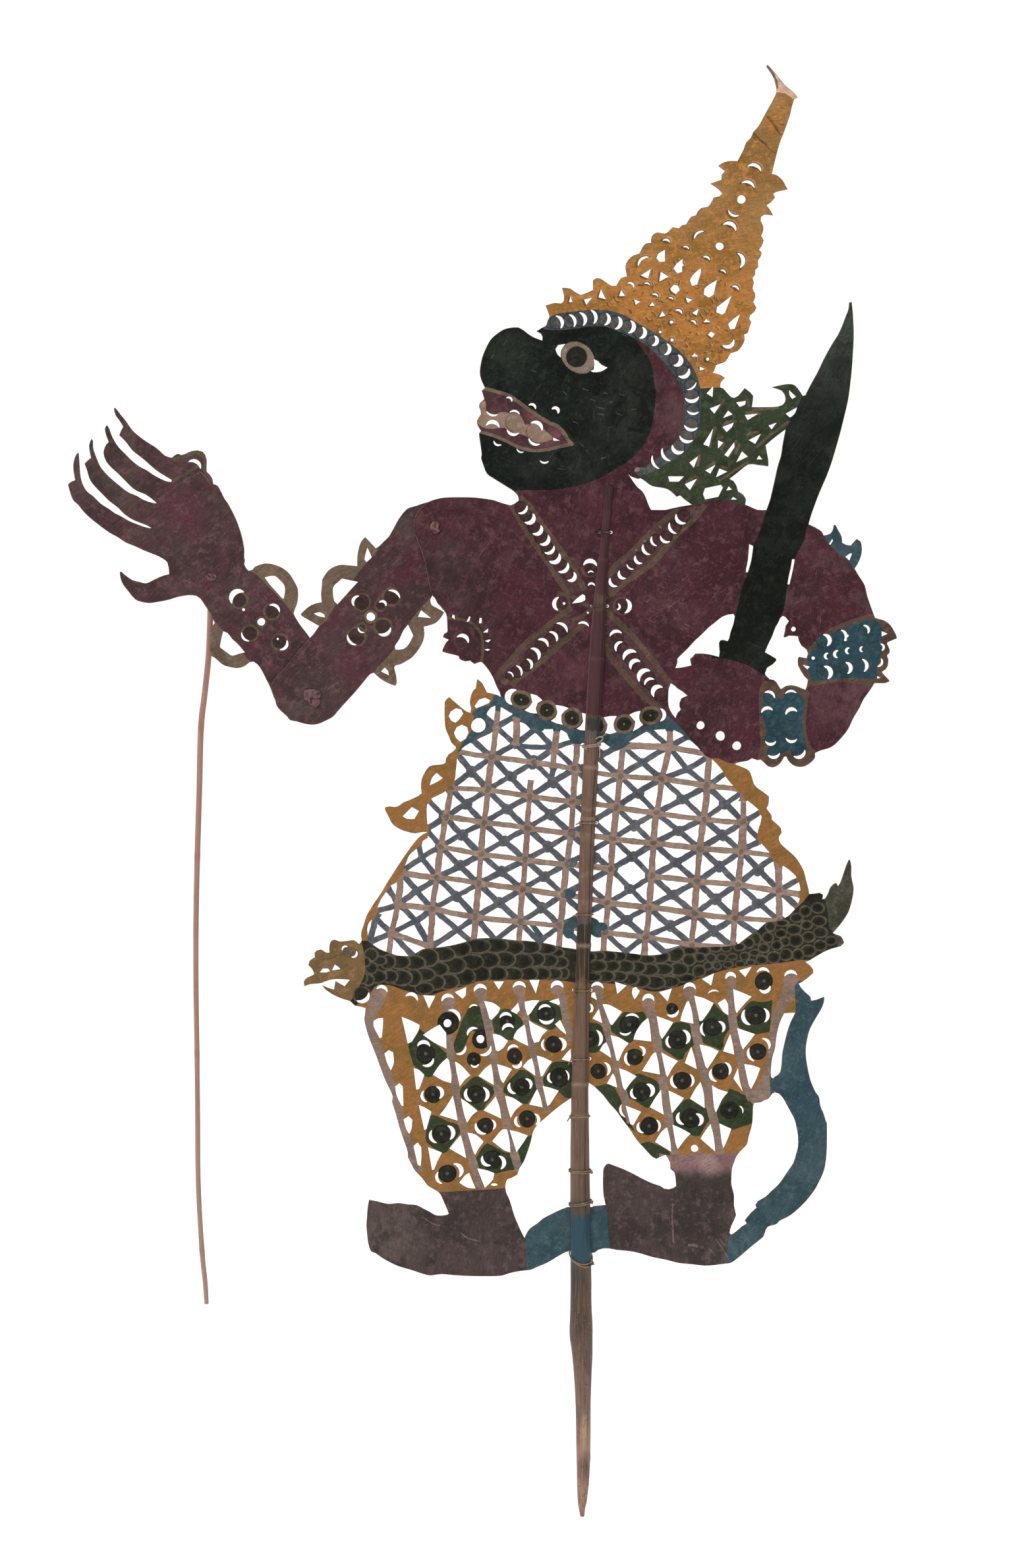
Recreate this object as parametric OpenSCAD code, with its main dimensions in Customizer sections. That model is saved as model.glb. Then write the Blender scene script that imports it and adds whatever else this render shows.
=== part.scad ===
// Shadow puppet of painted rawhide: one cut and punched figure sheet held
// between the halves of a split bamboo stick, with one jointed arm of two
// sheets that is worked by a thin rod.
// Millimetres, +Z up, the painted side faces -Y.
// The origin is the middle of the round grip, on the stick's axis.
// The flat shapes are drawn on a template three times full size, whose
// zero is up and to the left: x runs right, y runs down, and the grip's
// middle is at (882, 2020).

/* [Hide] */
// thickness of every rawhide sheet
hide_t = 1.2; // [0.8:0.1:2]
// free gap between two sheets that pass each other
sheet_gap = 0.3; // [0.2:0.05:0.6]
// cut the small punched crescents, not only the windows
punched = true;
// width of the plain straight bars of the skirt lattice, on the template
plain_bar = 9; // [5:1:14]
// width of the slanting bars of the skirt lattice, on the template
slant_bar = 8; // [5:1:14]

/* [Stick] */
// radius of the round grip, which a socket or a hand can hold
grip_r = 6; // [4:0.5:9]
// length of the straight part of the grip
grip_len = 20; // [10:1:30]
// height above the grip's middle where the split begins
split_z = 28; // [24:1:40]
// free room in the split on each side of the sheet
split_room = 0.05; // [0.02:0.01:0.2]

/* [Joints] */
// radius of the two rolled hide knots at shoulder and elbow
knot_r = 1.8; // [1.2:0.1:2.5]
// radial room of a knot in its hole
fit = 0.05; // [0.02:0.01:0.1]
// radius of the cord of the hand loop
cord_r = 0.7; // [0.5:0.05:0.9]
// radius of the arm rod
rod_r = 1.35; // [1:0.05:2]
// radius of the binding thread
thread_r = 0.45; // [0.3:0.05:0.6]

/* [Hidden] */
$fn = 64;

// template to millimetres
function tx(x) = (x - 882) / 3;
function tz(y) = (2020 - y) / 3;
function m(p) = [for (q = p) [tx(q[0]), tz(q[1])]];

// where the sheets lie, front face of each
body_y = -hide_t / 2;
arm_y = body_y + hide_t + sheet_gap;
fore_y = arm_y + hide_t + sheet_gap;
rod_y = 8;

shoulder = [662, 801];
elbow = [473, 1059];
wrist = [318, 875];

// ---------------------------------------------------------------- figure
crown_front = [[823,517],[823,511],[821,507],[814,503],[822,498],[829,494],[831,487],[834,481],[832,474],[828,464],
    [842,460],[851,461],[855,458],[856,450],[853,437],[865,438],[872,443],[881,448],[892,444],[900,440],
    [900,426],[903,423],[911,423],[920,429],[928,434],[935,434],[938,429],[943,422],[951,420],[951,416],
    [949,405],[953,395],[961,388],[970,385],[974,377],[980,370],[988,369],[989,359],[997,353],[1009,355],
    [1016,350],[1021,345],[1030,347],[1035,342],[1041,341],[1044,336],[1049,329],[1056,327],[1059,321],[1064,316],
    [1074,314],[1079,308],[1083,300],[1092,298],[1096,294],[1090,287],[1078,279],[1095,273],[1095,266],[1100,260],
    [1090,252],[1096,248],[1105,245],[1119,245],[1128,228],[1132,217],[1139,210],[1143,201],[1151,192],[1163,170],
    [1172,154],[1178,140],[1176,128],[1172,117],[1162,103],[1164,101]];
crown_back = [[1175,112],[1190,130],[1203,141],[1210,149],[1205,152],[1201,164],[1198,177],[1190,200],[1183,218],[1178,236],
    [1174,252],[1171,265],[1177,266],[1187,274],[1192,283],[1195,288],[1177,292],[1173,295],[1176,300],[1170,307],
    [1163,312],[1168,318],[1173,327],[1160,326],[1155,329],[1154,335],[1158,343],[1158,351],[1155,358],[1159,365],
    [1156,373],[1152,379],[1156,384],[1154,390],[1150,396],[1151,405],[1146,410],[1146,417],[1142,422],[1144,430],
    [1142,438],[1146,446],[1146,452],[1143,459],[1148,467],[1145,473],[1138,479],[1137,484],[1140,489],[1137,498],
    [1135,505],[1129,508],[1130,516],[1126,525],[1119,533],[1109,536],[1105,543],[1101,549],[1093,552],[1087,554],
    [1084,562],[1082,566],[1093,569],[1100,574],[1094,580],[1093,588]];
hair_top = [[1098,590],[1104,597],[1110,603],[1114,604],[1120,601],[1130,589],[1139,596],[1143,601],[1141,618],[1163,618],
    [1181,617],[1189,613],[1192,606],[1190,598],[1186,593],[1171,588],[1183,585],[1197,583],[1206,585],[1213,593],[1218,601]];
sword = [[1222,600],[1230,584],[1241,564],[1250,545],[1261,525],[1271,509],[1278,494],[1282,483],[1287,470],[1288,460],
    [1292,459],[1293,467],[1294,479],[1295,499],[1295,516],[1294,536],[1292,565],[1288,600],[1285,616],[1280,637],
    [1275,657],[1270,675],[1262,702],[1254,724],[1247,740],[1240,757],[1231,782],[1227,796]];
back_arm = [[1236,800],[1247,807],[1250,813],[1260,810],[1264,803],[1265,797],[1268,797],[1272,805],[1277,814],[1278,824],
    [1284,827],[1291,828],[1297,821],[1300,818],[1306,822],[1308,834],[1306,846],[1301,857],[1297,863],[1302,872],
    [1312,888],[1316,904],[1322,922],[1328,938],[1336,940],[1344,943],[1352,950],[1360,964],[1361,969],[1347,975],
    [1346,977],[1350,986],[1350,991],[1346,995],[1348,1001],[1347,1011],[1344,1016],[1338,1020],[1342,1025],[1348,1031],
    [1350,1034],[1343,1037],[1327,1037],[1320,1048],[1310,1062],[1305,1073],[1295,1090],[1290,1101],[1285,1110],[1276,1121],
    [1266,1131],[1257,1136],[1246,1139],[1237,1143],[1237,1150],[1231,1157],[1222,1163],[1212,1164],[1203,1161],[1196,1154],
    [1193,1148],[1190,1149],[1186,1156],[1180,1162],[1172,1165],[1165,1163],[1160,1158],[1154,1153],[1150,1154],[1141,1151],
    [1134,1155],[1122,1157],[1115,1160]];
skirt_back = [[1128,1165],[1137,1170],[1141,1180],[1144,1190],[1148,1195],[1158,1202],[1167,1209],[1166,1222],[1163,1227],[1166,1231],
    [1171,1238],[1171,1244],[1178,1250],[1185,1257],[1186,1264],[1182,1270],[1182,1275],[1185,1281],[1195,1290],[1206,1300],
    [1214,1311],[1220,1323],[1223,1335],[1227,1350],[1228,1357],[1238,1356],[1244,1355],[1249,1358],[1248,1365],[1252,1364],
    [1257,1355],[1260,1347],[1266,1341],[1269,1340],[1272,1345],[1275,1340],[1280,1326],[1284,1314],[1288,1305],[1290,1305],
    [1292,1315],[1292,1330],[1295,1345],[1295,1355],[1292,1370],[1288,1383],[1283,1392],[1276,1402],[1264,1416],[1268,1418],
    [1276,1421],[1280,1428],[1281,1431],[1276,1436],[1262,1440],[1250,1445],[1238,1452],[1226,1459],[1222,1460],[1230,1466],
    [1234,1472],[1234,1477],[1226,1484],[1218,1490],[1212,1493],[1215,1498],[1222,1506],[1230,1513],[1231,1519],[1240,1517]];
tail_edge = [[1250,1513],[1251,1514],[1250,1522],[1246,1532],[1240,1542],[1233,1554],[1228,1565],[1225,1577],[1223,1590],[1223,1603],
    [1225,1617],[1228,1632],[1232,1645],[1238,1658],[1243,1665],[1245,1678],[1250,1690],[1253,1700],[1255,1705],[1255,1735],
    [1254,1755],[1252,1770],[1248,1783],[1243,1793],[1236,1806],[1227,1818],[1217,1829],[1205,1840],[1195,1847],[1183,1853],
    [1178,1858],[1165,1862],[1161,1870],[1159,1876],[1155,1880],[1140,1892],[1125,1905],[1115,1913],[1108,1917],[1100,1918]];
soles = [[1085,1920],[1070,1921],[1050,1919],[1030,1917],[1010,1912],[990,1908],[970,1902],[955,1899],[935,1897],[925,1895],
    [915,1895],[908,1897],[903,1901],[897,1902],[865,1899],[850,1905],[835,1914],[825,1919],[815,1923],[806,1927],
    [800,1928],[790,1929],[775,1932],[762,1936],[750,1937],[720,1937],[695,1936],[670,1934],[653,1936],[640,1933],
    [625,1928],[605,1922],[590,1915],[578,1908],[570,1902],[563,1899],[559,1888],[557,1872],[556,1860],[557,1845],
    [558,1832],[560,1821],[572,1823],[588,1827],[605,1826],[620,1828],[632,1829],[642,1834],[652,1839],[660,1844],
    [668,1845],[678,1844],[681,1842],[677,1832],[673,1823],[670,1816],[665,1809]];
leg_front = [[650,1800],[645,1794],[638,1785],[630,1777],[624,1766],[619,1756],[619,1750],[617,1742],[612,1728],[606,1710],
    [602,1695],[598,1682],[595,1672],[596,1664],[591,1652],[585,1640],[578,1622],[570,1600],[562,1580],[557,1565],
    [553,1548],[554,1540],[555,1530],[548,1528],[538,1526],[532,1520],[520,1516],[508,1511],[500,1506],[493,1501],
    [489,1495],[497,1499],[507,1502],[509,1489],[523,1497],[531,1487],[510,1486],[498,1488],[488,1492],[480,1493],
    [470,1494],[462,1497],[461,1490],[466,1484],[475,1480],[477,1478],[474,1471],[468,1465],[470,1458],[478,1453],
    [477,1447],[480,1443],[487,1441],[495,1446],[500,1446],[500,1435],[503,1428],[508,1426],[515,1429],[528,1428],
    [537,1427],[543,1431],[545,1433],[549,1428]];
skirt_front = [[548,1420],[549,1410],[552,1400],[556,1388],[563,1375],[572,1363],[580,1352],[590,1338],[600,1325],[610,1311],
    [617,1301],[622,1292],[632,1279],[640,1270],[649,1264],[640,1263],[630,1265],[620,1263],[608,1259],[596,1251],
    [590,1240],[584,1228],[585,1225],[592,1224],[600,1225],[607,1222],[612,1218],[620,1215],[635,1208],[640,1204],
    [639,1195],[640,1183],[645,1172],[652,1163],[663,1161],[672,1160],[676,1158],[677,1151],[681,1145],[687,1141],
    [691,1137],[692,1134],[685,1127],[681,1117],[677,1108],[675,1095],[675,1065],[678,1061],[682,1058],[686,1062],
    [692,1067],[700,1074],[708,1080],[714,1082],[715,1075],[713,1067],[715,1055],[719,1047],[722,1045],[724,1031],
    [726,1032],[731,1036],[735,1043],[739,1051],[748,1053],[755,1055],[760,1058]];
chest_front = [[758,1050],[755,1045],[752,1038],[748,1028],[742,1018],[735,1009],[731,1005],[728,1005],[720,1008],[716,1005],
    [713,1003],[706,1004],[700,1002],[697,1000],[696,996],[690,994],[680,992],[671,989],[672,985],[677,975],
    [681,971],[676,969],[672,967],[674,962],[678,960],[679,958],[678,935],[676,930],[668,920],[664,916],
    [660,908],[657,905],[653,895],[650,880],[648,868],[644,850],[640,838],[635,825],[631,812],[628,798],
    [629,788],[632,780],[637,773],[645,766],[652,761],[665,757],[680,755],[715,755],[735,757],[748,759],
    [760,763],[775,767],[780,765],[787,760]];
face = [[787,757],[786,753],[780,746],[766,737],[750,727],[739,719],[733,705],[730,695],[731,690],[728,668],
    [727,658],[730,654],[725,646],[724,638],[730,628],[727,617],[728,612],[735,606],[731,593],[736,589],
    [730,576],[728,565],[730,550],[733,539],[740,523],[747,513],[758,504],[768,499],[779,497],[786,497],
    [794,501],[803,508],[812,513]];

// through gaps between the figure's own parts
gaps = [
    // under the hair
    [[953,719],[957,723],[968,727],[972,726],[981,732],[990,738],[1008,741],[1017,745],[1027,754],[1032,752],
     [1040,759],[1050,766],[1032,769],[1018,772],[1010,774],[988,774],[984,766],[980,755],[975,746],[968,740],[961,731]],
    // hair to sword
    [[1192,652],[1185,657],[1171,668],[1162,676],[1164,688],[1166,698],[1166,708],[1150,706],[1136,705],[1120,717],
     [1107,727],[1113,730],[1118,738],[1120,746],[1127,750],[1132,758],[1131,766],[1138,769],[1150,774],[1163,774],
     [1168,760],[1172,744],[1176,726],[1180,708],[1185,692],[1187,678],[1190,662]],
    // chest to sword
    [[1025,1014],[1028,1006],[1028,1000],[1035,993],[1045,983],[1055,972],[1065,963],[1075,953],[1085,945],[1095,937],
     [1105,933],[1113,932],[1115,935],[1113,947],[1109,958],[1106,970],[1104,973],[1098,971],[1093,972],[1091,976],
     [1092,990],[1091,997],[1080,994],[1067,992],[1055,992],[1052,996],[1047,1000],[1049,1010],[1035,1013]],
    // fist to waist
    [[1018,1037],[1024,1041],[1028,1045],[1036,1050],[1043,1056],[1034,1060],[1031,1067],[1031,1072],[1033,1077],[1028,1082],
     [1025,1090],[1020,1083],[1015,1073],[1014,1058],[1015,1045]],
    // sword to back arm
    [[1181,945],[1184,938],[1188,935],[1192,937],[1197,943],[1192,950],[1191,958],[1189,966],[1191,968],[1197,965],
     [1211,966],[1212,972],[1216,980],[1224,986],[1226,992],[1224,999],[1213,997],[1211,999],[1211,1010],[1215,1018],
     [1221,1027],[1226,1032],[1224,1043],[1222,1047],[1210,1042],[1200,1040],[1193,1041],[1188,1044],[1185,1046],[1181,1040],
     [1178,1035],[1174,1032],[1168,1031],[1162,1025],[1161,1022],[1164,1014],[1172,1009],[1178,1003],[1178,1000],[1170,995],
     [1161,990],[1165,980],[1172,965],[1177,952]],
    // slits beside the blade
    [[1137,826],[1143,829],[1140,850],[1135,868],[1132,869],[1132,865],[1135,850]],
    [[1202,849],[1206,849],[1203,865],[1198,887],[1195,887],[1197,875],[1200,862]],
    // between the legs, closed below by the tail
    [[866,1667],[860,1671],[850,1678],[840,1686],[833,1692],[825,1699],[815,1708],[809,1718],[805,1735],[800,1750],
     [795,1763],[788,1774],[785,1783],[778,1787],[770,1790],[768,1794],[767,1803],[769,1812],[773,1820],[777,1833],
     [781,1846],[786,1858],[791,1869],[796,1879],[800,1870],[806,1863],[815,1857],[823,1850],[832,1845],[842,1840],
     [853,1835],[862,1832],[875,1831],[895,1831],[905,1830],[919,1829],[916,1815],[915,1800],[915,1785],[916,1773],
     [920,1767],[924,1766],[932,1769],[945,1774],[960,1781],[975,1789],[990,1796],[1002,1800],[1008,1804],[1015,1805],
     [1022,1803],[1026,1800],[1025,1788],[1023,1779],[1017,1774],[1017,1765],[1013,1757],[1010,1753],[1004,1755],[996,1759],
     [990,1756],[983,1749],[976,1741],[970,1735],[962,1724],[955,1713],[945,1700],[935,1686],[925,1675],[915,1662],
     [908,1655],[903,1650],[893,1643]],
    // leg to tail, above and below the bridge
    [[1190,1538],[1207,1537],[1200,1551],[1195,1565],[1190,1585],[1187,1600],[1186,1615],[1184,1627],[1181,1631],[1176,1634],
     [1173,1637],[1170,1634],[1170,1622],[1172,1605],[1176,1592],[1178,1575],[1181,1560],[1185,1548]],
    [[1182,1660],[1187,1665],[1194,1677],[1201,1690],[1206,1700],[1209,1712],[1211,1725],[1211,1740],[1208,1752],[1204,1765],
     [1200,1771],[1193,1781],[1187,1790],[1180,1799],[1170,1808],[1162,1816],[1150,1823],[1146,1829],[1148,1833],[1140,1840],
     [1134,1847],[1130,1852],[1133,1857],[1125,1862],[1117,1869],[1110,1874],[1107,1871],[1110,1860],[1114,1852],[1117,1844],
     [1114,1830],[1114,1815],[1112,1806],[1110,1798],[1110,1785],[1111,1773],[1114,1764],[1117,1756],[1122,1749],[1130,1741],
     [1134,1736],[1136,1725],[1140,1712],[1142,1700],[1143,1678],[1145,1674],[1155,1673],[1160,1670],[1166,1668],[1172,1660],[1176,1658]]];

// lattice of the skirt: its outer line and its crossings, row by row
skirt_field = [[757,1072],[775,1082],[790,1088],[803,1096],[815,1105],[830,1107],[848,1107],[860,1113],[864,1122],[872,1126],
    [887,1131],[916,1127],[924,1133],[940,1135],[953,1127],[970,1117],[983,1110],[993,1108],[1011,1107],[1024,1109],
    [1033,1113],[1040,1119],[1050,1126],[1058,1133],[1064,1140],[1070,1147],[1080,1152],[1090,1162],[1098,1172],[1102,1180],
    [1110,1190],[1116,1196],[1127,1205],[1132,1213],[1137,1217],[1148,1226],[1152,1230],[1156,1240],[1154,1250],[1150,1262],
    [1150,1272],[1157,1282],[1167,1293],[1173,1303],[1180,1311],[1190,1315],[1202,1324],[1210,1333],[1214,1345],[1215,1352],
    [1214,1364],[1210,1375],[1200,1387],[1190,1394],[1175,1399],[1163,1400],[1150,1412],[1140,1418],[1128,1427],[1115,1435],
    [1085,1437],[1050,1438],[1030,1438],[1015,1445],[1000,1449],[980,1450],[965,1448],[940,1445],[915,1443],[895,1444],
    [870,1440],[850,1437],[830,1432],[800,1428],[780,1427],[755,1424],[735,1424],[720,1425],[705,1430],[685,1435],
    [665,1438],[640,1441],[627,1450],[614,1451],[602,1450],[590,1446],[575,1440],[565,1433],[558,1428],[557,1412],
    [560,1400],[568,1388],[575,1372],[585,1352],[598,1338],[607,1325],[613,1312],[620,1300],[628,1290],[637,1277],
    [645,1272],[650,1266],[648,1245],[648,1222],[655,1212],[665,1207],[680,1198],[688,1180],[691,1160],[691,1150],
    [697,1140],[712,1127],[722,1116],[735,1100],[737,1087],[745,1074]];
lattice = [
    [[690,1140],[747,1149],[810,1157],[872,1167],[941,1178],[1004,1182],[1073,1193],[1129,1200]],
    [[684,1196],[740,1199],[804,1209],[869,1217],[935,1225],[996,1234],[1068,1243],[1128,1248]],
    [[676,1240],[734,1249],[800,1257],[866,1265],[930,1273],[992,1280],[1062,1288],[1125,1292],[1178,1299]],
    [[669,1285],[730,1297],[797,1305],[860,1312],[927,1319],[989,1330],[1058,1338],[1120,1342],[1182,1352]],
    [[664,1332],[727,1341],[793,1349],[855,1358],[922,1370],[985,1377],[1055,1387],[1115,1393],[1183,1398]],
    [[656,1379],[722,1392],[790,1399],[850,1405],[918,1415],[980,1422],[1050,1434],[1112,1438]],
    [[652,1438],[717,1428],[786,1430],[848,1440]]];
// plain bars beyond the regular rows
plain_more = [[[757,1062],[753,1104]],[[753,1104],[747,1149]],[[784,1090],[782,1130]],[[845,1106],[841,1140]],[[841,1140],[840,1164]],
    [[876,1120],[872,1167]],[[946,1126],[941,1178]],[[1016,1106],[1016,1134]],[[1016,1134],[1004,1182]],[[1077,1146],[1073,1193]],
    [[946,1132],[1016,1134]],[[1016,1134],[1072,1144]],[[1129,1200],[1128,1214]],[[607,1324],[664,1332]],[[604,1373],[656,1379]],
    [[594,1416],[652,1437]],[[608,1320],[604,1373]],[[604,1373],[594,1416]],[[594,1416],[590,1450]],[[1178,1299],[1181,1312]],
    [[1182,1352],[1216,1358]],[[1182,1312],[1182,1352]],[[918,1415],[916,1446]],[[980,1422],[978,1452]],[[1128,1248],[1128,1292]]];
// slanting bars beyond the regular rows
slant_more = [[[690,1138],[716,1122]],[[716,1122],[753,1103]],[[716,1122],[747,1149]],[[733,1086],[753,1104]],[[753,1104],[784,1086]],
    [[753,1104],[782,1130]],[[782,1130],[810,1157]],[[747,1149],[782,1130]],[[782,1130],[813,1106]],[[782,1132],[840,1134]],
    [[813,1106],[840,1135]],[[840,1135],[872,1165]],[[840,1135],[810,1157]],[[840,1135],[878,1122]],[[840,1165],[835,1190]],
    [[946,1130],[908,1150]],[[908,1150],[941,1178]],[[946,1132],[975,1157]],[[975,1157],[1016,1134]],[[975,1157],[941,1178]],
    [[975,1157],[1004,1182]],[[983,1106],[1016,1134]],[[1016,1134],[1046,1118]],[[1016,1134],[1043,1168]],[[1043,1168],[1073,1193]],
    [[1043,1168],[1078,1146]],[[1043,1168],[1004,1182]],[[1073,1193],[1104,1172]],[[1128,1248],[1158,1230]],[[1128,1248],[1156,1277]],
    [[1125,1292],[1158,1275]],[[1182,1352],[1214,1334]],[[1182,1352],[1212,1379]],[[1115,1393],[1152,1418]],
    [[650,1214],[676,1240]],[[648,1257],[676,1240]],[[648,1262],[669,1285]],[[612,1320],[640,1302]],[[640,1302],[669,1285]],
    [[640,1302],[664,1332]],[[635,1280],[640,1302]],[[607,1324],[632,1352]],[[632,1352],[656,1379]],[[632,1352],[664,1332]],
    [[632,1352],[604,1373]],[[604,1373],[631,1398]],[[631,1398],[652,1437]],[[631,1398],[656,1379]],[[631,1398],[594,1416]],
    [[588,1348],[604,1373]],[[570,1383],[604,1373]],[[568,1391],[594,1416]],[[556,1432],[594,1416]],[[572,1388],[560,1430]],
    [[594,1416],[628,1452]],[[918,1415],[950,1444]],[[950,1444],[980,1422]],[[980,1422],[1012,1449]],[[1012,1446],[1050,1434]]];

// windows of the trousers
leg_windows = [
    [[610,1544],[622,1549],[636,1556],[634,1564],[625,1580],[619,1583]], [[643,1571],[655,1563],[667,1556],[676,1568],[677,1591],[660,1582]],
    [[735,1520],[748,1523],[758,1530],[755,1537],[746,1547],[743,1545],[740,1533]], [[776,1534],[786,1523],[788,1533],[784,1538]],
    [[797,1521],[808,1519],[818,1519],[812,1526],[805,1537],[801,1541],[798,1530]], [[834,1520],[847,1516],[849,1522],[848,1525]],
    [[803,1549],[811,1555],[830,1564],[822,1571],[818,1580],[811,1582],[807,1570]], [[843,1555],[850,1549],[855,1560],[859,1569],[852,1564]],
    [[796,1556],[798,1570],[801,1587],[786,1579],[780,1575],[785,1565]], [[748,1570],[758,1572],[770,1580],[763,1590],[756,1595],[753,1593]],
    [[658,1631],[668,1617],[678,1607],[681,1610],[684,1630],[684,1643],[672,1639]], [[628,1622],[636,1625],[643,1632],[640,1640],[636,1652],[632,1653]],
    [[691,1612],[700,1618],[713,1632],[705,1638],[698,1648],[694,1628]], [[727,1633],[737,1622],[745,1616],[747,1630],[749,1646]],
    [[755,1616],[765,1619],[776,1623],[770,1632],[764,1643],[760,1637]], [[794,1619],[802,1610],[807,1607],[810,1620],[812,1632]],
    [[815,1603],[825,1606],[837,1612],[830,1620],[824,1632],[821,1633]], [[636,1678],[645,1682],[654,1688],[650,1700],[647,1713],[644,1714]],
    [[668,1692],[678,1680],[687,1664],[690,1680],[694,1700]], [[700,1668],[710,1675],[724,1686],[716,1692],[709,1703],[705,1690]],
    [[735,1685],[747,1672],[752,1665],[757,1680],[760,1697]], [[767,1664],[778,1667],[792,1676],[782,1684],[775,1696],[771,1680]],
    [[804,1676],[811,1662],[815,1654],[819,1665],[823,1680]], [[824,1649],[835,1652],[847,1656],[840,1666],[834,1676],[831,1678]],
    [[650,1742],[660,1746],[670,1750],[663,1762],[659,1774],[656,1775]], [[683,1743],[693,1731],[699,1724],[703,1740],[707,1757]],
    [[710,1720],[722,1723],[733,1733],[726,1742],[721,1752],[718,1745]], [[748,1732],[758,1720],[763,1715],[769,1715],[772,1730],[774,1748],[765,1745]],
    [[774,1716],[786,1719],[800,1724],[793,1734],[786,1745],[784,1748]], [[725,1774],[738,1777],[749,1781],[747,1790],[740,1798],[736,1802]],
    [[698,1795],[706,1785],[712,1781],[717,1795],[721,1803],[710,1802]],
    [[575,1546],[581,1546],[580,1560],[579,1574],[576,1575],[568,1558],[568,1550]], [[584,1600],[590,1595],[596,1598],[597,1612],[593,1624],[588,1613]],
    [[600,1650],[606,1645],[611,1650],[612,1678],[609,1677],[603,1663]], [[613,1700],[620,1695],[625,1700],[624,1712],[621,1720],[617,1713]],
    [[628,1740],[634,1735],[639,1742],[639,1758],[638,1769],[634,1767]],
    [[915,1525],[925,1526],[943,1536],[936,1545],[929,1555],[926,1553]], [[983,1546],[985,1555],[988,1580],[962,1577],[966,1566],[975,1553]],
    [[997,1543],[1010,1548],[1021,1552],[1014,1562],[1005,1576],[1002,1570]], [[1033,1549],[1036,1538],[1042,1522],[1045,1520],[1049,1535],[1052,1553]],
    [[1054,1512],[1068,1516],[1082,1523],[1075,1535],[1066,1548],[1062,1549]], [[1090,1523],[1100,1517],[1104,1525],[1105,1540],[1098,1535]],
    [[1113,1502],[1125,1507],[1140,1513],[1130,1522],[1118,1537],[1116,1530]], [[927,1572],[940,1576],[953,1584],[945,1594],[939,1609],[936,1609]],
    [[911,1594],[916,1586],[920,1583],[924,1593],[927,1605]], [[1119,1561],[1132,1566],[1145,1570],[1137,1580],[1128,1592],[1125,1585]],
    [[1098,1595],[1103,1583],[1108,1570],[1111,1585],[1114,1600]], [[1062,1586],[1077,1590],[1090,1596],[1082,1608],[1074,1621],[1071,1618]],
    [[975,1625],[983,1613],[991,1600],[995,1598],[998,1612],[1001,1630]], [[1004,1598],[1014,1604],[1028,1611],[1020,1620],[1013,1634],[1011,1630]],
    [[1040,1613],[1045,1600],[1049,1590],[1053,1605],[1057,1622]], [[1114,1637],[1120,1622],[1122,1640],[1127,1656]],
    [[1130,1616],[1142,1618],[1153,1622],[1147,1637],[1140,1652],[1137,1647]], [[922,1644],[930,1630],[933,1636],[936,1650]],
    [[940,1622],[952,1627],[965,1634],[956,1643],[949,1654],[946,1650]], [[987,1680],[995,1667],[1003,1655],[1004,1675],[1007,1691]],
    [[1015,1656],[1025,1661],[1037,1667],[1029,1677],[1020,1689],[1018,1675]], [[1048,1667],[1056,1653],[1063,1643],[1067,1660],[1069,1681]],
    [[1081,1648],[1090,1654],[1104,1658],[1095,1668],[1087,1687],[1084,1680]], [[950,1679],[960,1683],[972,1688],[966,1697],[961,1707],[957,1705]],
    [[995,1733],[1004,1719],[1012,1712],[1016,1730],[1018,1747]], [[1021,1708],[1034,1714],[1047,1721],[1038,1730],[1029,1743],[1026,1735]],
    [[1064,1728],[1071,1717],[1078,1707],[1082,1725],[1085,1747]], [[1092,1706],[1100,1710],[1109,1714],[1104,1727],[1098,1742],[1096,1735]],
    [[643,1511],[660,1512],[651,1530]], [[691,1506],[707,1499],[706,1510],[702,1515]], [[750,1490],[764,1490],[757,1501]], [[804,1488],[818,1488],[813,1507]],
    [[934,1491],[950,1496],[937,1508]], [[1001,1506],[1019,1501],[1013,1519]], [[1066,1486],[1083,1478],[1079,1495]], [[1122,1473],[1140,1468],[1131,1482]]];
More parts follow.
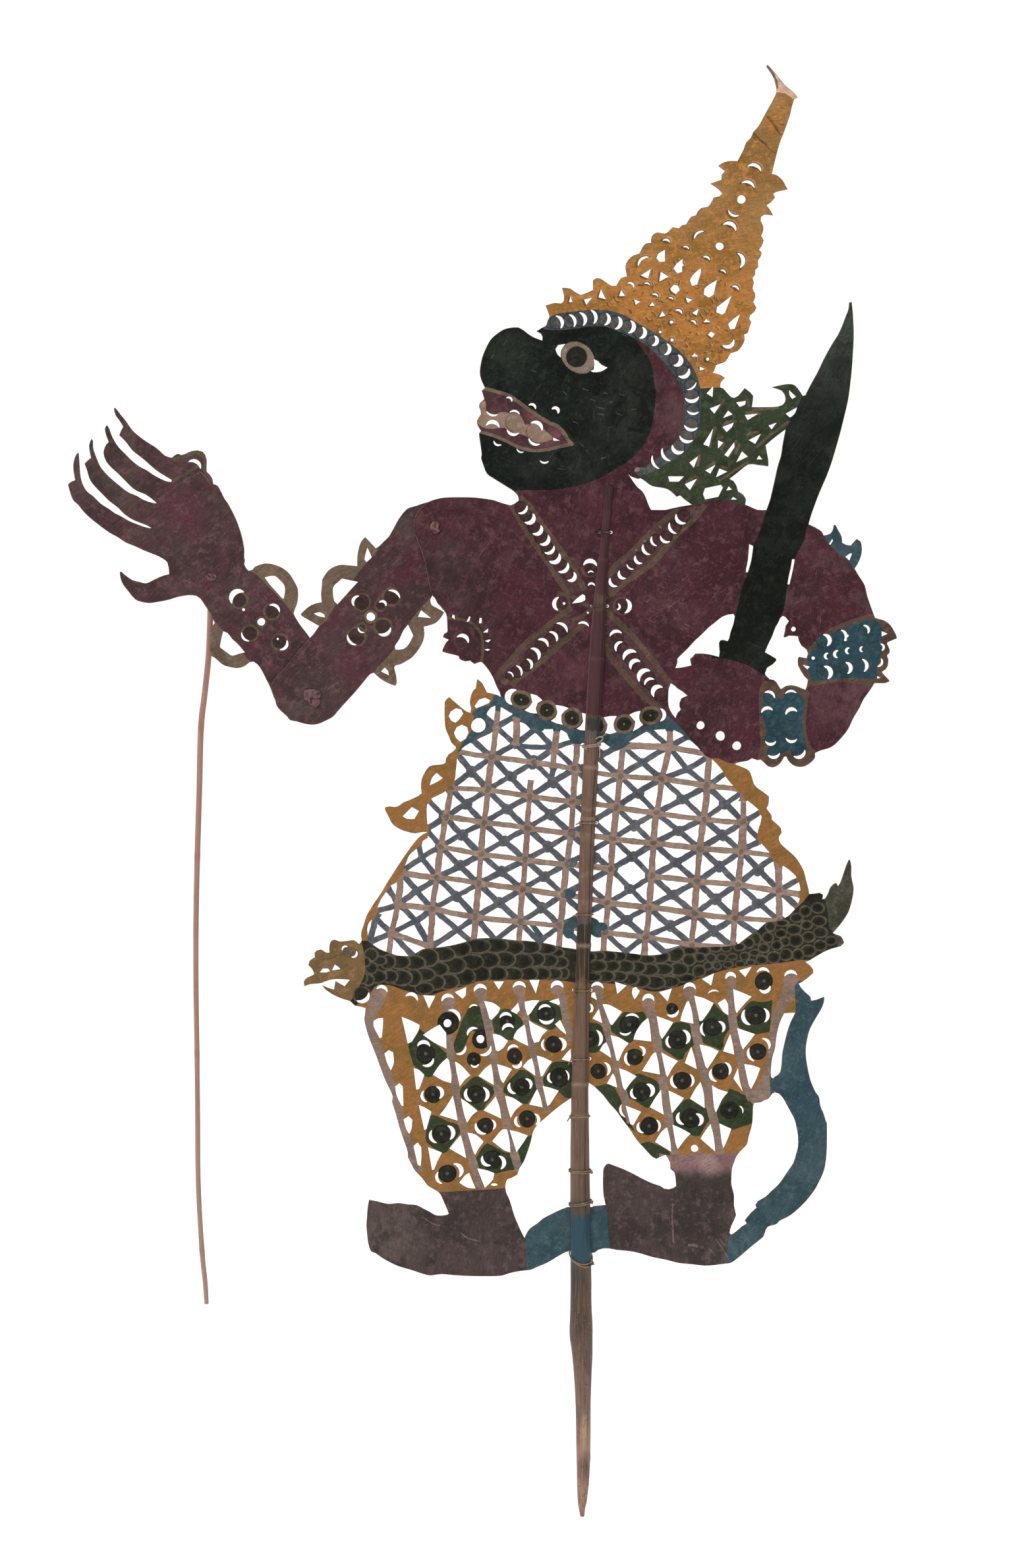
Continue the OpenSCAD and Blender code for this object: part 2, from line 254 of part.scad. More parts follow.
// windows of belt, skirt flames, crown teardrops
trim_windows = [
    [[805,1053],[815,1056],[823,1063],[816,1067],[813,1075],[815,1083],[805,1082],[796,1078],[803,1073],[808,1066]],
    [[843,1070],[855,1072],[863,1075],[857,1079],[852,1085],[852,1095],[854,1100],[845,1098],[836,1094],[843,1089],[846,1081]],
    [[883,1082],[891,1084],[891,1095],[888,1109],[880,1108],[875,1106],[881,1102],[885,1095]],
    [[916,1089],[926,1087],[936,1087],[933,1092],[931,1100],[933,1108],[936,1111],[926,1114],[918,1113],[921,1107],[922,1099]],
    [[955,1085],[963,1081],[972,1079],[970,1086],[971,1094],[976,1100],[968,1106],[960,1110],[963,1103],[964,1095]],
    [[681,1087],[684,1080],[692,1075],[700,1077],[703,1083],[697,1092],[691,1097],[685,1094]],
    [[689,1112],[693,1104],[701,1100],[709,1104],[711,1112],[707,1121],[699,1126],[692,1120]],
    [[720,1072],[727,1062],[736,1059],[744,1063],[742,1067],[733,1071],[723,1075]],
    [[652,1192],[656,1180],[663,1173],[668,1178],[672,1181],[663,1187]], [[611,1239],[625,1225],[636,1231],[629,1243],[618,1243]],
    [[1009,379],[1009,397],[1001,398],[996,392],[999,385]], [[1036,393],[1035,413],[1028,415],[1022,408],[1027,400]],
    [[1063,407],[1064,412],[1058,432],[1050,434],[1047,426],[1051,418]], [[1088,425],[1083,447],[1076,452],[1068,447],[1069,438],[1076,432]],
    [[1110,449],[1100,475],[1096,478],[1087,474],[1088,466],[1096,460]], [[1123,477],[1115,499],[1108,500],[1105,492],[1112,485]],
    [[1070,741],[1094,736],[1097,740],[1090,754],[1070,758],[1067,750]], [[1014,723],[1038,723],[1030,731],[1016,731]],
    [[868,916],[876,908],[884,902],[888,904],[888,911],[882,914]],
    [[842,530],[850,524],[857,523],[853,531],[850,543]], [[901,544],[907,550],[924,558],[915,562],[904,566],[896,563],[901,555]]];

// punched crescents: one end, the outermost point, the other end
moons = [
    // headband
    [[843,479],[856,490],[851,499]],[[863,477],[875,489],[871,497]],[[879,474],[891,487],[885,495]],[[896,470],[907,483],[901,492]],
    [[920,475],[927,483],[917,494]],[[937,481],[944,488],[933,500]],[[957,487],[964,494],[952,506]],[[975,497],[983,505],[970,514]],
    [[993,510],[999,518],[989,526]],[[1013,522],[1019,530],[1008,539]],[[1030,539],[1036,546],[1022,556]],[[1047,559],[1048,567],[1030,572]],
    [[1058,581],[1055,588],[1042,591]],[[1038,604],[1050,612],[1061,603]],[[1042,625],[1052,632],[1060,626]],[[1038,645],[1050,655],[1058,650]],
    [[1031,660],[1042,673],[1052,668]],[[1019,675],[1031,689],[1037,685]],
    // crown
    [[1134,253],[1143,248],[1155,261]],[[1125,278],[1134,274],[1145,286]],[[1105,319],[1112,329],[1122,327]],[[1097,341],[1107,336],[1117,351]],
    [[1053,363],[1058,352],[1069,351]],[[1119,384],[1131,396],[1123,407]],[[968,404],[972,392],[985,390]],[[1097,525],[1106,531],[1112,520]],
    // front strap, above and below the buckle
    [[786,779],[799,777],[800,767]],[[796,793],[811,793],[809,779]],[[808,810],[823,809],[821,797]],[[819,826],[834,824],[832,812]],
    [[826,839],[841,837],[841,828]],[[833,852],[850,852],[849,840]],[[847,868],[862,866],[862,854]],[[861,881],[873,881],[871,868]],
    [[844,945],[857,944],[860,960]],[[832,960],[846,960],[848,974]],[[816,971],[829,969],[832,982]],[[805,984],[818,982],[818,1001]],
    [[799,1000],[807,999],[805,1015]],[[782,1010],[794,1012],[792,1026]],[[770,1020],[778,1020],[780,1028]],
    // buckle
    [[848,906],[836,917],[846,927]],[[948,909],[960,919],[948,931]],[[885,858],[896,846],[907,860]],
    // back strap
    [[1026,780],[1027,793],[1041,794]],[[1016,793],[1016,806],[1027,810]],[[1002,813],[1005,823],[1017,822]],[[989,814],[988,825],[997,829]],
    [[976,826],[976,839],[987,842]],[[964,843],[964,854],[975,855]],[[951,856],[955,864],[962,864]],[[940,866],[939,877],[950,878]],
    [[926,877],[926,889],[937,890]],[[925,966],[930,957],[944,961]],[[935,989],[934,977],[945,974]],[[946,1002],[949,988],[966,990]],
    [[957,1016],[956,1004],[972,1004]],[[970,1035],[970,1018],[987,1018]],[[978,1040],[981,1030],[993,1031]],[[992,1058],[990,1043],[1006,1043]],
    // belt ends, chest
    [[784,1047],[766,1058],[777,1070]],[[1002,1075],[1011,1084],[1002,1095]],[[693,967],[708,964],[711,976]],
    // back wrist
    [[1160,1051],[1171,1049],[1176,1060]],[[1191,1053],[1200,1047],[1209,1052]],[[1155,1082],[1164,1072],[1173,1078]],[[1192,1085],[1198,1074],[1210,1080]],
    [[1161,1125],[1171,1132],[1178,1125]],[[1192,1120],[1201,1128],[1210,1122]],[[1165,1146],[1175,1152],[1184,1143]],[[1204,1148],[1217,1151],[1222,1138]],
    // back arm band
    [[1249,963],[1260,967],[1254,979]],[[1276,956],[1284,963],[1279,970]],[[1311,950],[1319,955],[1316,961]],[[1250,1011],[1264,1018],[1257,1030]],
    [[1283,1005],[1294,1013],[1286,1024]],[[1307,1000],[1318,1008],[1312,1020]],
    // waistband
    [[571,1501],[580,1495],[588,1506]],[[615,1512],[626,1506],[634,1519]],[[670,1520],[678,1508],[689,1515]],[[719,1505],[729,1493],[739,1502]],
    [[778,1499],[788,1489],[798,1499]],[[836,1500],[845,1488],[855,1499]],[[897,1498],[906,1490],[916,1500]],[[975,1519],[984,1508],[993,1519]],
    [[1037,1501],[1047,1491],[1056,1501]],[[1101,1486],[1110,1475],[1117,1484]],[[1190,1482],[1200,1472],[1210,1480]],
    // eyes of the trousers
    [[633,1588],[640,1579],[653,1588]],[[641,1617],[654,1618],[658,1606]],[[680,1533],[695,1535],[698,1550]],[[709,1572],[713,1560],[725,1561]],
    [[728,1601],[743,1600],[745,1587]],[[758,1545],[768,1536],[777,1543]],[[762,1564],[770,1553],[780,1560]],[[817,1533],[827,1524],[836,1529]],
    [[818,1547],[830,1555],[841,1546]],[[826,1577],[821,1587],[828,1595]],[[848,1575],[860,1586],[852,1595]],[[770,1595],[775,1586],[787,1590]],
    [[777,1617],[786,1622],[791,1610]],[[774,1643],[770,1652],[783,1660]],[[797,1637],[808,1644],[804,1653]],[[835,1628],[830,1636],[838,1644]],
    [[643,1655],[638,1664],[648,1673]],[[662,1649],[674,1657],[667,1668]],[[709,1652],[704,1663],[716,1672]],[[733,1650],[743,1661],[735,1672]],
    [[655,1715],[651,1726],[663,1735]],[[679,1708],[691,1719],[683,1730]],[[722,1704],[723,1718],[738,1721]],[[746,1699],[753,1706],[748,1715]],
    [[785,1694],[780,1703],[790,1711]],[[811,1690],[820,1698],[813,1708]],[[732,1754],[733,1768],[745,1769]],[[757,1754],[768,1763],[760,1775]],
    [[665,1778],[661,1790],[671,1797]],[[688,1766],[703,1773],[697,1787]],
    [[949,1543],[960,1538],[970,1545]],[[940,1567],[948,1572],[958,1566]],[[1012,1540],[1024,1544],[1030,1533]],[[1067,1552],[1062,1562],[1070,1573]],
    [[1090,1550],[1101,1558],[1096,1567]],[[1130,1532],[1125,1546],[1139,1556]],[[1159,1530],[1168,1540],[1160,1552]],[[1015,1572],[1010,1583],[1018,1591]],
    [[1036,1563],[1048,1573],[1041,1585]],[[952,1597],[947,1609],[956,1618]],[[970,1588],[980,1594],[975,1603]],[[1137,1590],[1134,1603],[1145,1611]],
    [[1156,1576],[1168,1580],[1167,1593]],[[917,1612],[927,1621],[921,1633]],[[1021,1632],[1017,1644],[1028,1652]],[[1047,1630],[1054,1640],[1048,1650]],
    [[1080,1622],[1076,1634],[1088,1642]],[[1100,1612],[1110,1620],[1106,1632]],[[960,1652],[956,1661],[966,1668]],[[981,1645],[994,1655],[986,1665]],
    [[970,1703],[966,1713],[977,1720]],[[996,1699],[1003,1708],[998,1718]],[[1031,1688],[1026,1700],[1038,1707]],[[1056,1690],[1068,1700],[1060,1709]],
    [[905,1563],[915,1575],[908,1588]],[[1148,1476],[1159,1468],[1168,1476]],[[1152,1502],[1163,1508],[1169,1496]]];
// round holes: centre and radius on the template
dots = [[1063,1101,6],[1093,1117,7],[1118,1132,6.5],[726,1101,11],[1125,303,6.5],[1092,374,6],[1204,955,3.5],
    [679,1553,6],[729,1577,6],[1054,1743,5.5]];

// ---------------------------------------------------------------- arm
upper_arm = [[645,763],[630,768],[618,772],[606,786],[597,802],[590,814],[582,822],[575,829],[570,832],[560,821],
    [554,815],[550,819],[546,826],[543,838],[542,848],[542,859],[530,858],[518,857],[507,860],[498,866],
    [492,874],[489,879],[488,892],[487,902],[488,914],[478,916],[468,921],[460,928],[456,932],[458,935],
    [470,942],[484,950],[480,956],[475,963],[470,968],[455,985],[440,1003],[428,1018],[418,1028],[412,1038],
    [413,1052],[417,1062],[420,1072],[427,1080],[435,1087],[440,1093],[450,1095],[460,1098],[472,1100],[482,1099],
    [492,1095],[505,1088],[512,1080],[520,1071],[530,1060],[540,1049],[550,1037],[558,1027],[562,1023],[567,1021],
    [577,1030],[585,1035],[594,1039],[600,1041],[602,1037],[601,1025],[598,1013],[600,1010],[608,1008],[617,1003],
    [625,998],[632,990],[638,981],[642,973],[644,962],[643,951],[655,948],[663,944],[670,936],[674,929],
    [662,922],[655,918],[653,910],[656,904],[668,880],[690,850],[700,820],[700,795],[692,775],[678,764],[660,760]];
upper_windows = [[[557,831],[553,849],[556,853],[564,846],[560,836]], [[519,878],[543,883],[530,897],[512,917],[507,912],[505,892],[512,884]],
    [[476,931],[485,929],[492,933],[493,937],[483,935]], [[639,926],[654,938],[634,936]],
    [[619,948],[625,960],[627,965],[620,978],[612,985],[600,986],[599,981],[606,970],[612,957]], [[584,1013],[589,1019],[590,1025],[578,1019]]];
upper_moons = [[[548,902],[534,905],[537,920]],[[588,896],[604,893],[607,909]],[[574,913],[586,911],[584,921]],
    [[542,954],[543,961],[553,960]],[[526,964],[526,977],[541,979]],[[574,963],[590,966],[592,952]]];
forearm = [[256,871],[255,860],[253,853],[250,850],[240,844],[225,838],[215,834],[205,829],[190,823],[178,815],
    [165,808],[150,797],[135,785],[125,775],[117,765],[111,760],[107,752],[104,742],[102,735],[106,731],
    [113,728],[111,718],[110,705],[112,695],[115,688],[118,686],[119,695],[120,710],[121,722],[124,733],
    [128,741],[133,747],[140,752],[148,760],[155,766],[165,772],[173,778],[183,783],[195,790],[207,795],
    [218,799],[226,801],[229,801],[222,797],[212,793],[200,788],[188,780],[178,770],[165,760],[155,750],
    [147,742],[139,733],[134,724],[131,713],[127,703],[131,699],[137,694],[135,685],[134,675],[136,668],
    [138,665],[140,668],[140,678],[143,688],[147,698],[151,707],[158,716],[167,725],[180,736],[190,744],
    [197,748],[207,752],[215,757],[225,761],[233,763],[237,763],[230,757],[220,750],[208,745],[200,740],
    [190,730],[178,718],[168,709],[161,701],[157,692],[156,686],[158,678],[160,674],[164,670],[160,660],
    [158,650],[160,645],[162,645],[165,650],[168,659],[173,669],[180,679],[190,689],[200,699],[212,708],
    [222,713],[232,720],[245,727],[253,730],[259,731],[260,728],[250,722],[240,716],[230,708],[220,699],
    [210,691],[200,683],[190,670],[180,660],[183,652],[186,647],[180,637],[174,629],[172,620],[172,618],
    [175,619],[181,627],[190,638],[200,652],[210,661],[222,670],[232,676],[240,682],[250,691],[260,694],
    [265,690],[269,688],[275,690],[283,687],[290,684],[300,683],[307,685],[311,690],[313,697],[313,715],
    [318,720],[322,727],[323,734],[330,737],[335,746],[340,756],[345,763],[350,772],[357,786],[363,802],
    [367,816],[370,832],[370,845],[371,850],[370,856],[373,862],[377,866],[383,864],[386,860],[393,857],
    [400,855],[408,855],[417,857],[425,860],[433,865],[440,872],[446,882],[451,892],[452,905],[450,917],
    [447,924],[445,931],[448,937],[455,948],[462,957],[470,968],[480,985],[495,1010],[508,1035],[512,1058],
    [506,1075],[492,1089],[474,1095],[455,1091],[438,1084],[424,1072],[414,1055],[409,1042],[403,1030],[397,1018],
    [390,1008],[384,1004],[378,1005],[372,1010],[365,1013],[358,1014],[340,1010],[332,1004],[325,998],[321,996],
    [318,988],[318,975],[319,960],[322,950],[325,945],[317,929],[310,918],[303,908],[297,904],[285,903],
    [278,904],[268,906],[255,910],[240,913],[225,915],[213,913],[205,910],[200,905],[193,896],[186,887],
    [182,877],[181,868],[183,867],[190,873],[200,880],[212,883],[221,885],[232,880],[245,874]];
fore_windows = [[[401,876],[408,874],[417,874],[425,881],[431,888],[432,898],[430,908],[428,908],[420,899],[410,888]],
    [[338,958],[345,961],[352,970],[360,977],[371,990],[362,992],[352,995],[345,991],[333,982],[335,970]]];
fore_moons = [[[285,700],[298,697],[304,711]],[[353,915],[346,898],[371,898]],[[407,917],[418,911],[422,927]],
    [[367,959],[368,972],[376,972]],[[424,985],[436,983],[436,971]]];
fore_dots = [[396,943,6],[370,925,2.5]];

// ---------------------------------------------------------------- helpers
module sheet(y0) translate([0, y0 + hide_t, 0]) rotate([90, 0, 0]) linear_extrude(hide_t) children();
module hole_at(p, r) translate([tx(p[0]), tz(p[1])]) circle(r);
module cuts(list) for (p = list) polygon(m(p));
function bow(a, k, c, t) = (1 - t) * (1 - t) * a + 2 * t * (1 - t) * k + t * t * c;
module crescents(list) if (punched) for (q = list) {
    mid = (q[0] + q[2]) / 2;
    out = 2 * q[1] - mid;
    in = mid + (out - mid) * 0.35;
    polygon(m(concat([for (t = [0:0.25:1]) bow(q[0], out, q[2], t)],
        [for (t = [0.75:-0.25:0.25]) bow(q[0], in, q[2], t)])));
}
module bar(a, b, w) {
    d = b - a;
    n = [-d[1], d[0]] / norm(d) * w / 2;
    e = d / norm(d) * 2;
    polygon(m([a - e + n, b + e + n, b + e - n, a - e - n]));
}
module lattice_bars() {
    for (r = lattice, i = [0:len(r) - 2]) bar(r[i], r[i + 1], plain_bar - 1);
    for (j = [0:len(lattice) - 2], i = [0:min(len(lattice[j]), len(lattice[j + 1])) - 1]) bar(lattice[j][i], lattice[j + 1][i], plain_bar);
    for (j = [0:len(lattice) - 2], i = [0:min(len(lattice[j]), len(lattice[j + 1])) - 2]) {
        bar(lattice[j][i], lattice[j + 1][i + 1], slant_bar);
        bar(lattice[j][i + 1], lattice[j + 1][i], slant_bar);
    }
    for (b = plain_more) bar(b[0], b[1], plain_bar);
    for (b = slant_more) bar(b[0], b[1], slant_bar);
}

// ---------------------------------------------------------------- stick
// axis height, axis x, radius, from the grip's shoulder to the top
stick_line = [[17,0,5.4],[48,-0.3,5.2],[90,-0.7,4.9],[125,-0.7,4.3],[195,1.2,3.7],[250,3.1,3.8],[285,4.7,3.9],[340,7.7,4],[360,8.9,3.7],[390,11,2.4],[428,14.6,1.9]];
// how far a node of the cane stands proud
cane_node = 0.3;
function seg(z, i = 0) = i >= len(stick_line) - 2 || z <= stick_line[i + 1][0] ? i : seg(z, i + 1);
function along(z, k) = let (i = seg(z), a = stick_line[i], b = stick_line[i + 1]) a[k] + (b[k] - a[k]) * (z - a[0]) / (b[0] - a[0]);

// a straight round piece from one point to another
module rod_piece(a, b, r1, r2) {
    d = b - a;
    translate(a) rotate([0, acos(d[2] / norm(d)), atan2(d[1], d[0])]) cylinder(r1 = r1, r2 = r2, h = norm(d));
}

// thread ring round the stick: template height, number of turns
module tie(y, turns) {
    z = tz(y);
    r = along(z, 2) + thread_r + 0.08;
    translate([along(z, 1), 0, z]) {
        for (k = [0:turns - 1]) translate([0, 0, (k - (turns - 1) / 2) * thread_r * 1.8]) rotate_extrude() translate([r, 0]) circle(thread_r);
        rotate([0, 0, 215]) translate([r + 0.35, 0, 0]) sphere(thread_r * 1.7);
    }
}
ties = [[808,1],[920,1],[1131,2],[1249,1],[1388,1],[1503,1],[1607,1],[1694,1],[1780,2],[1829,2],[1919,2]];
module tie_holes() for (t = ties) {
    z = tz(t[0]);
    r = along(z, 2) + thread_r + 0.08;
    for (s = [-1, 1]) translate([along(z, 1) + s * r, z]) circle(thread_r * (t[1] > 1 ? 2.4 : 1.7));
}

// ---------------------------------------------------------------- nodes
module body_hide() color([0.42, 0.26, 0.26]) sheet(body_y) difference() {
    polygon(m(concat(crown_front, crown_back, hair_top, sword, back_arm, skirt_back, tail_edge, soles, leg_front, skirt_front, chest_front, face)));
    cuts(gaps);
    difference() {
        polygon(m(skirt_field));
        lattice_bars();
    }
    cuts(leg_windows);
    cuts(trim_windows);
    crescents(moons);
    for (d = dots) hole_at(d, d[2] / 3);
    hole_at(shoulder, knot_r + fit);
    tie_holes();
}
module upper_arm_hide() color([0.38, 0.24, 0.27]) sheet(arm_y) difference() {
    polygon(m(upper_arm));
    cuts(upper_windows);
    crescents(upper_moons);
    hole_at([562, 936], 7 / 3);
    hole_at(shoulder, knot_r + fit);
    hole_at(elbow, knot_r + fit);
}
module forearm_hide() color([0.36, 0.25, 0.27]) sheet(fore_y) difference() {
    polygon(m(forearm));
    cuts(fore_windows);
    crescents(fore_moons);
    for (d = fore_dots) hole_at(d, d[2] / 3);
    hole_at(elbow, knot_r + fit);
    hole_at(wrist, 1 + fit);
}
module split_stick() color([0.5, 0.4, 0.34]) difference() {
    union() {
        for (i = [0:len(stick_line) - 2]) {
            a = stick_line[i];
            b = stick_line[i + 1];
            rod_piece([a[1], 0, a[0]], [b[1], 0, b[0]], a[2], b[2]);
            // a node of the cane at each joint of the line
            if (i < len(stick_line) - 2) translate([b[1], 0, b[0]]) sphere(b[2] + cane_node);
        }
        // grip: neck inside the shaft, straight part, long point
        rotate_extrude() polygon([[0, 20], [5, 20], [5, 18], [grip_r, grip_len / 2], [grip_r, -grip_len / 2],
            [4, -30], [3.85, -60], [3, -80], [1.3, -94], [0, -94]]);
    }
    translate([-40, body_y - split_room, split_z]) cube([100, hide_t + 2 * split_room, 420]);
}
// a rolled knot: front head, shank, rear head; heights along +Y
module knot(p, r, front, y1, y2, rear, head) translate([tx(p[0]), 0, tz(p[1])]) rotate([-90, 0, 0]) rotate_extrude()
    polygon([[0, front], [head - 0.8, front], [head, front + 0.5], [head, y1 - 0.4], [head - 0.4, y1], [r, y1], [r, y2],
        [head - 0.4, y2], [head, y2 + 0.4], [head, rear - 0.5], [head - 0.8, rear], [0, rear]]);
module shoulder_knot() color([0.55, 0.35, 0.3]) knot(shoulder, knot_r, -2.1, body_y - 0.03, arm_y + hide_t + sheet_gap, 3.7, 2.7);
module elbow_knot() color([0.5, 0.36, 0.38]) knot(elbow, knot_r, -0.5, arm_y - 0.03, fore_y + hide_t + sheet_gap, 5.2, 3.6);
loop_x = 2.8;
module hand_loop() color([0.6, 0.45, 0.42]) translate([tx(wrist[0]), 0, tz(wrist[1])]) {
    rotate([-90, 0, 0]) rotate_extrude() polygon([[0, 0.95], [1.6, 0.95], [2.2, 1.3], [2.2, 1.8], [1.8, fore_y - sheet_gap], [1, fore_y - sheet_gap], [1, 4.7], [0, 4.7]]);
    for (s = [-1, 1]) translate([s * loop_x, 4, 0]) rotate([-90, 0, 0]) cylinder(r = cord_r + 0.15, h = rod_y + 0.9 - 4);
    for (y = [4.7, rod_y]) translate([-loop_x, y, 0]) rotate([0, 90, 0]) cylinder(r = cord_r, h = 2 * loop_x);
}
rod_line = [[318,875],[317,990],[305,1100],[300,1300],[303,1600],[312,1900],[312,1980]];
module arm_rod() color([0.68, 0.52, 0.45]) difference() {
    union() {
        for (i = [0:len(rod_line) - 2]) {
            a = rod_line[i];
            b = rod_line[i + 1];
            rod_piece([tx(a[0]), rod_y, tz(a[1])], [tx(b[0]), rod_y, tz(b[1])], rod_r, rod_r);
        }
        for (i = [0:len(rod_line) - 2]) translate([tx(rod_line[i][0]), rod_y, tz(rod_line[i][1])]) sphere(rod_r + 0.2);
    }
    translate([tx(wrist[0]) - 3, rod_y, tz(wrist[1])]) rotate([0, 90, 0]) cylinder(r = cord_r + fit, h = 6);
}
module tie_neck() color([0.35, 0.25, 0.26]) tie(ties[0][0], ties[0][1]);
module tie_chest() color([0.35, 0.25, 0.26]) tie(ties[1][0], ties[1][1]);
module tie_waist() color([0.7, 0.62, 0.55]) tie(ties[2][0], ties[2][1]);
module tie_skirt_upper() color([0.5, 0.42, 0.36]) tie(ties[3][0], ties[3][1]);
module tie_skirt_lower() color([0.5, 0.42, 0.36]) tie(ties[4][0], ties[4][1]);
module tie_belt() color([0.5, 0.42, 0.36]) tie(ties[5][0], ties[5][1]);
module tie_seat() color([0.5, 0.42, 0.36]) tie(ties[6][0], ties[6][1]);
module tie_leg_upper() color([0.6, 0.5, 0.43]) tie(ties[7][0], ties[7][1]);
module tie_leg_lower() color([0.6, 0.5, 0.43]) tie(ties[8][0], ties[8][1]);
module tie_tail_top() color([0.6, 0.5, 0.43]) tie(ties[9][0], ties[9][1]);
module tie_tail_bottom() color([0.6, 0.5, 0.43]) tie(ties[10][0], ties[10][1]);

body_hide();
upper_arm_hide();
forearm_hide();
split_stick();
shoulder_knot();
elbow_knot();
hand_loop();
arm_rod();
tie_neck();
tie_chest();
tie_waist();
tie_skirt_upper();
tie_skirt_lower();
tie_belt();
tie_seat();
tie_leg_upper();
tie_leg_lower();
tie_tail_top();
tie_tail_bottom();
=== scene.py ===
import math
import random
import bpy
import numpy as np
from mathutils import Matrix, Vector, noise
from mathutils.geometry import delaunay_2d_cdt


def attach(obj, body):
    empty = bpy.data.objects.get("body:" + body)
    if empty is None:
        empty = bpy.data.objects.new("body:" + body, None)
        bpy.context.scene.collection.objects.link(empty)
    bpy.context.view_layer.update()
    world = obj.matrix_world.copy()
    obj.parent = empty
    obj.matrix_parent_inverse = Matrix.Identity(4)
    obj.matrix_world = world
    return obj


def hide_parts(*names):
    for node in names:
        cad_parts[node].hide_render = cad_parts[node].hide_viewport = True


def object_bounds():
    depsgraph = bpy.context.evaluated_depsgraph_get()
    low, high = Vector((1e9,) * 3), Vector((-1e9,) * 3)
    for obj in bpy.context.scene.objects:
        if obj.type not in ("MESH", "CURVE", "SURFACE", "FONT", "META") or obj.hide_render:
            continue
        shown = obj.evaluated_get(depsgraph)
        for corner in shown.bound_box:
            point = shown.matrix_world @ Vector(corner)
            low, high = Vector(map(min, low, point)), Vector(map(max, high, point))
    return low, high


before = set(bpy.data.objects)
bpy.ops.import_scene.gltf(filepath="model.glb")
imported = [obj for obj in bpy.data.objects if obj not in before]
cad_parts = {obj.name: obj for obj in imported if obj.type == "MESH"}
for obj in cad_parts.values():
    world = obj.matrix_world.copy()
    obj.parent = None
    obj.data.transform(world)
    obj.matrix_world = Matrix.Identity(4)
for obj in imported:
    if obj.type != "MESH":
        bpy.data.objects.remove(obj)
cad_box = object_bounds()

rnd = random.Random(11)

# ----------------------------------------------------------------------------
# The template: three times full size, x to the right, y down, the middle of
# the grip at (882, 2020). Outlines, windows and punches as in the CAD model.
# ----------------------------------------------------------------------------
crown_front = [[823,517],[823,511],[821,507],[814,503],[822,498],[829,494],[831,487],[834,481],[832,474],[828,464],
    [842,460],[851,461],[855,458],[856,450],[853,437],[865,438],[872,443],[881,448],[892,444],[900,440],
    [900,426],[903,423],[911,423],[920,429],[928,434],[935,434],[938,429],[943,422],[951,420],[951,416],
    [949,405],[953,395],[961,388],[970,385],[974,377],[980,370],[988,369],[989,359],[997,353],[1009,355],
    [1016,350],[1021,345],[1030,347],[1035,342],[1041,341],[1044,336],[1049,329],[1056,327],[1059,321],[1064,316],
    [1074,314],[1079,308],[1083,300],[1092,298],[1096,294],[1090,287],[1078,279],[1095,273],[1095,266],[1100,260],
    [1090,252],[1096,248],[1105,245],[1119,245],[1128,228],[1132,217],[1139,210],[1143,201],[1151,192],[1163,170],
    [1172,154],[1178,140],[1176,128],[1172,117],[1162,103],[1164,101]]
crown_back = [[1175,112],[1190,130],[1203,141],[1210,149],[1205,152],[1201,164],[1198,177],[1190,200],[1183,218],[1178,236],
    [1174,252],[1171,265],[1177,266],[1187,274],[1192,283],[1195,288],[1177,292],[1173,295],[1176,300],[1170,307],
    [1163,312],[1168,318],[1173,327],[1160,326],[1155,329],[1154,335],[1158,343],[1158,351],[1155,358],[1159,365],
    [1156,373],[1152,379],[1156,384],[1154,390],[1150,396],[1151,405],[1146,410],[1146,417],[1142,422],[1144,430],
    [1142,438],[1146,446],[1146,452],[1143,459],[1148,467],[1145,473],[1138,479],[1137,484],[1140,489],[1137,498],
    [1135,505],[1129,508],[1130,516],[1126,525],[1119,533],[1109,536],[1105,543],[1101,549],[1093,552],[1087,554],
    [1084,562],[1082,566],[1093,569],[1100,574],[1094,580],[1093,588]]
hair_top = [[1098,590],[1104,597],[1110,603],[1114,604],[1120,601],[1130,589],[1139,596],[1143,601],[1141,618],[1163,618],
    [1181,617],[1189,613],[1192,606],[1190,598],[1186,593],[1171,588],[1183,585],[1197,583],[1206,585],[1213,593],[1218,601]]
sword = [[1222,600],[1230,584],[1241,564],[1250,545],[1261,525],[1271,509],[1278,494],[1282,483],[1287,470],[1288,460],
    [1292,459],[1293,467],[1294,479],[1295,499],[1295,516],[1294,536],[1292,565],[1288,600],[1285,616],[1280,637],
    [1275,657],[1270,675],[1262,702],[1254,724],[1247,740],[1240,757],[1231,782],[1227,796]]
back_arm = [[1236,800],[1247,807],[1250,813],[1260,810],[1264,803],[1265,797],[1268,797],[1272,805],[1277,814],[1278,824],
    [1284,827],[1291,828],[1297,821],[1300,818],[1306,822],[1308,834],[1306,846],[1301,857],[1297,863],[1302,872],
    [1312,888],[1316,904],[1322,922],[1328,938],[1336,940],[1344,943],[1352,950],[1360,964],[1361,969],[1347,975],
    [1346,977],[1350,986],[1350,991],[1346,995],[1348,1001],[1347,1011],[1344,1016],[1338,1020],[1342,1025],[1348,1031],
    [1350,1034],[1343,1037],[1327,1037],[1320,1048],[1310,1062],[1305,1073],[1295,1090],[1290,1101],[1285,1110],[1276,1121],
    [1266,1131],[1257,1136],[1246,1139],[1237,1143],[1237,1150],[1231,1157],[1222,1163],[1212,1164],[1203,1161],[1196,1154],
    [1193,1148],[1190,1149],[1186,1156],[1180,1162],[1172,1165],[1165,1163],[1160,1158],[1154,1153],[1150,1154],[1141,1151],
    [1134,1155],[1122,1157],[1115,1160]]
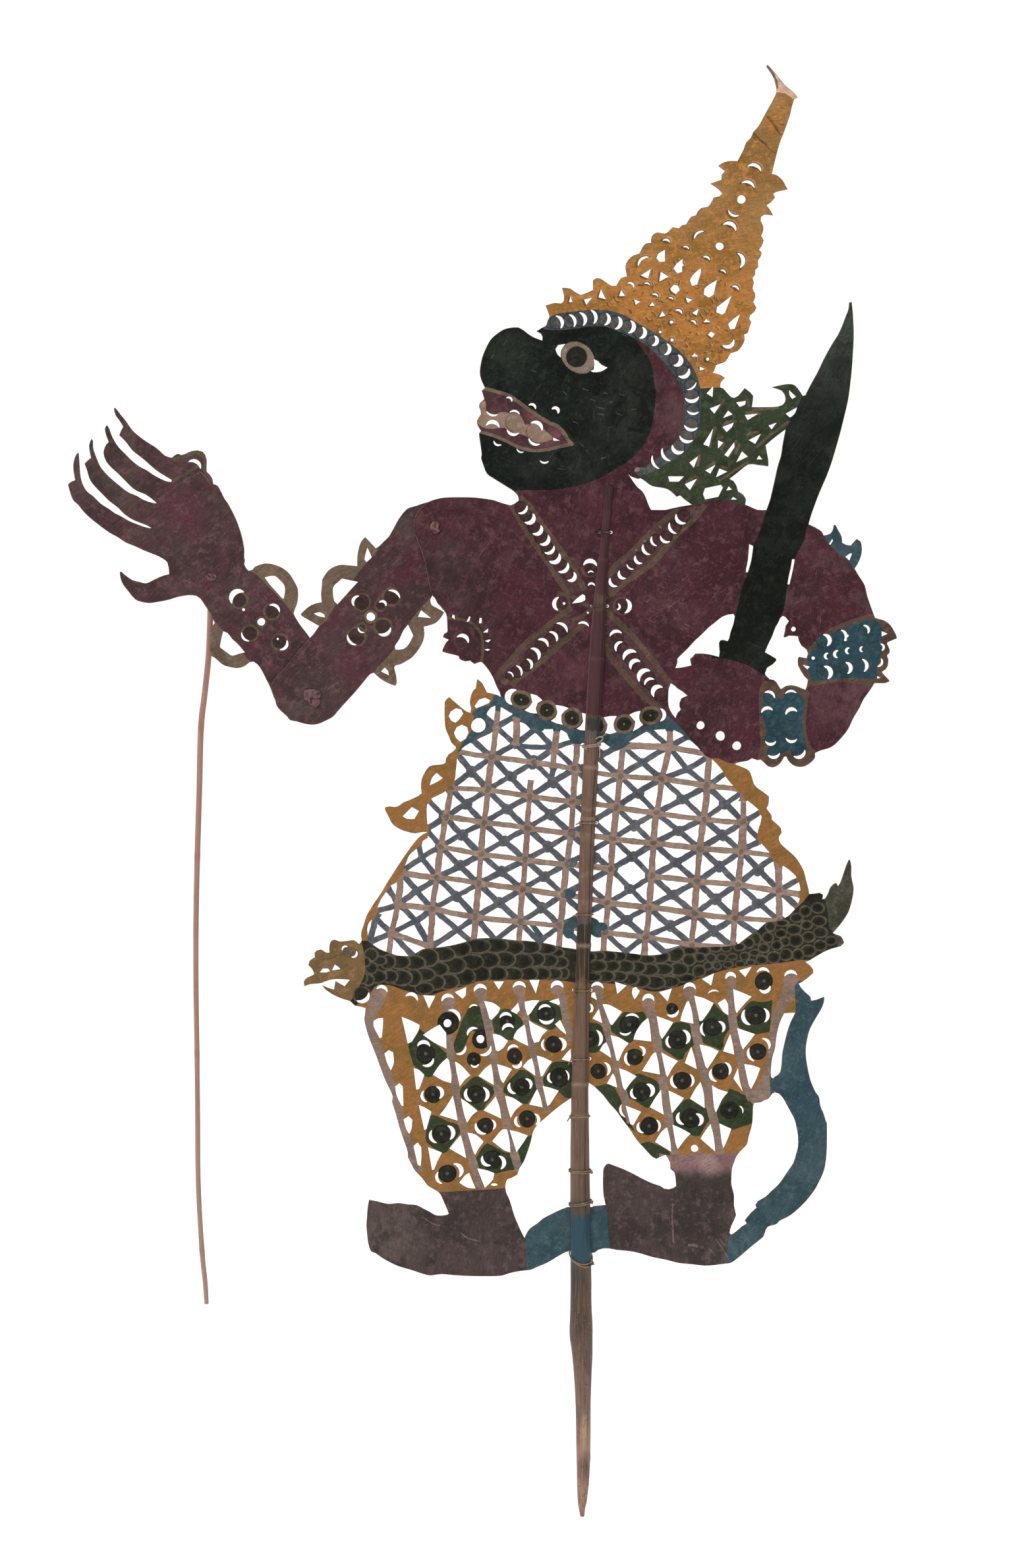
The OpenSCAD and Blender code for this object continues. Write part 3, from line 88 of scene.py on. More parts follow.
skirt_back = [[1128,1165],[1137,1170],[1141,1180],[1144,1190],[1148,1195],[1158,1202],[1167,1209],[1166,1222],[1163,1227],[1166,1231],
    [1171,1238],[1171,1244],[1178,1250],[1185,1257],[1186,1264],[1182,1270],[1182,1275],[1185,1281],[1195,1290],[1206,1300],
    [1214,1311],[1220,1323],[1223,1335],[1227,1350],[1228,1357],[1238,1356],[1244,1355],[1249,1358],[1248,1365],[1252,1364],
    [1257,1355],[1260,1347],[1266,1341],[1269,1340],[1272,1345],[1275,1340],[1280,1326],[1284,1314],[1288,1305],[1290,1305],
    [1292,1315],[1292,1330],[1295,1345],[1295,1355],[1292,1370],[1288,1383],[1283,1392],[1276,1402],[1264,1416],[1268,1418],
    [1276,1421],[1280,1428],[1281,1431],[1276,1436],[1262,1440],[1250,1445],[1238,1452],[1226,1459],[1222,1460],[1230,1466],
    [1234,1472],[1234,1477],[1226,1484],[1218,1490],[1212,1493],[1215,1498],[1222,1506],[1230,1513],[1231,1519],[1240,1517]]
tail_edge = [[1250,1513],[1251,1514],[1250,1522],[1246,1532],[1240,1542],[1233,1554],[1228,1565],[1225,1577],[1223,1590],[1223,1603],
    [1225,1617],[1228,1632],[1232,1645],[1238,1658],[1243,1665],[1245,1678],[1250,1690],[1253,1700],[1255,1705],[1255,1735],
    [1254,1755],[1252,1770],[1248,1783],[1243,1793],[1236,1806],[1227,1818],[1217,1829],[1205,1840],[1195,1847],[1183,1853],
    [1178,1858],[1165,1862],[1161,1870],[1159,1876],[1155,1880],[1140,1892],[1125,1905],[1115,1913],[1108,1917],[1100,1918]]
soles = [[1085,1920],[1070,1921],[1050,1919],[1030,1917],[1010,1912],[990,1908],[970,1902],[955,1899],[935,1897],[925,1895],
    [915,1895],[908,1897],[903,1901],[897,1902],[865,1899],[850,1905],[835,1914],[825,1919],[815,1923],[806,1927],
    [800,1928],[790,1929],[775,1932],[762,1936],[750,1937],[720,1937],[695,1936],[670,1934],[653,1936],[640,1933],
    [625,1928],[605,1922],[590,1915],[578,1908],[570,1902],[563,1899],[559,1888],[557,1872],[556,1860],[557,1845],
    [558,1832],[560,1821],[572,1823],[588,1827],[605,1826],[620,1828],[632,1829],[642,1834],[652,1839],[660,1844],
    [668,1845],[678,1844],[681,1842],[677,1832],[673,1823],[670,1816],[665,1809]]
leg_front = [[650,1800],[645,1794],[638,1785],[630,1777],[624,1766],[619,1756],[619,1750],[617,1742],[612,1728],[606,1710],
    [602,1695],[598,1682],[595,1672],[596,1664],[591,1652],[585,1640],[578,1622],[570,1600],[562,1580],[557,1565],
    [553,1548],[554,1540],[555,1530],[548,1528],[538,1526],[532,1520],[520,1516],[508,1511],[500,1506],[493,1501],
    [489,1495],[497,1499],[507,1502],[509,1489],[523,1497],[531,1487],[510,1486],[498,1488],[488,1492],[480,1493],
    [470,1494],[462,1497],[461,1490],[466,1484],[475,1480],[477,1478],[474,1471],[468,1465],[470,1458],[478,1453],
    [477,1447],[480,1443],[487,1441],[495,1446],[500,1446],[500,1435],[503,1428],[508,1426],[515,1429],[528,1428],
    [537,1427],[543,1431],[545,1433],[549,1428]]
skirt_front = [[548,1420],[549,1412],[552,1404],[556,1391],[562,1380],[569,1369],[578,1356],[588,1339],[597,1325],[608,1308],
    [619,1292],[631,1276],[641,1267],[649,1263],[640,1263],[630,1265],[620,1263],[608,1259],[596,1251],
    [590,1240],[584,1228],[585,1225],[592,1224],[600,1225],[607,1222],[612,1218],[620,1215],[635,1208],[640,1204],
    [639,1195],[640,1183],[645,1172],[652,1163],[663,1161],[672,1160],[676,1158],[677,1151],[681,1145],[687,1141],
    [691,1137],[692,1134],[685,1127],[681,1117],[677,1108],[675,1095],[675,1065],[678,1061],[682,1058],[686,1062],
    [692,1067],[700,1074],[708,1080],[714,1082],[715,1075],[713,1067],[715,1055],[719,1047],[722,1045],[724,1031],
    [726,1032],[731,1036],[735,1043],[739,1051],[748,1053],[755,1055],[760,1058]]
chest_front = [[758,1050],[755,1045],[752,1038],[748,1028],[742,1018],[735,1009],[731,1005],[728,1005],[720,1008],[716,1005],
    [713,1003],[706,1004],[700,1002],[697,1000],[696,996],[690,994],[680,992],[671,989],[672,985],[677,975],
    [681,971],[676,969],[672,967],[674,962],[678,960],[679,958],[678,935],[676,930],[668,920],[664,916],
    [660,908],[657,905],[653,895],[650,880],[648,868],[644,850],[640,838],[635,825],[631,812],[628,798],
    [629,788],[632,780],[637,773],[645,766],[652,761],[665,757],[680,755],[715,755],[735,757],[748,759],
    [760,763],[775,767],[780,765],[787,760]]
face = [[787,757],[786,753],[780,746],[766,737],[750,727],[739,719],[733,705],[730,695],[731,690],[728,668],
    [727,658],[730,654],[725,646],[724,638],[730,628],[727,617],[728,612],[735,606],[731,593],[736,589],
    [730,576],[728,565],[730,550],[733,539],[740,523],[747,513],[758,504],[768,499],[779,497],[786,497],
    [794,501],[803,508],[812,513]]

# through gaps between the figure's own parts
gaps = [
    # under the hair
    [[953,719],[957,723],[968,727],[972,726],[981,732],[990,738],[1008,741],[1017,745],[1027,754],[1032,752],
     [1040,759],[1050,766],[1032,769],[1018,772],[1010,774],[988,774],[984,766],[980,755],[975,746],[968,740],[961,731]],
    # hair to sword
    [[1192,652],[1185,657],[1171,668],[1162,676],[1164,688],[1166,698],[1166,708],[1150,706],[1136,705],[1120,717],
     [1107,727],[1113,730],[1118,738],[1120,746],[1127,750],[1132,758],[1131,766],[1138,769],[1150,774],[1163,774],
     [1168,760],[1172,744],[1176,726],[1180,708],[1185,692],[1187,678],[1190,662]],
    # chest to sword
    [[1025,1014],[1028,1006],[1028,1000],[1035,993],[1045,983],[1055,972],[1065,963],[1075,953],[1085,945],[1095,937],
     [1105,933],[1113,932],[1115,935],[1113,947],[1109,958],[1106,970],[1104,973],[1098,971],[1093,972],[1091,976],
     [1092,990],[1091,997],[1080,994],[1067,992],[1055,992],[1052,996],[1047,1000],[1049,1010],[1035,1013]],
    # fist to waist
    [[1018,1037],[1024,1041],[1028,1045],[1036,1050],[1043,1056],[1034,1060],[1031,1067],[1031,1072],[1033,1077],[1028,1082],
     [1025,1090],[1020,1083],[1015,1073],[1014,1058],[1015,1045]],
    # sword to back arm
    [[1181,945],[1184,938],[1188,935],[1192,937],[1197,943],[1192,950],[1191,958],[1189,966],[1191,968],[1197,965],
     [1211,966],[1212,972],[1216,980],[1224,986],[1226,992],[1224,999],[1213,997],[1211,999],[1211,1010],[1215,1018],
     [1221,1027],[1226,1032],[1224,1043],[1222,1047],[1210,1042],[1200,1040],[1193,1041],[1188,1044],[1185,1046],[1181,1040],
     [1178,1035],[1174,1032],[1168,1031],[1162,1025],[1161,1022],[1164,1014],[1172,1009],[1178,1003],[1178,1000],[1170,995],
     [1161,990],[1165,980],[1172,965],[1177,952]],
    # slits beside the blade
    [[1137,826],[1143,829],[1140,850],[1135,868],[1132,869],[1132,865],[1135,850]],
    [[1202,849],[1206,849],[1203,865],[1198,887],[1195,887],[1197,875],[1200,862]],
    # between the legs, closed below by the tail
    [[866,1667],[860,1671],[850,1678],[840,1686],[833,1692],[825,1699],[815,1708],[809,1718],[805,1735],[800,1750],
     [795,1763],[788,1774],[785,1783],[778,1787],[770,1790],[768,1794],[767,1803],[769,1812],[773,1820],[777,1833],
     [781,1846],[786,1858],[791,1869],[796,1879],[800,1870],[806,1863],[815,1857],[823,1850],[832,1845],[842,1840],
     [853,1835],[862,1832],[875,1831],[895,1831],[905,1830],[919,1829],[916,1815],[915,1800],[915,1785],[916,1773],
     [920,1767],[924,1766],[932,1769],[945,1774],[960,1781],[975,1789],[990,1796],[1002,1800],[1008,1804],[1015,1805],
     [1022,1803],[1026,1800],[1025,1788],[1023,1779],[1017,1774],[1017,1765],[1013,1757],[1010,1753],[1004,1755],[996,1759],
     [990,1756],[983,1749],[976,1741],[970,1735],[962,1724],[955,1713],[945,1700],[935,1686],[925,1675],[915,1662],
     [908,1655],[903,1650],[893,1643]],
    # leg to tail, above and below the bridge
    [[1190,1538],[1207,1537],[1200,1551],[1195,1565],[1190,1585],[1187,1600],[1186,1615],[1184,1627],[1181,1631],[1176,1634],
     [1173,1637],[1170,1634],[1170,1622],[1172,1605],[1176,1592],[1178,1575],[1181,1560],[1185,1548]],
    [[1182,1660],[1187,1665],[1194,1677],[1201,1690],[1206,1700],[1209,1712],[1211,1725],[1211,1740],[1208,1752],[1204,1765],
     [1200,1771],[1193,1781],[1187,1790],[1180,1799],[1170,1808],[1162,1816],[1150,1823],[1146,1829],[1148,1833],[1140,1840],
     [1134,1847],[1130,1852],[1133,1857],[1125,1862],[1117,1869],[1110,1874],[1107,1871],[1110,1860],[1114,1852],[1117,1844],
     [1114,1830],[1114,1815],[1112,1806],[1110,1798],[1110,1785],[1111,1773],[1114,1764],[1117,1756],[1122,1749],[1130,1741],
     [1134,1736],[1136,1725],[1140,1712],[1142,1700],[1143,1678],[1145,1674],[1155,1673],[1160,1670],[1166,1668],[1172,1660],[1176,1658]]]

# lattice of the skirt: its outer line and its crossings, row by row
skirt_field = [[757,1072],[775,1082],[790,1088],[803,1096],[815,1105],[830,1107],[848,1107],[860,1113],[864,1122],[872,1126],
    [887,1131],[916,1127],[924,1133],[940,1135],[953,1127],[970,1117],[983,1110],[993,1108],[1011,1107],[1024,1109],
    [1033,1113],[1040,1119],[1050,1126],[1058,1133],[1064,1140],[1070,1147],[1080,1152],[1090,1162],[1098,1172],[1102,1180],
    [1110,1190],[1116,1196],[1127,1205],[1132,1213],[1137,1217],[1148,1226],[1152,1230],[1156,1240],[1154,1250],[1150,1262],
    [1150,1272],[1157,1282],[1167,1293],[1173,1303],[1180,1311],[1190,1315],[1202,1324],[1210,1333],[1214,1345],[1215,1352],
    [1214,1364],[1210,1375],[1200,1387],[1190,1394],[1175,1399],[1163,1400],[1150,1412],[1140,1418],[1128,1427],[1115,1435],
    [1085,1437],[1050,1438],[1030,1438],[1015,1445],[1000,1449],[980,1450],[965,1448],[940,1445],[915,1443],[895,1444],
    [870,1440],[850,1437],[830,1432],[800,1428],[780,1427],[755,1424],[735,1424],[720,1425],[705,1430],[685,1435],
    [665,1438],[640,1441],[627,1450],[614,1451],[602,1450],[590,1446],[575,1440],[565,1433],[558,1428],[557,1412],
    [560,1400],[568,1388],[575,1372],[585,1352],[598,1338],[607,1325],[613,1312],[620,1300],[628,1290],[637,1277],
    [645,1272],[650,1266],[648,1245],[648,1222],[655,1212],[665,1207],[680,1198],[688,1180],[691,1160],[691,1150],
    [697,1140],[712,1127],[722,1116],[735,1100],[737,1087],[745,1074]]
lattice = [
    [[690,1140],[747,1149],[810,1157],[872,1167],[941,1178],[1004,1182],[1073,1193],[1129,1200]],
    [[684,1196],[740,1199],[804,1209],[869,1217],[935,1225],[996,1234],[1068,1243],[1128,1248]],
    [[676,1240],[734,1249],[800,1257],[866,1265],[930,1273],[992,1280],[1062,1288],[1125,1292],[1178,1299]],
    [[669,1285],[730,1297],[797,1305],[860,1312],[927,1319],[989,1330],[1058,1338],[1120,1342],[1182,1352]],
    [[664,1332],[727,1341],[793,1349],[855,1358],[922,1370],[985,1377],[1055,1387],[1115,1393],[1183,1398]],
    [[656,1379],[722,1392],[790,1399],[850,1405],[918,1415],[980,1422],[1050,1434],[1112,1438]]]
# plain bars beyond the regular rows
plain_more = [[[757,1062],[753,1104]],[[753,1104],[747,1149]],[[784,1090],[782,1130]],[[845,1106],[841,1140]],[[841,1140],[840,1164]],
    [[876,1120],[872,1167]],[[946,1126],[941,1178]],[[1016,1106],[1016,1134]],[[1016,1134],[1004,1182]],[[1077,1146],[1073,1193]],
    [[946,1132],[1016,1134]],[[1016,1134],[1072,1144]],[[1129,1200],[1128,1214]],[[607,1324],[664,1332]],[[604,1373],[656,1379]],
    [[594,1416],[652,1437]],[[608,1320],[604,1373]],[[604,1373],[594,1416]],[[594,1416],[590,1450]],[[1178,1299],[1181,1312]],
    [[1182,1352],[1216,1358]],[[1182,1312],[1182,1352]],[[918,1415],[916,1446]],[[980,1422],[978,1452]],[[1128,1248],[1128,1292]],
    [[656,1379],[652,1440]],[[722,1392],[718,1432]],[[790,1399],[786,1436]],[[850,1405],[848,1444]]]
# slanting bars beyond the regular rows
slant_more = [[[690,1138],[716,1122]],[[716,1122],[753,1103]],[[716,1122],[747,1149]],[[733,1086],[753,1104]],[[753,1104],[784,1086]],
    [[753,1104],[782,1130]],[[782,1130],[810,1157]],[[747,1149],[782,1130]],[[782,1130],[813,1106]],[[782,1132],[840,1134]],
    [[813,1106],[840,1135]],[[840,1135],[872,1165]],[[840,1135],[810,1157]],[[840,1135],[878,1122]],[[840,1165],[835,1190]],
    [[946,1130],[908,1150]],[[908,1150],[941,1178]],[[946,1132],[975,1157]],[[975,1157],[1016,1134]],[[975,1157],[941,1178]],
    [[975,1157],[1004,1182]],[[983,1106],[1016,1134]],[[1016,1134],[1046,1118]],[[1016,1134],[1043,1168]],[[1043,1168],[1073,1193]],
    [[1043,1168],[1078,1146]],[[1043,1168],[1004,1182]],[[1073,1193],[1104,1172]],[[1128,1248],[1158,1230]],[[1128,1248],[1156,1277]],
    [[1125,1292],[1158,1275]],[[1182,1352],[1214,1334]],[[1182,1352],[1212,1379]],[[1115,1393],[1152,1418]],
    [[650,1214],[676,1240]],[[648,1257],[676,1240]],[[648,1262],[669,1285]],[[612,1320],[640,1302]],[[640,1302],[669,1285]],
    [[640,1302],[664,1332]],[[635,1280],[640,1302]],[[607,1324],[632,1352]],[[632,1352],[656,1379]],[[632,1352],[664,1332]],
    [[632,1352],[604,1373]],[[604,1373],[631,1398]],[[631,1398],[652,1437]],[[631,1398],[656,1379]],[[631,1398],[594,1416]],
    [[588,1348],[604,1373]],[[570,1383],[604,1373]],[[568,1391],[594,1416]],[[556,1432],[594,1416]],[[572,1388],[560,1430]],
    [[594,1416],[628,1452]],[[918,1415],[950,1444]],[[950,1444],[980,1422]],[[980,1422],[1012,1449]],[[1012,1446],[1050,1434]],
    [[656,1379],[718,1432]],[[722,1392],[652,1438]],[[722,1392],[752,1427]],[[790,1399],[752,1427]],[[790,1399],[819,1429]],[[850,1405],[819,1429]],[[850,1405],[882,1434]]]

# windows of the trousers
leg_windows = [
    [[610,1544],[622,1549],[636,1556],[634,1564],[625,1580],[619,1583]], [[643,1571],[655,1563],[667,1556],[676,1568],[677,1591],[660,1582]],
    [[735,1520],[748,1523],[758,1530],[755,1537],[746,1547],[743,1545],[740,1533]], [[776,1534],[786,1523],[788,1533],[784,1538]],
    [[797,1521],[808,1519],[818,1519],[812,1526],[805,1537],[801,1541],[798,1530]], [[834,1520],[847,1516],[849,1522],[848,1525]],
    [[803,1549],[811,1555],[830,1564],[822,1571],[818,1580],[811,1582],[807,1570]], [[843,1555],[850,1549],[855,1560],[859,1569],[852,1564]],
    [[796,1556],[798,1570],[801,1587],[786,1579],[780,1575],[785,1565]], [[748,1570],[758,1572],[770,1580],[763,1590],[756,1595],[753,1593]],
    [[658,1631],[668,1617],[678,1607],[681,1610],[684,1630],[684,1643],[672,1639]], [[628,1622],[636,1625],[643,1632],[640,1640],[636,1652],[632,1653]],
    [[691,1612],[700,1618],[713,1632],[705,1638],[698,1648],[694,1628]], [[727,1633],[737,1622],[745,1616],[747,1630],[749,1646]],
    [[755,1616],[765,1619],[776,1623],[770,1632],[764,1643],[760,1637]], [[794,1619],[802,1610],[807,1607],[810,1620],[812,1632]],
    [[815,1603],[825,1606],[837,1612],[830,1620],[824,1632],[821,1633]], [[636,1678],[645,1682],[654,1688],[650,1700],[647,1713],[644,1714]],
    [[668,1692],[678,1680],[687,1664],[690,1680],[694,1700]], [[700,1668],[710,1675],[724,1686],[716,1692],[709,1703],[705,1690]],
    [[735,1685],[747,1672],[752,1665],[757,1680],[760,1697]], [[767,1664],[778,1667],[792,1676],[782,1684],[775,1696],[771,1680]],
    [[804,1676],[811,1662],[815,1654],[819,1665],[823,1680]], [[824,1649],[835,1652],[847,1656],[840,1666],[834,1676],[831,1678]],
    [[650,1742],[660,1746],[670,1750],[663,1762],[659,1774],[656,1775]], [[683,1743],[693,1731],[699,1724],[703,1740],[707,1757]],
    [[710,1720],[722,1723],[733,1733],[726,1742],[721,1752],[718,1745]], [[748,1732],[758,1720],[763,1715],[769,1715],[772,1730],[774,1748],[765,1745]],
    [[774,1716],[786,1719],[800,1724],[793,1734],[786,1745],[784,1748]], [[725,1774],[738,1777],[749,1781],[747,1790],[740,1798],[736,1802]],
    [[698,1795],[706,1785],[712,1781],[717,1795],[721,1803],[710,1802]],
    [[575,1546],[581,1546],[580,1560],[579,1574],[576,1575],[568,1558],[568,1550]], [[584,1600],[590,1595],[596,1598],[597,1612],[593,1624],[588,1613]],
    [[600,1650],[606,1645],[611,1650],[612,1678],[609,1677],[603,1663]], [[613,1700],[620,1695],[625,1700],[624,1712],[621,1720],[617,1713]],
    [[628,1740],[634,1735],[639,1742],[639,1758],[638,1769],[634,1767]],
    [[915,1525],[925,1526],[943,1536],[936,1545],[929,1555],[926,1553]], [[983,1546],[985,1555],[988,1580],[962,1577],[966,1566],[975,1553]],
    [[997,1543],[1010,1548],[1021,1552],[1014,1562],[1005,1576],[1002,1570]], [[1033,1549],[1036,1538],[1042,1522],[1045,1520],[1049,1535],[1052,1553]],
    [[1054,1512],[1068,1516],[1082,1523],[1075,1535],[1066,1548],[1062,1549]], [[1090,1523],[1100,1517],[1104,1525],[1105,1540],[1098,1535]],
    [[1113,1502],[1125,1507],[1140,1513],[1130,1522],[1118,1537],[1116,1530]], [[927,1572],[940,1576],[953,1584],[945,1594],[939,1609],[936,1609]],
    [[911,1594],[916,1586],[920,1583],[924,1593],[927,1605]], [[1119,1561],[1132,1566],[1145,1570],[1137,1580],[1128,1592],[1125,1585]],
    [[1098,1595],[1103,1583],[1108,1570],[1111,1585],[1114,1600]], [[1062,1586],[1077,1590],[1090,1596],[1082,1608],[1074,1621],[1071,1618]],
    [[975,1625],[983,1613],[991,1600],[995,1598],[998,1612],[1001,1630]], [[1004,1598],[1014,1604],[1028,1611],[1020,1620],[1013,1634],[1011,1630]],
    [[1040,1613],[1045,1600],[1049,1590],[1053,1605],[1057,1622]], [[1114,1637],[1120,1622],[1122,1640],[1127,1656]],
    [[1130,1616],[1142,1618],[1153,1622],[1147,1637],[1140,1652],[1137,1647]], [[922,1644],[930,1630],[933,1636],[936,1650]],
    [[940,1622],[952,1627],[965,1634],[956,1643],[949,1654],[946,1650]], [[987,1680],[995,1667],[1003,1655],[1004,1675],[1007,1691]],
    [[1015,1656],[1025,1661],[1037,1667],[1029,1677],[1020,1689],[1018,1675]], [[1048,1667],[1056,1653],[1063,1643],[1067,1660],[1069,1681]],
    [[1081,1648],[1090,1654],[1104,1658],[1095,1668],[1087,1687],[1084,1680]], [[950,1679],[960,1683],[972,1688],[966,1697],[961,1707],[957,1705]],
    [[995,1733],[1004,1719],[1012,1712],[1016,1730],[1018,1747]], [[1021,1708],[1034,1714],[1047,1721],[1038,1730],[1029,1743],[1026,1735]],
    [[1064,1728],[1071,1717],[1078,1707],[1082,1725],[1085,1747]], [[1092,1706],[1100,1710],[1109,1714],[1104,1727],[1098,1742],[1096,1735]],
    [[643,1511],[660,1512],[651,1530]], [[691,1506],[707,1499],[706,1510],[702,1515]], [[750,1490],[764,1490],[757,1501]], [[804,1488],[818,1488],[813,1507]],
    [[934,1491],[950,1496],[937,1508]], [[1001,1506],[1019,1501],[1013,1519]], [[1066,1486],[1083,1478],[1079,1495]], [[1122,1473],[1140,1468],[1131,1482]]]
# windows of belt, skirt flames, crown teardrops
trim_windows = [
    [[805,1053],[815,1056],[823,1063],[816,1067],[813,1075],[815,1083],[805,1082],[796,1078],[803,1073],[808,1066]],
    [[843,1070],[855,1072],[863,1075],[857,1079],[852,1085],[852,1095],[854,1100],[845,1098],[836,1094],[843,1089],[846,1081]],
    [[883,1082],[891,1084],[891,1095],[888,1109],[880,1108],[875,1106],[881,1102],[885,1095]],
    [[916,1089],[926,1087],[936,1087],[933,1092],[931,1100],[933,1108],[936,1111],[926,1114],[918,1113],[921,1107],[922,1099]],
    [[955,1085],[963,1081],[972,1079],[970,1086],[971,1094],[976,1100],[968,1106],[960,1110],[963,1103],[964,1095]],
    [[681,1087],[684,1080],[692,1075],[700,1077],[703,1083],[697,1092],[691,1097],[685,1094]],
    [[689,1112],[693,1104],[701,1100],[709,1104],[711,1112],[707,1121],[699,1126],[692,1120]],
    [[720,1072],[727,1062],[736,1059],[744,1063],[742,1067],[733,1071],[723,1075]],
    [[652,1192],[656,1180],[663,1173],[668,1178],[672,1181],[663,1187]], [[611,1239],[625,1225],[636,1231],[629,1243],[618,1243]],
    [[1009,379],[1009,397],[1001,398],[996,392],[999,385]], [[1036,393],[1035,413],[1028,415],[1022,408],[1027,400]],
    [[1063,407],[1064,412],[1058,432],[1050,434],[1047,426],[1051,418]], [[1088,425],[1083,447],[1076,452],[1068,447],[1069,438],[1076,432]],
    [[1110,449],[1100,475],[1096,478],[1087,474],[1088,466],[1096,460]], [[1123,477],[1115,499],[1108,500],[1105,492],[1112,485]],
    [[1070,741],[1094,736],[1097,740],[1090,754],[1070,758],[1067,750]], [[1014,723],[1038,723],[1030,731],[1016,731]],
    [[868,916],[876,908],[884,902],[888,904],[888,911],[882,914]],
    [[843,530],[847,524],[858,522],[854,527],[851,534],[851,543],[846,538]], [[901,545],[907,548],[913,554],[922,558],[912,564],[900,565],[896,563],[901,561],[902,553]]]

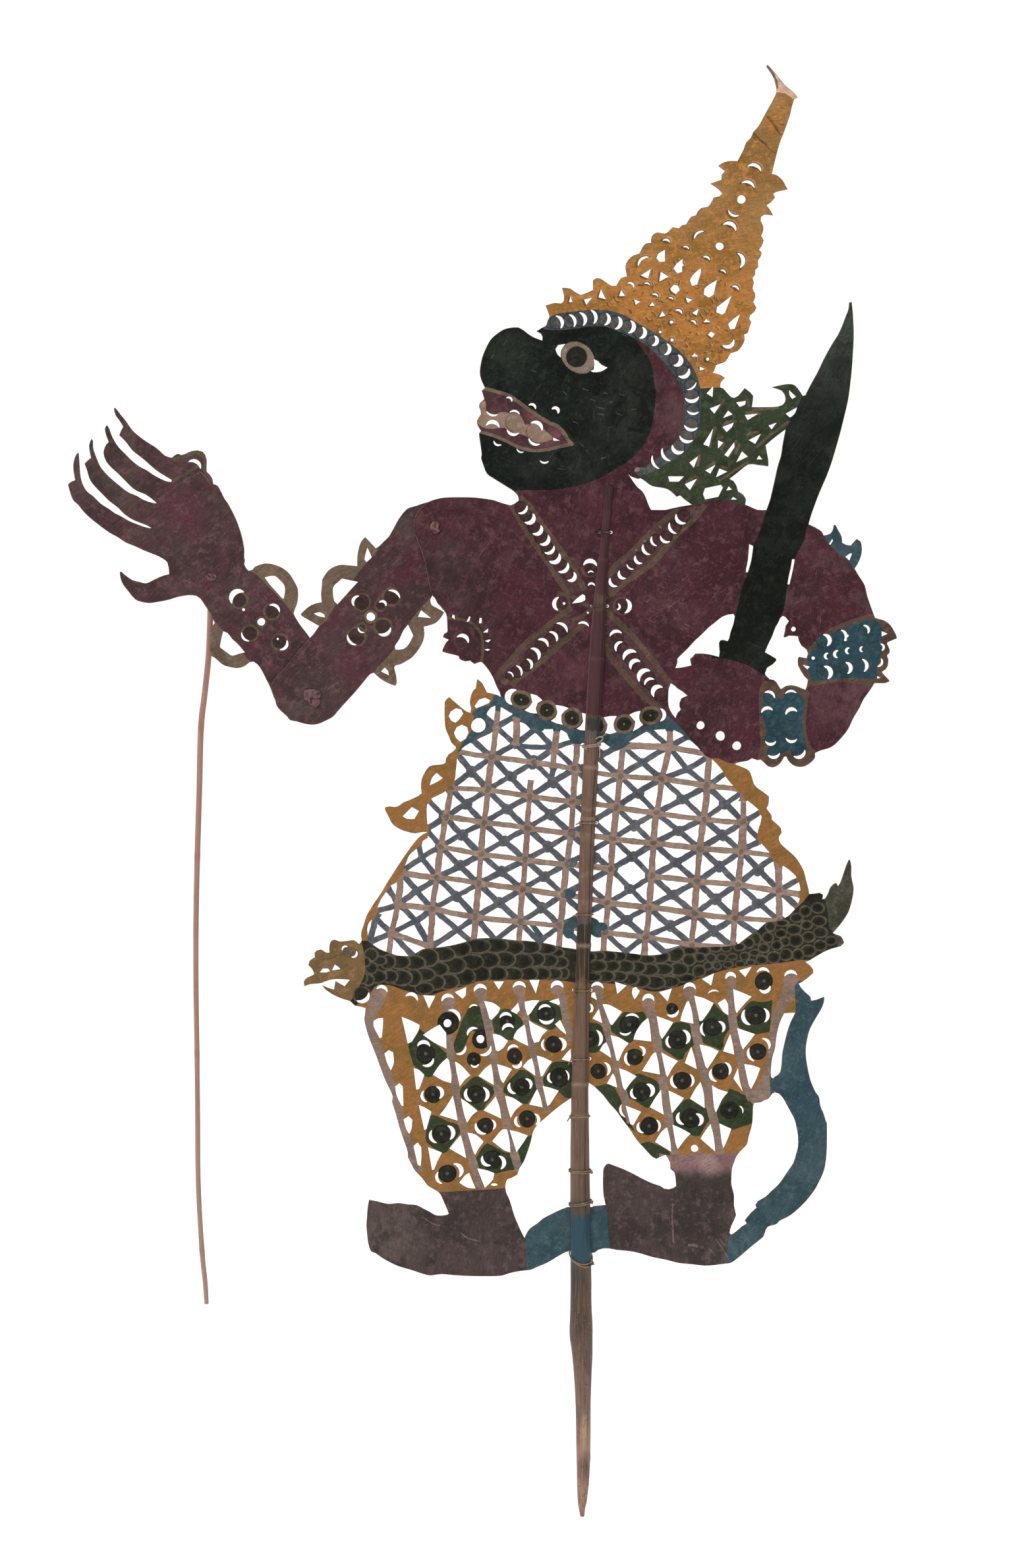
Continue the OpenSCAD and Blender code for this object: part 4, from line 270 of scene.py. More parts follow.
# punched crescents: one end, the outermost point, the other end
moons = [
    # headband
    [[843,479],[856,490],[851,499]],[[863,477],[875,489],[871,497]],[[879,474],[891,487],[885,495]],[[896,470],[907,483],[901,492]],
    [[920,475],[927,483],[917,494]],[[938,480],[945,489],[933,500]],[[957,486],[965,494],[953,506]],[[975,496],[982,505],[970,514]],
    [[993,509],[1000,516],[989,525]],[[1012,521],[1019,531],[1008,539]],[[1029,538],[1037,546],[1022,555]],[[1046,559],[1047,568],[1029,571]],
    [[1057,580],[1053,589],[1042,592]],[[1039,604],[1050,612],[1061,602]],[[1042,623],[1052,630],[1061,625]],[[1038,645],[1049,655],[1059,649]],
    [[1031,661],[1043,673],[1052,668]],[[1020,675],[1030,690],[1038,685]],
    # crown
    [[1134,253],[1143,248],[1155,261]],[[1125,278],[1134,274],[1145,286]],[[1105,319],[1112,329],[1122,327]],[[1097,341],[1107,336],[1117,351]],
    [[1053,363],[1058,352],[1069,351]],[[1119,384],[1131,396],[1123,407]],[[968,404],[972,392],[985,390]],[[1096,524],[1108,529],[1114,515]],
    # front strap, above and below the buckle
    [[786,779],[799,777],[800,767]],[[796,793],[811,793],[809,779]],[[808,810],[823,809],[821,797]],[[819,826],[834,824],[832,812]],
    [[826,839],[841,837],[841,828]],[[833,852],[850,852],[849,840]],[[847,868],[862,866],[862,854]],[[861,881],[873,881],[871,868]],
    [[844,946],[857,947],[861,960]],[[833,959],[845,962],[845,974]],[[816,971],[828,970],[832,982]],[[805,984],[819,988],[817,1002]],
    [[799,1000],[807,1003],[805,1016]],[[783,1010],[792,1015],[791,1026]],[[770,1020],[777,1021],[779,1028]],
    # buckle
    [[848,906],[838,918],[847,927]],[[950,909],[959,920],[948,931]],[[885,858],[895,848],[906,859]],
    # back strap
    [[1026,780],[1027,793],[1041,794]],[[1016,793],[1016,806],[1027,810]],[[1002,813],[1005,823],[1017,822]],[[989,814],[988,825],[997,829]],
    [[976,826],[976,839],[987,842]],[[964,843],[964,854],[975,855]],[[951,856],[955,864],[962,864]],[[940,866],[939,877],[950,878]],
    [[926,877],[926,889],[937,890]],[[925,966],[930,957],[944,961]],[[935,989],[934,977],[945,974]],[[946,1002],[949,988],[966,990]],
    [[957,1016],[956,1004],[972,1004]],[[970,1035],[970,1018],[987,1018]],[[978,1040],[981,1030],[993,1031]],[[992,1058],[990,1043],[1006,1043]],
    # belt ends, chest
    [[784,1047],[766,1058],[777,1070]],[[1002,1075],[1011,1084],[1002,1095]],[[693,967],[708,964],[711,976]],
    # back wrist
    [[1160,1051],[1171,1049],[1176,1060]],[[1191,1053],[1200,1047],[1209,1052]],[[1155,1082],[1164,1072],[1173,1078]],[[1192,1085],[1198,1074],[1210,1080]],
    [[1161,1125],[1171,1132],[1178,1125]],[[1192,1120],[1201,1128],[1210,1122]],[[1165,1146],[1175,1152],[1184,1143]],[[1204,1148],[1217,1151],[1222,1138]],
    # back arm band
    [[1249,963],[1261,967],[1255,981]],[[1276,956],[1286,964],[1281,973]],[[1310,949],[1320,954],[1317,962]],[[1250,1011],[1264,1019],[1256,1031]],
    [[1283,1005],[1294,1013],[1286,1023]],[[1308,1000],[1318,1009],[1311,1020]],
    # waistband
    [[571,1501],[580,1495],[588,1506]],[[615,1512],[626,1506],[634,1519]],[[670,1520],[678,1508],[689,1515]],[[719,1505],[729,1493],[739,1502]],
    [[778,1499],[788,1489],[798,1499]],[[836,1500],[845,1488],[855,1499]],[[897,1498],[906,1490],[916,1500]],[[975,1519],[984,1508],[993,1519]],
    [[1037,1501],[1047,1491],[1056,1501]],[[1101,1486],[1110,1475],[1117,1484]],[[1190,1482],[1200,1472],[1210,1480]],
    # eyes of the trousers
    [[633,1588],[640,1579],[653,1588]],[[641,1617],[654,1618],[658,1606]],[[680,1533],[695,1535],[698,1550]],[[709,1572],[713,1560],[725,1561]],
    [[728,1601],[743,1600],[745,1587]],[[758,1545],[768,1536],[777,1543]],[[762,1564],[770,1553],[780,1560]],[[817,1533],[827,1524],[836,1529]],
    [[818,1547],[830,1555],[841,1546]],[[826,1577],[821,1587],[828,1595]],[[848,1575],[860,1586],[852,1595]],[[770,1595],[775,1586],[787,1590]],
    [[777,1617],[786,1622],[791,1610]],[[774,1643],[770,1652],[783,1660]],[[797,1637],[808,1644],[804,1653]],[[835,1628],[830,1636],[838,1644]],
    [[643,1655],[638,1664],[648,1673]],[[662,1649],[674,1657],[667,1668]],[[709,1652],[704,1663],[716,1672]],[[733,1650],[743,1661],[735,1672]],
    [[655,1715],[651,1726],[663,1735]],[[679,1708],[691,1719],[683,1730]],[[722,1704],[723,1718],[738,1721]],[[746,1699],[753,1706],[748,1715]],
    [[785,1694],[780,1703],[790,1711]],[[811,1690],[820,1698],[813,1708]],[[732,1754],[733,1768],[745,1769]],[[757,1754],[768,1763],[760,1775]],
    [[665,1778],[661,1790],[671,1797]],[[688,1766],[703,1773],[697,1787]],
    [[949,1543],[960,1538],[970,1545]],[[940,1567],[948,1572],[958,1566]],[[1012,1540],[1024,1544],[1030,1533]],[[1067,1552],[1062,1562],[1070,1573]],
    [[1090,1550],[1101,1558],[1096,1567]],[[1130,1532],[1125,1546],[1139,1556]],[[1159,1530],[1168,1540],[1160,1552]],[[1015,1572],[1010,1583],[1018,1591]],
    [[1036,1563],[1048,1573],[1041,1585]],[[952,1597],[947,1609],[956,1618]],[[970,1588],[980,1594],[975,1603]],[[1137,1590],[1134,1603],[1145,1611]],
    [[1156,1576],[1168,1580],[1167,1593]],[[917,1612],[927,1621],[921,1633]],[[1021,1632],[1017,1644],[1028,1652]],[[1047,1630],[1054,1640],[1048,1650]],
    [[1080,1622],[1076,1634],[1088,1642]],[[1100,1612],[1110,1620],[1106,1632]],[[960,1652],[956,1661],[966,1668]],[[981,1645],[994,1655],[986,1665]],
    [[970,1703],[966,1713],[977,1720]],[[996,1699],[1003,1708],[998,1718]],[[1031,1688],[1026,1700],[1038,1707]],[[1056,1690],[1068,1700],[1060,1709]],
    [[905,1563],[915,1575],[908,1588]],[[1148,1476],[1159,1468],[1168,1476]],[[1152,1502],[1163,1508],[1169,1496]]]
# round holes: centre and radius on the template
dots = [[1063,1101,6],[1093,1117,7],[1118,1132,6.5],[726,1101,11],[1125,303,6.5],[1092,374,6],[1204,955,3.5],
    [679,1553,6],[729,1577,6],[1054,1743,5.5]]
upper_arm = [[645,763],[630,768],[618,772],[606,786],[597,802],[590,814],[582,822],[575,829],[570,832],[560,821],
    [554,815],[550,819],[546,826],[543,838],[542,848],[542,859],[530,858],[518,857],[507,860],[498,866],
    [492,874],[489,879],[488,892],[487,902],[488,914],[478,916],[468,921],[460,928],[456,932],[458,935],
    [470,942],[484,950],[480,956],[475,963],[470,968],[455,985],[440,1003],[428,1018],[418,1028],[412,1038],
    [413,1052],[417,1062],[420,1072],[427,1080],[435,1087],[440,1093],[450,1095],[460,1098],[472,1100],[482,1099],
    [492,1095],[505,1088],[512,1080],[520,1071],[530,1060],[540,1049],[550,1037],[558,1027],[562,1023],[567,1021],
    [577,1030],[585,1035],[594,1039],[600,1041],[602,1037],[601,1025],[598,1013],[600,1010],[608,1008],[617,1003],
    [625,998],[632,990],[638,981],[642,973],[644,962],[643,951],[655,948],[663,944],[670,936],[674,929],
    [662,922],[655,918],[653,910],[656,904],[668,880],[690,850],[700,820],[700,795],[692,775],[678,764],[660,760]]
upper_windows = [[[557,831],[553,849],[556,853],[564,846],[560,836]], [[519,878],[543,883],[530,897],[512,917],[507,912],[505,892],[512,884]],
    [[476,931],[485,929],[492,933],[493,937],[483,935]], [[639,926],[654,938],[634,936]],
    [[619,948],[625,960],[627,965],[620,978],[612,985],[600,986],[599,981],[606,970],[612,957]], [[584,1013],[589,1019],[590,1025],[578,1019]]]
upper_moons = [[[545,904],[535,907],[537,920]],[[589,896],[602,897],[607,908]],[[575,914],[583,911],[586,920]],
    [[543,952],[545,959],[553,960]],[[527,963],[529,975],[541,979]],[[574,962],[590,963],[593,952]]]
forearm = [[256,871],[255,860],[253,853],[250,850],[240,844],[225,838],[215,834],[205,829],[190,823],[178,815],
    [165,808],[150,797],[135,785],[125,775],[117,765],[111,760],[107,752],[104,742],[102,735],[106,731],
    [113,728],[111,718],[110,705],[112,695],[115,688],[118,686],[119,695],[120,710],[121,722],[124,733],
    [128,741],[133,747],[140,752],[148,760],[155,766],[165,772],[173,778],[183,783],[195,790],[207,795],
    [218,799],[226,801],[229,801],[222,797],[212,793],[200,788],[188,780],[178,770],[165,760],[155,750],
    [147,742],[139,733],[134,724],[131,713],[127,703],[131,699],[137,694],[135,685],[134,675],[136,668],
    [138,665],[140,668],[140,678],[143,688],[147,698],[151,707],[158,716],[167,725],[180,736],[190,744],
    [197,748],[207,752],[215,757],[225,761],[233,763],[237,763],[230,757],[220,750],[208,745],[200,740],
    [190,730],[178,718],[168,709],[161,701],[157,692],[156,686],[158,678],[160,674],[164,670],[160,660],
    [158,650],[160,645],[162,645],[165,650],[168,659],[173,669],[180,679],[190,689],[200,699],[212,708],
    [222,713],[232,720],[245,727],[253,730],[259,731],[260,728],[250,722],[240,716],[230,708],[220,699],
    [210,691],[200,683],[190,670],[180,660],[183,652],[186,647],[180,637],[174,629],[172,620],[172,618],
    [175,619],[181,627],[190,638],[200,652],[210,661],[222,670],[232,676],[240,682],[250,691],[260,694],
    [265,690],[269,688],[275,690],[283,687],[290,684],[300,683],[307,685],[311,690],[313,697],[313,715],
    [318,720],[322,727],[323,734],[330,737],[335,746],[340,756],[345,763],[350,772],[357,786],[363,802],
    [367,816],[370,832],[370,845],[371,850],[370,856],[373,862],[377,866],[383,864],[386,860],[393,857],
    [400,855],[408,855],[417,857],[425,860],[433,865],[440,872],[446,882],[451,892],[452,905],[450,917],
    [447,924],[445,931],[448,937],[455,948],[462,957],[470,968],[480,985],[495,1010],[508,1035],[512,1058],
    [506,1075],[492,1089],[474,1095],[455,1091],[438,1084],[424,1072],[414,1055],[409,1042],[403,1030],[397,1018],
    [390,1008],[384,1004],[378,1005],[372,1010],[365,1013],[358,1014],[340,1010],[332,1004],[325,998],[321,996],
    [318,988],[318,975],[319,960],[322,950],[325,945],[317,929],[310,918],[303,908],[297,904],[285,903],
    [278,904],[268,906],[255,910],[240,913],[225,915],[213,913],[205,910],[200,905],[193,896],[186,887],
    [182,877],[181,868],[183,867],[190,873],[200,880],[212,883],[221,885],[232,880],[245,874]]
fore_windows = [[[401,876],[408,874],[417,874],[425,881],[431,888],[432,898],[430,908],[428,908],[420,899],[410,888]],
    [[338,958],[345,961],[352,970],[360,977],[371,990],[362,992],[352,995],[345,991],[333,982],[335,970]]]
fore_moons = [[[285,700],[298,697],[304,711]],[[351,916],[350,898],[370,898]],[[408,918],[419,917],[424,929]],
    [[366,959],[368,970],[378,973]],[[435,971],[436,982],[424,986]]]
fore_dots = [[396,943.5,5.8],[369,925,2.2],[421,969.5,1.7]]

# punches too small for the CAD sheet: (x, y, half width, turn in degrees), bulge up at turn 0
crown_bits = [(1011,367,6,15),(1041,377,5,20),(1072,393,6,25),(1097,413,5,30),(1116,438,6,30),(982,432,4.5,15),(994,449,5,20),
    (1030,474,6,30),(1052,490,5,35),(1018,454,4,20),(1034,402,4,40)]
crown_cuts = [
    [[987,409],[983,422],[973,418]],[[1003,413],[1014,420],[1001,427]],[[943,441],[948,449],[940,449]],[[1018,438],[1023,433],[1028,434],[1031,440],[1025,446],[1019,441]],
    [[963,455],[971,458],[965,462]],[[990,459],[993,464],[986,464]],[[1041,452],[1050,455],[1044,459]],[[1051,475],[1060,469],[1057,478]],
    [[1001,481],[1009,479],[1005,473]],[[1068,489],[1072,485],[1078,489]],[[1050,541],[1054,537],[1059,541]],[[1075,508],[1079,504],[1084,507],[1080,512]],[[1062,557],[1070,560],[1063,562]],
    [[866,450],[868,458],[864,458]],[[898,452],[890,462],[887,455]],[[912,440],[919,454],[909,451]]]
crown_dots = [(1019,489,2.5),(1002,504,2),(1020,516,2.5),(1074,545,2.5)]
hair_cuts = [
    [[1193,628],[1209,619],[1205,628],[1199,633]],[[1198,593],[1207,602],[1202,605],[1199,600]],[[1082,587],[1081,602],[1073,597]],
    [[1078,620],[1093,614],[1084,627]],[[1118,611],[1131,609],[1130,614],[1123,617]],[[1105,624],[1111,629],[1098,634]],
    [[1131,630],[1150,628],[1135,637]],[[1097,648],[1113,642],[1110,648],[1103,655]],[[1167,646],[1178,642],[1171,651]],
    [[1137,668],[1154,659],[1146,673]],[[1082,651],[1076,677],[1068,674]],[[1090,669],[1097,672],[1090,680]],
    [[1114,672],[1114,679],[1105,693],[1100,690]],[[1126,686],[1134,693],[1118,701]],[[1152,692],[1156,697],[1149,697]],
    [[1059,693],[1053,709],[1047,702]],[[1085,706],[1078,718],[1071,714]],[[1092,712],[1103,716],[1087,724]],
    [[1057,727],[1047,743],[1040,735]],[[1106,739],[1110,743],[1103,744]],[[1113,755],[1118,758],[1110,758]]]
more_moons = [[[952,430],[960,429],[962,437]],[[1005,680],[1004,692],[1018,700]],[[990,691],[989,703],[1001,712]],
    [[892,870],[896,866],[901,869]],[[892,889],[896,884],[903,889]],[[936,926],[942,920],[938,916]],[[877,947],[886,943],[894,951]],
    [[1336,977],[1343,982],[1338,988]],[[1257,991],[1250,996],[1256,1001]],[[1272,987],[1264,993],[1271,999]],[[1289,983],[1282,988],[1288,993]],
    [[1309,981],[1304,986],[1309,990]],[[1331,1012],[1340,1007],[1337,999]],
    [[858,1624],[864,1632],[862,1640]],[[1122,1678],[1128,1684],[1127,1690]],[[943,1676],[940,1687],[949,1696]],[[714,1616],[720,1621],[727,1615]],
    [[692,1600],[703,1600],[707,1587]],[[712,1530],[718,1524],[725,1527]],[[1074,1508],[1083,1502],[1091,1505]],
    [[519,1443],[523,1435],[528,1437]],[[533,1453],[542,1451],[541,1443]],[[541,1519],[556,1521],[560,1506]]]
# mouth and chin
mouth_moons = [[[768,604],[774,602],[777,610]],[[802,615],[811,613],[813,621]],[[837,621],[848,619],[847,628]],[[738,624],[746,632],[756,629]],
    [[773,626],[781,622],[789,629]],[[737,646],[747,637],[758,649]],[[769,652],[779,662],[788,657]],[[805,642],[819,640],[823,654]],
    [[802,665],[809,676],[820,674]],[[749,669],[754,677],[761,675]],[[784,681],[788,687],[795,686]],[[819,699],[825,704],[833,700]]]
teeth = [(727,613),(731,609),(736,608),(738,614),(738,624),(744,632),(752,630),(758,626),(768,626),(774,628),(781,627),(789,630),(794,638),(797,645),(803,644),(811,642),(819,643),(824,650),
    (830,656),(837,662),(838,667),(830,670),(820,672),(811,671),(802,664),(793,660),(784,658),(774,655),(766,650),(757,650),(746,651),(736,650),(728,646),(723,640),(724,634),(727,630),(727,620)]
more_cuts = [[(960,1500),(965,1498),(971,1504),(967,1512),(963,1517),(959,1508)],[[839,664],[850,669],[840,669]],[[1258,826],[1263,818],[1264,821],[1260,827]],[[1283,845],[1290,840],[1293,840],[1289,851]],
    [[1338,958],[1347,962],[1338,966]],[[1218,1009],[1229,1012],[1225,1016]],[[1331,1026],[1336,1029],[1331,1030]],
    [[485,1476],[490,1470],[498,1470],[501,1474],[495,1476]],[[504,1473],[508,1464],[513,1467],[517,1471],[510,1472]],
    [[852,1608],[860,1598],[866,1592],[867,1612]],
    [[686,937],[687,933],[690,934],[690,940]],[[708,944],[712,936],[714,936],[712,943]],[[727,946],[728,938],[731,938],[731,946]],
    [[733,960],[741,954],[740,960]],[[736,973],[741,971],[745,971],[741,975]],[[735,986],[740,985],[744,986],[740,988]]]
more_dots = [(856,916,2),(892,930,1.5),(918,948,1.5),(1286,965,2),(1283,971,2.2),(1234,999,2.6)]

# painted areas
band_out = [(834,482),(850,476),(880,472),(900,470),(925,472),(950,480),(970,492),(990,503),(1010,516),(1030,532),(1045,548),(1055,565),(1062,585),(1064,605),
    (1063,630),(1060,650),(1053,668),(1042,682),(1025,696),(1010,705),(995,714),(978,722)]
band_in = [(826,500),(850,501),(870,499),(895,495),(915,495),(935,502),(955,510),(974,520),(988,531),(1004,546),(1017,562),(1028,577),(1037,595),(1039,613),
    (1040,630),(1036,650),(1027,668),(1014,682),(999,695),(984,706),(965,716)]
face_arc = [(925,480),(950,500),(962,514),(968,522),(975,530),(985,545),(990,560),(993,580),(995,600),(992,630),(985,660),(965,690),(935,712),(905,728),(870,739),(830,744),(790,744)]
hair_area = [(1062,590),(1093,588),(1100,570),(1240,560),(1222,601),(1192,652),(1180,690),(1160,772),(1131,768),(1115,763),(1098,759),(1080,761),(1060,765),(1048,768),
    (1032,752),(1017,745),(990,738),(968,728),(978,720),(995,713),(1010,704),(1025,695),(1042,681),(1053,667),(1060,650),(1063,630),(1064,605)]
hair_veins = [[(1099,606),(1092,616),(1084,628)],[(1133,606),(1137,617)],[(1141,622),(1160,621),(1182,619)],[(1131,627),(1142,626),(1154,628)],[(1098,644),(1108,640),(1118,640)],
    [(1086,648),(1080,664),(1076,680)],[(1097,662),(1088,668)],[(1099,672),(1094,684)],[(1118,668),(1112,682),(1106,695)],[(1122,674),(1116,690)],[(1133,660),(1140,657),(1152,656)],
    [(1196,640),(1178,654),(1160,668),(1148,680)],[(1062,690),(1058,708)],[(1086,702),(1072,710)],[(1104,712),(1094,708)],[(1136,702),(1118,712),(1100,724),(1090,730)],
    [(1057,722),(1046,728),(1040,734)],[(1060,724),(1052,738)]]
# painted shade of the crown's dents and folds, and painted highlights (glints) beside them
dent_shade_strokes = [[(931,450),(934,456),(940,459)],[(955,470),(958,476)],[(980,482),(984,488),(990,486)],[(968,433),(978,434)],[(1164,178),(1174,192),(1184,206)],[(1141,201),(1152,212),(1164,222)],
    [(846,432),(862,424),(880,416),(900,408)]]
dent_shade_spots = [(1043,445),(1038,532),(1047,487),(1092,413),(1115,441),(1005,459),(1047,505),(1046,522),(1061,465),(1008,478),(972,456)]
glints = [[(1028,516),(1038,517)],[(1050,519),(1060,519)],[(1056,550),(1068,558)],[(985,453),(995,455)],[(934,452),(937,456),(942,457)],[(983,484),(988,485)]]
mouth_in = [(737,590),(775,603),(800,621),(830,641),(850,651),(862,668),(869,675),(828,684),(790,681),(765,669),(727,656),(715,640),(715,605)]
lip_up = [(733,590),(755,595),(775,602),(800,620),(830,640),(850,650),(862,668),(870,676)]
lip_low = [(725,655),(745,660),(765,668),(790,680),(810,684),(828,683),(850,678),(870,674)]
strap_edges = [
    [[(776,766),(797,804),(816,832),(833,857),(849,882),(864,904)],[(789,754),(804,769),(824,798),(844,826),(862,852),(877,875),(887,896)]],
    [[(868,922),(849,935),(824,956),(798,976),(773,1004),(751,1030)],[(893,943),(882,951),(864,966),(842,986),(816,1009),(791,1027),(776,1041)]],
    [[(1030,772),(1016,783),(991,805),(973,823),(951,845),(935,858),(922,878)],[(1070,767),(1053,788),(1029,810),(1008,834),(989,856),(962,875),(940,891),(924,904)]],
    [[(920,926),(927,934),(948,953),(970,977),(989,1001),(1008,1025),(1018,1038)],[(912,962),(918,978),(927,998),(946,1022),(965,1044),(983,1062),(1002,1076)]]]
sword_area = [(1218,601),(1205,628),(1192,652),(1187,678),(1180,708),(1172,744),(1163,774),(1152,810),(1143,829),(1135,868),(1127,890),(1118,925),(1113,947),(1104,973),
    (1080,972),(1080,1000),(1092,999),(1110,1002),(1135,1010),(1150,1019),(1161,1026),(1185,1010),(1190,990),(1161,990),(1165,980),(1181,945),(1190,920),(1195,888),(1205,850),(1220,820),
    (1227,796),(1260,740),(1310,600),(1310,450),(1280,450),(1240,560)]
wing_area = [(1240,790),(1250,812),(1257,826),(1272,840),(1288,852),(1297,866),(1325,860),(1325,800),(1265,785)]
armband_rim = [(1200,992),(1224,986),(1250,961),(1275,947),(1300,938),(1330,931),(1370,938),(1372,972),(1360,1000),(1362,1042),(1330,1046),(1300,1037),(1262,1036),(1222,1044),(1200,1010)]
armband_area = [(1227,994),(1252,968),(1276,955),(1302,945),(1328,940),(1338,952),(1342,964),(1336,974),(1338,988),(1334,1004),(1330,1016),(1333,1030),(1312,1030),(1290,1029),(1262,1031),(1232,1034),(1226,1014)]
cuff_rim = [(1152,1050),(1158,1034),(1180,1034),(1188,1044),(1198,1034),(1218,1036),(1227,1050),(1224,1080),(1223,1105),(1229,1130),(1245,1146),(1236,1166),(1200,1170),(1160,1170),(1148,1158),(1154,1130),(1152,1090)]
cuff_area = [(1158,1060),(1166,1052),(1180,1056),(1187,1062),(1195,1054),(1208,1052),(1218,1058),(1221,1070),(1218,1090),(1219,1110),(1223,1125),(1225,1138),(1216,1146),(1206,1144),(1196,1138),(1184,1146),(1170,1142),(1164,1128),(1162,1105),(1158,1085)]
belt_area = [(735,1090),(743,1070),(752,1050),(775,1066),(800,1080),(830,1092),(868,1105),(905,1116),(947,1114),(975,1104),(1000,1092),(1010,1084),(1022,1094),(1036,1108),(1052,1126),(1066,1142),
    (1040,1123),(1024,1112),(1011,1110),(993,1111),(983,1113),(970,1120),(953,1130),(940,1138),(924,1136),(916,1130),(887,1134),(872,1129),(864,1125),(860,1116),(848,1110),(830,1110),
    (815,1108),(803,1099),(790,1091),(775,1085),(757,1075)]
belt_coins = [(791,1062,17,14,12),(830,1078,16,15,12),(868,1090,16,16,0),(905,1101,16,16,0),(947,1099,16,15,-10),(987,1086,17,14,-15)]
left_border = [(724,1022),(737,1040),(750,1052),(762,1058),(757,1074),(745,1076),(722,1083),(718,1092),(719,1110),(708,1124),(697,1142),(693,1160),(690,1182),(682,1200),(665,1209),(650,1222),(650,1266),
    (637,1280),(620,1303),(607,1328),(586,1355),(570,1390),(559,1412),(559,1430),(535,1432),(535,1380),(600,1290),(570,1265),(570,1190),(630,1150),(660,1120),(660,1030)]
right_border = [(1079,1151),(1090,1151),(1102,1157),(1112,1159),(1128,1158),(1185,1205),(1200,1260),(1240,1330),(1238,1354),(1226,1364),(1214,1380),(1208,1382),(1211,1370),(1213,1355),(1211,1340),(1202,1327),
    (1190,1318),(1178,1310),(1168,1299),(1157,1286),(1149,1272),(1153,1240),(1150,1230),(1143,1224),(1131,1217),(1129,1208),(1115,1197),(1104,1186),(1097,1171)]
left_strip = [(650,1259),(640,1264),(629,1273),(616,1289),(604,1306),(593,1323),(584,1337),(574,1354),(565,1367),(558,1378),(552,1389),(548,1402),(545,1415),(545,1430),(557,1430),(558,1420),(557,1404),
    (562,1398),(567,1392),(570,1382),(575,1370),(583,1358),(588,1351),(593,1344),(601,1340),(606,1334),(608,1325),(613,1317),(617,1308),(621,1298),(630,1290),(638,1283),(641,1277),(649,1272)]
snake_top = [(540,1424),(549,1428),(558,1428),(565,1433),(575,1440),(590,1446),(602,1450),(614,1451),(627,1450),(640,1441),(665,1438),(685,1435),(705,1430),(720,1425),(735,1424),(755,1424),(780,1427),
    (800,1428),(830,1432),(850,1437),(870,1440),(895,1444),(915,1443),(940,1445),(965,1448),(980,1450),(1000,1449),(1015,1445),(1030,1438),(1050,1438),(1085,1437),(1115,1435),(1128,1427),
    (1140,1418),(1150,1412),(1163,1400),(1175,1399),(1190,1394),(1200,1387),(1210,1377),(1220,1367),(1228,1357)]
snake_low = [(1226,1459),(1180,1462),(1150,1465),(1120,1468),(1100,1472),(1080,1478),(1065,1485),(1050,1490),(1035,1495),(1020,1500),(1005,1503),(990,1505),(975,1500),(960,1497),(940,1493),(915,1492),
    (885,1493),(850,1488),(800,1487),(750,1488),(735,1488),(720,1492),(705,1497),(690,1500),(670,1505),(655,1510),(640,1510),(620,1505),(605,1500),(590,1495),(568,1497),(560,1510),(540,1527),(528,1530)]
# scales of the snake: centre and the two radii
scales = [(567,1449,6,9),(580,1458,6,6),(593,1460,7,10),(612,1460,9.5,10),(635,1461,10,10),(655,1453,10,13),(679,1448,11,10),(704,1440,10,11),(732,1436,12,10),
    (558,1460,4,6),(567,1469,5.5,8),(578,1482,8.5,9),(596,1482,7.5,9),(615,1484,10,11),(632,1484,7.5,12),(650,1479,10,9),(670,1471,10,10),(696,1465,11,12),(722,1460,11,11),
    (562,1487,5,8),(553,1484,4,8),(649,1500,8.5,8),(666,1491,9,10),(686,1490,10,11),(710,1482,11,13),(734,1479,10,12),
    (759,1435,12,10),(784,1438,11,11),(809,1437,11,10),(833,1440,11,8),(849,1446,6.5,6),(747,1457,11,11),(772,1456,9.5,11),(797,1459,12,11),(818,1456,8.5,10),(837,1458,9,9),(855,1461,7,8),
    (760,1478,9.5,10),(783,1479,10,10),(807,1478,9,10),(827,1478,8,9),(845,1478,7.5,8),(858,1477,5,8),
    (897,1452,7,6),(912,1451,6,6),(927,1451,8,8),(942,1451,8,8),(964,1452,9,7),(986,1456,8,6),(1006,1452,10,9),(1029,1448,9,11),(1048,1443,9,5),(1069,1443,8,6),(1087,1439,7,5),(1103,1438,6,6),(1123,1437,7,5),
    (912,1466,8.5,8),(932,1466,8.5,8),(953,1467,9,9),(972,1468,7.5,8),(990,1472,9,8),(1011,1471,10,8),(1035,1471,9,9),(1047,1457,8,8),(1063,1453,7,6),(1080,1454,6,6),(1096,1453,6,5),(1112,1452,6,4),(1131,1451,6,5),
    (904,1483,8,6),(924,1482,8,8),(943,1482,8,7),(961,1486,8,8),(978,1489,8,9),(999,1491,10,9),(1021,1490,9,8),(1044,1484,10,6),(1062,1474,8,8),(1075,1466,5,5),(1089,1466,5,5),(1106,1464,6,4),(1124,1463,6,4),
    (1137,1431,7,7),(1148,1425,6,8),(1166,1423,7,7),(1170,1406,6,7),(1188,1401,8,4),(1210,1393,8,6),(1223,1383,7,7),(1242,1378,8,7),(1225,1404,7,6),(1244,1398,9,7),(1206,1411,9,7),(1186,1417,7,6),
    (1246,1415,9,7),(1228,1422,8,7),(1209,1427,9,9),(1192,1429,6,6),(1180,1435,7,6),(1160,1439,7,6),(1146,1446,6,4),(1262,1428,7,6),(1246,1435,8,7),(1228,1443,9,8),(1212,1449,7,8),(1194,1449,8,8),
    (1175,1453,8,8),(1157,1457,7,6),(1140,1461,5,4)]
head_area = [(549,1431),(553,1450),(554,1475),(549,1490),(541,1505),(533,1518),(520,1524),(480,1535),(430,1510),(430,1430),(490,1405),(545,1420)]
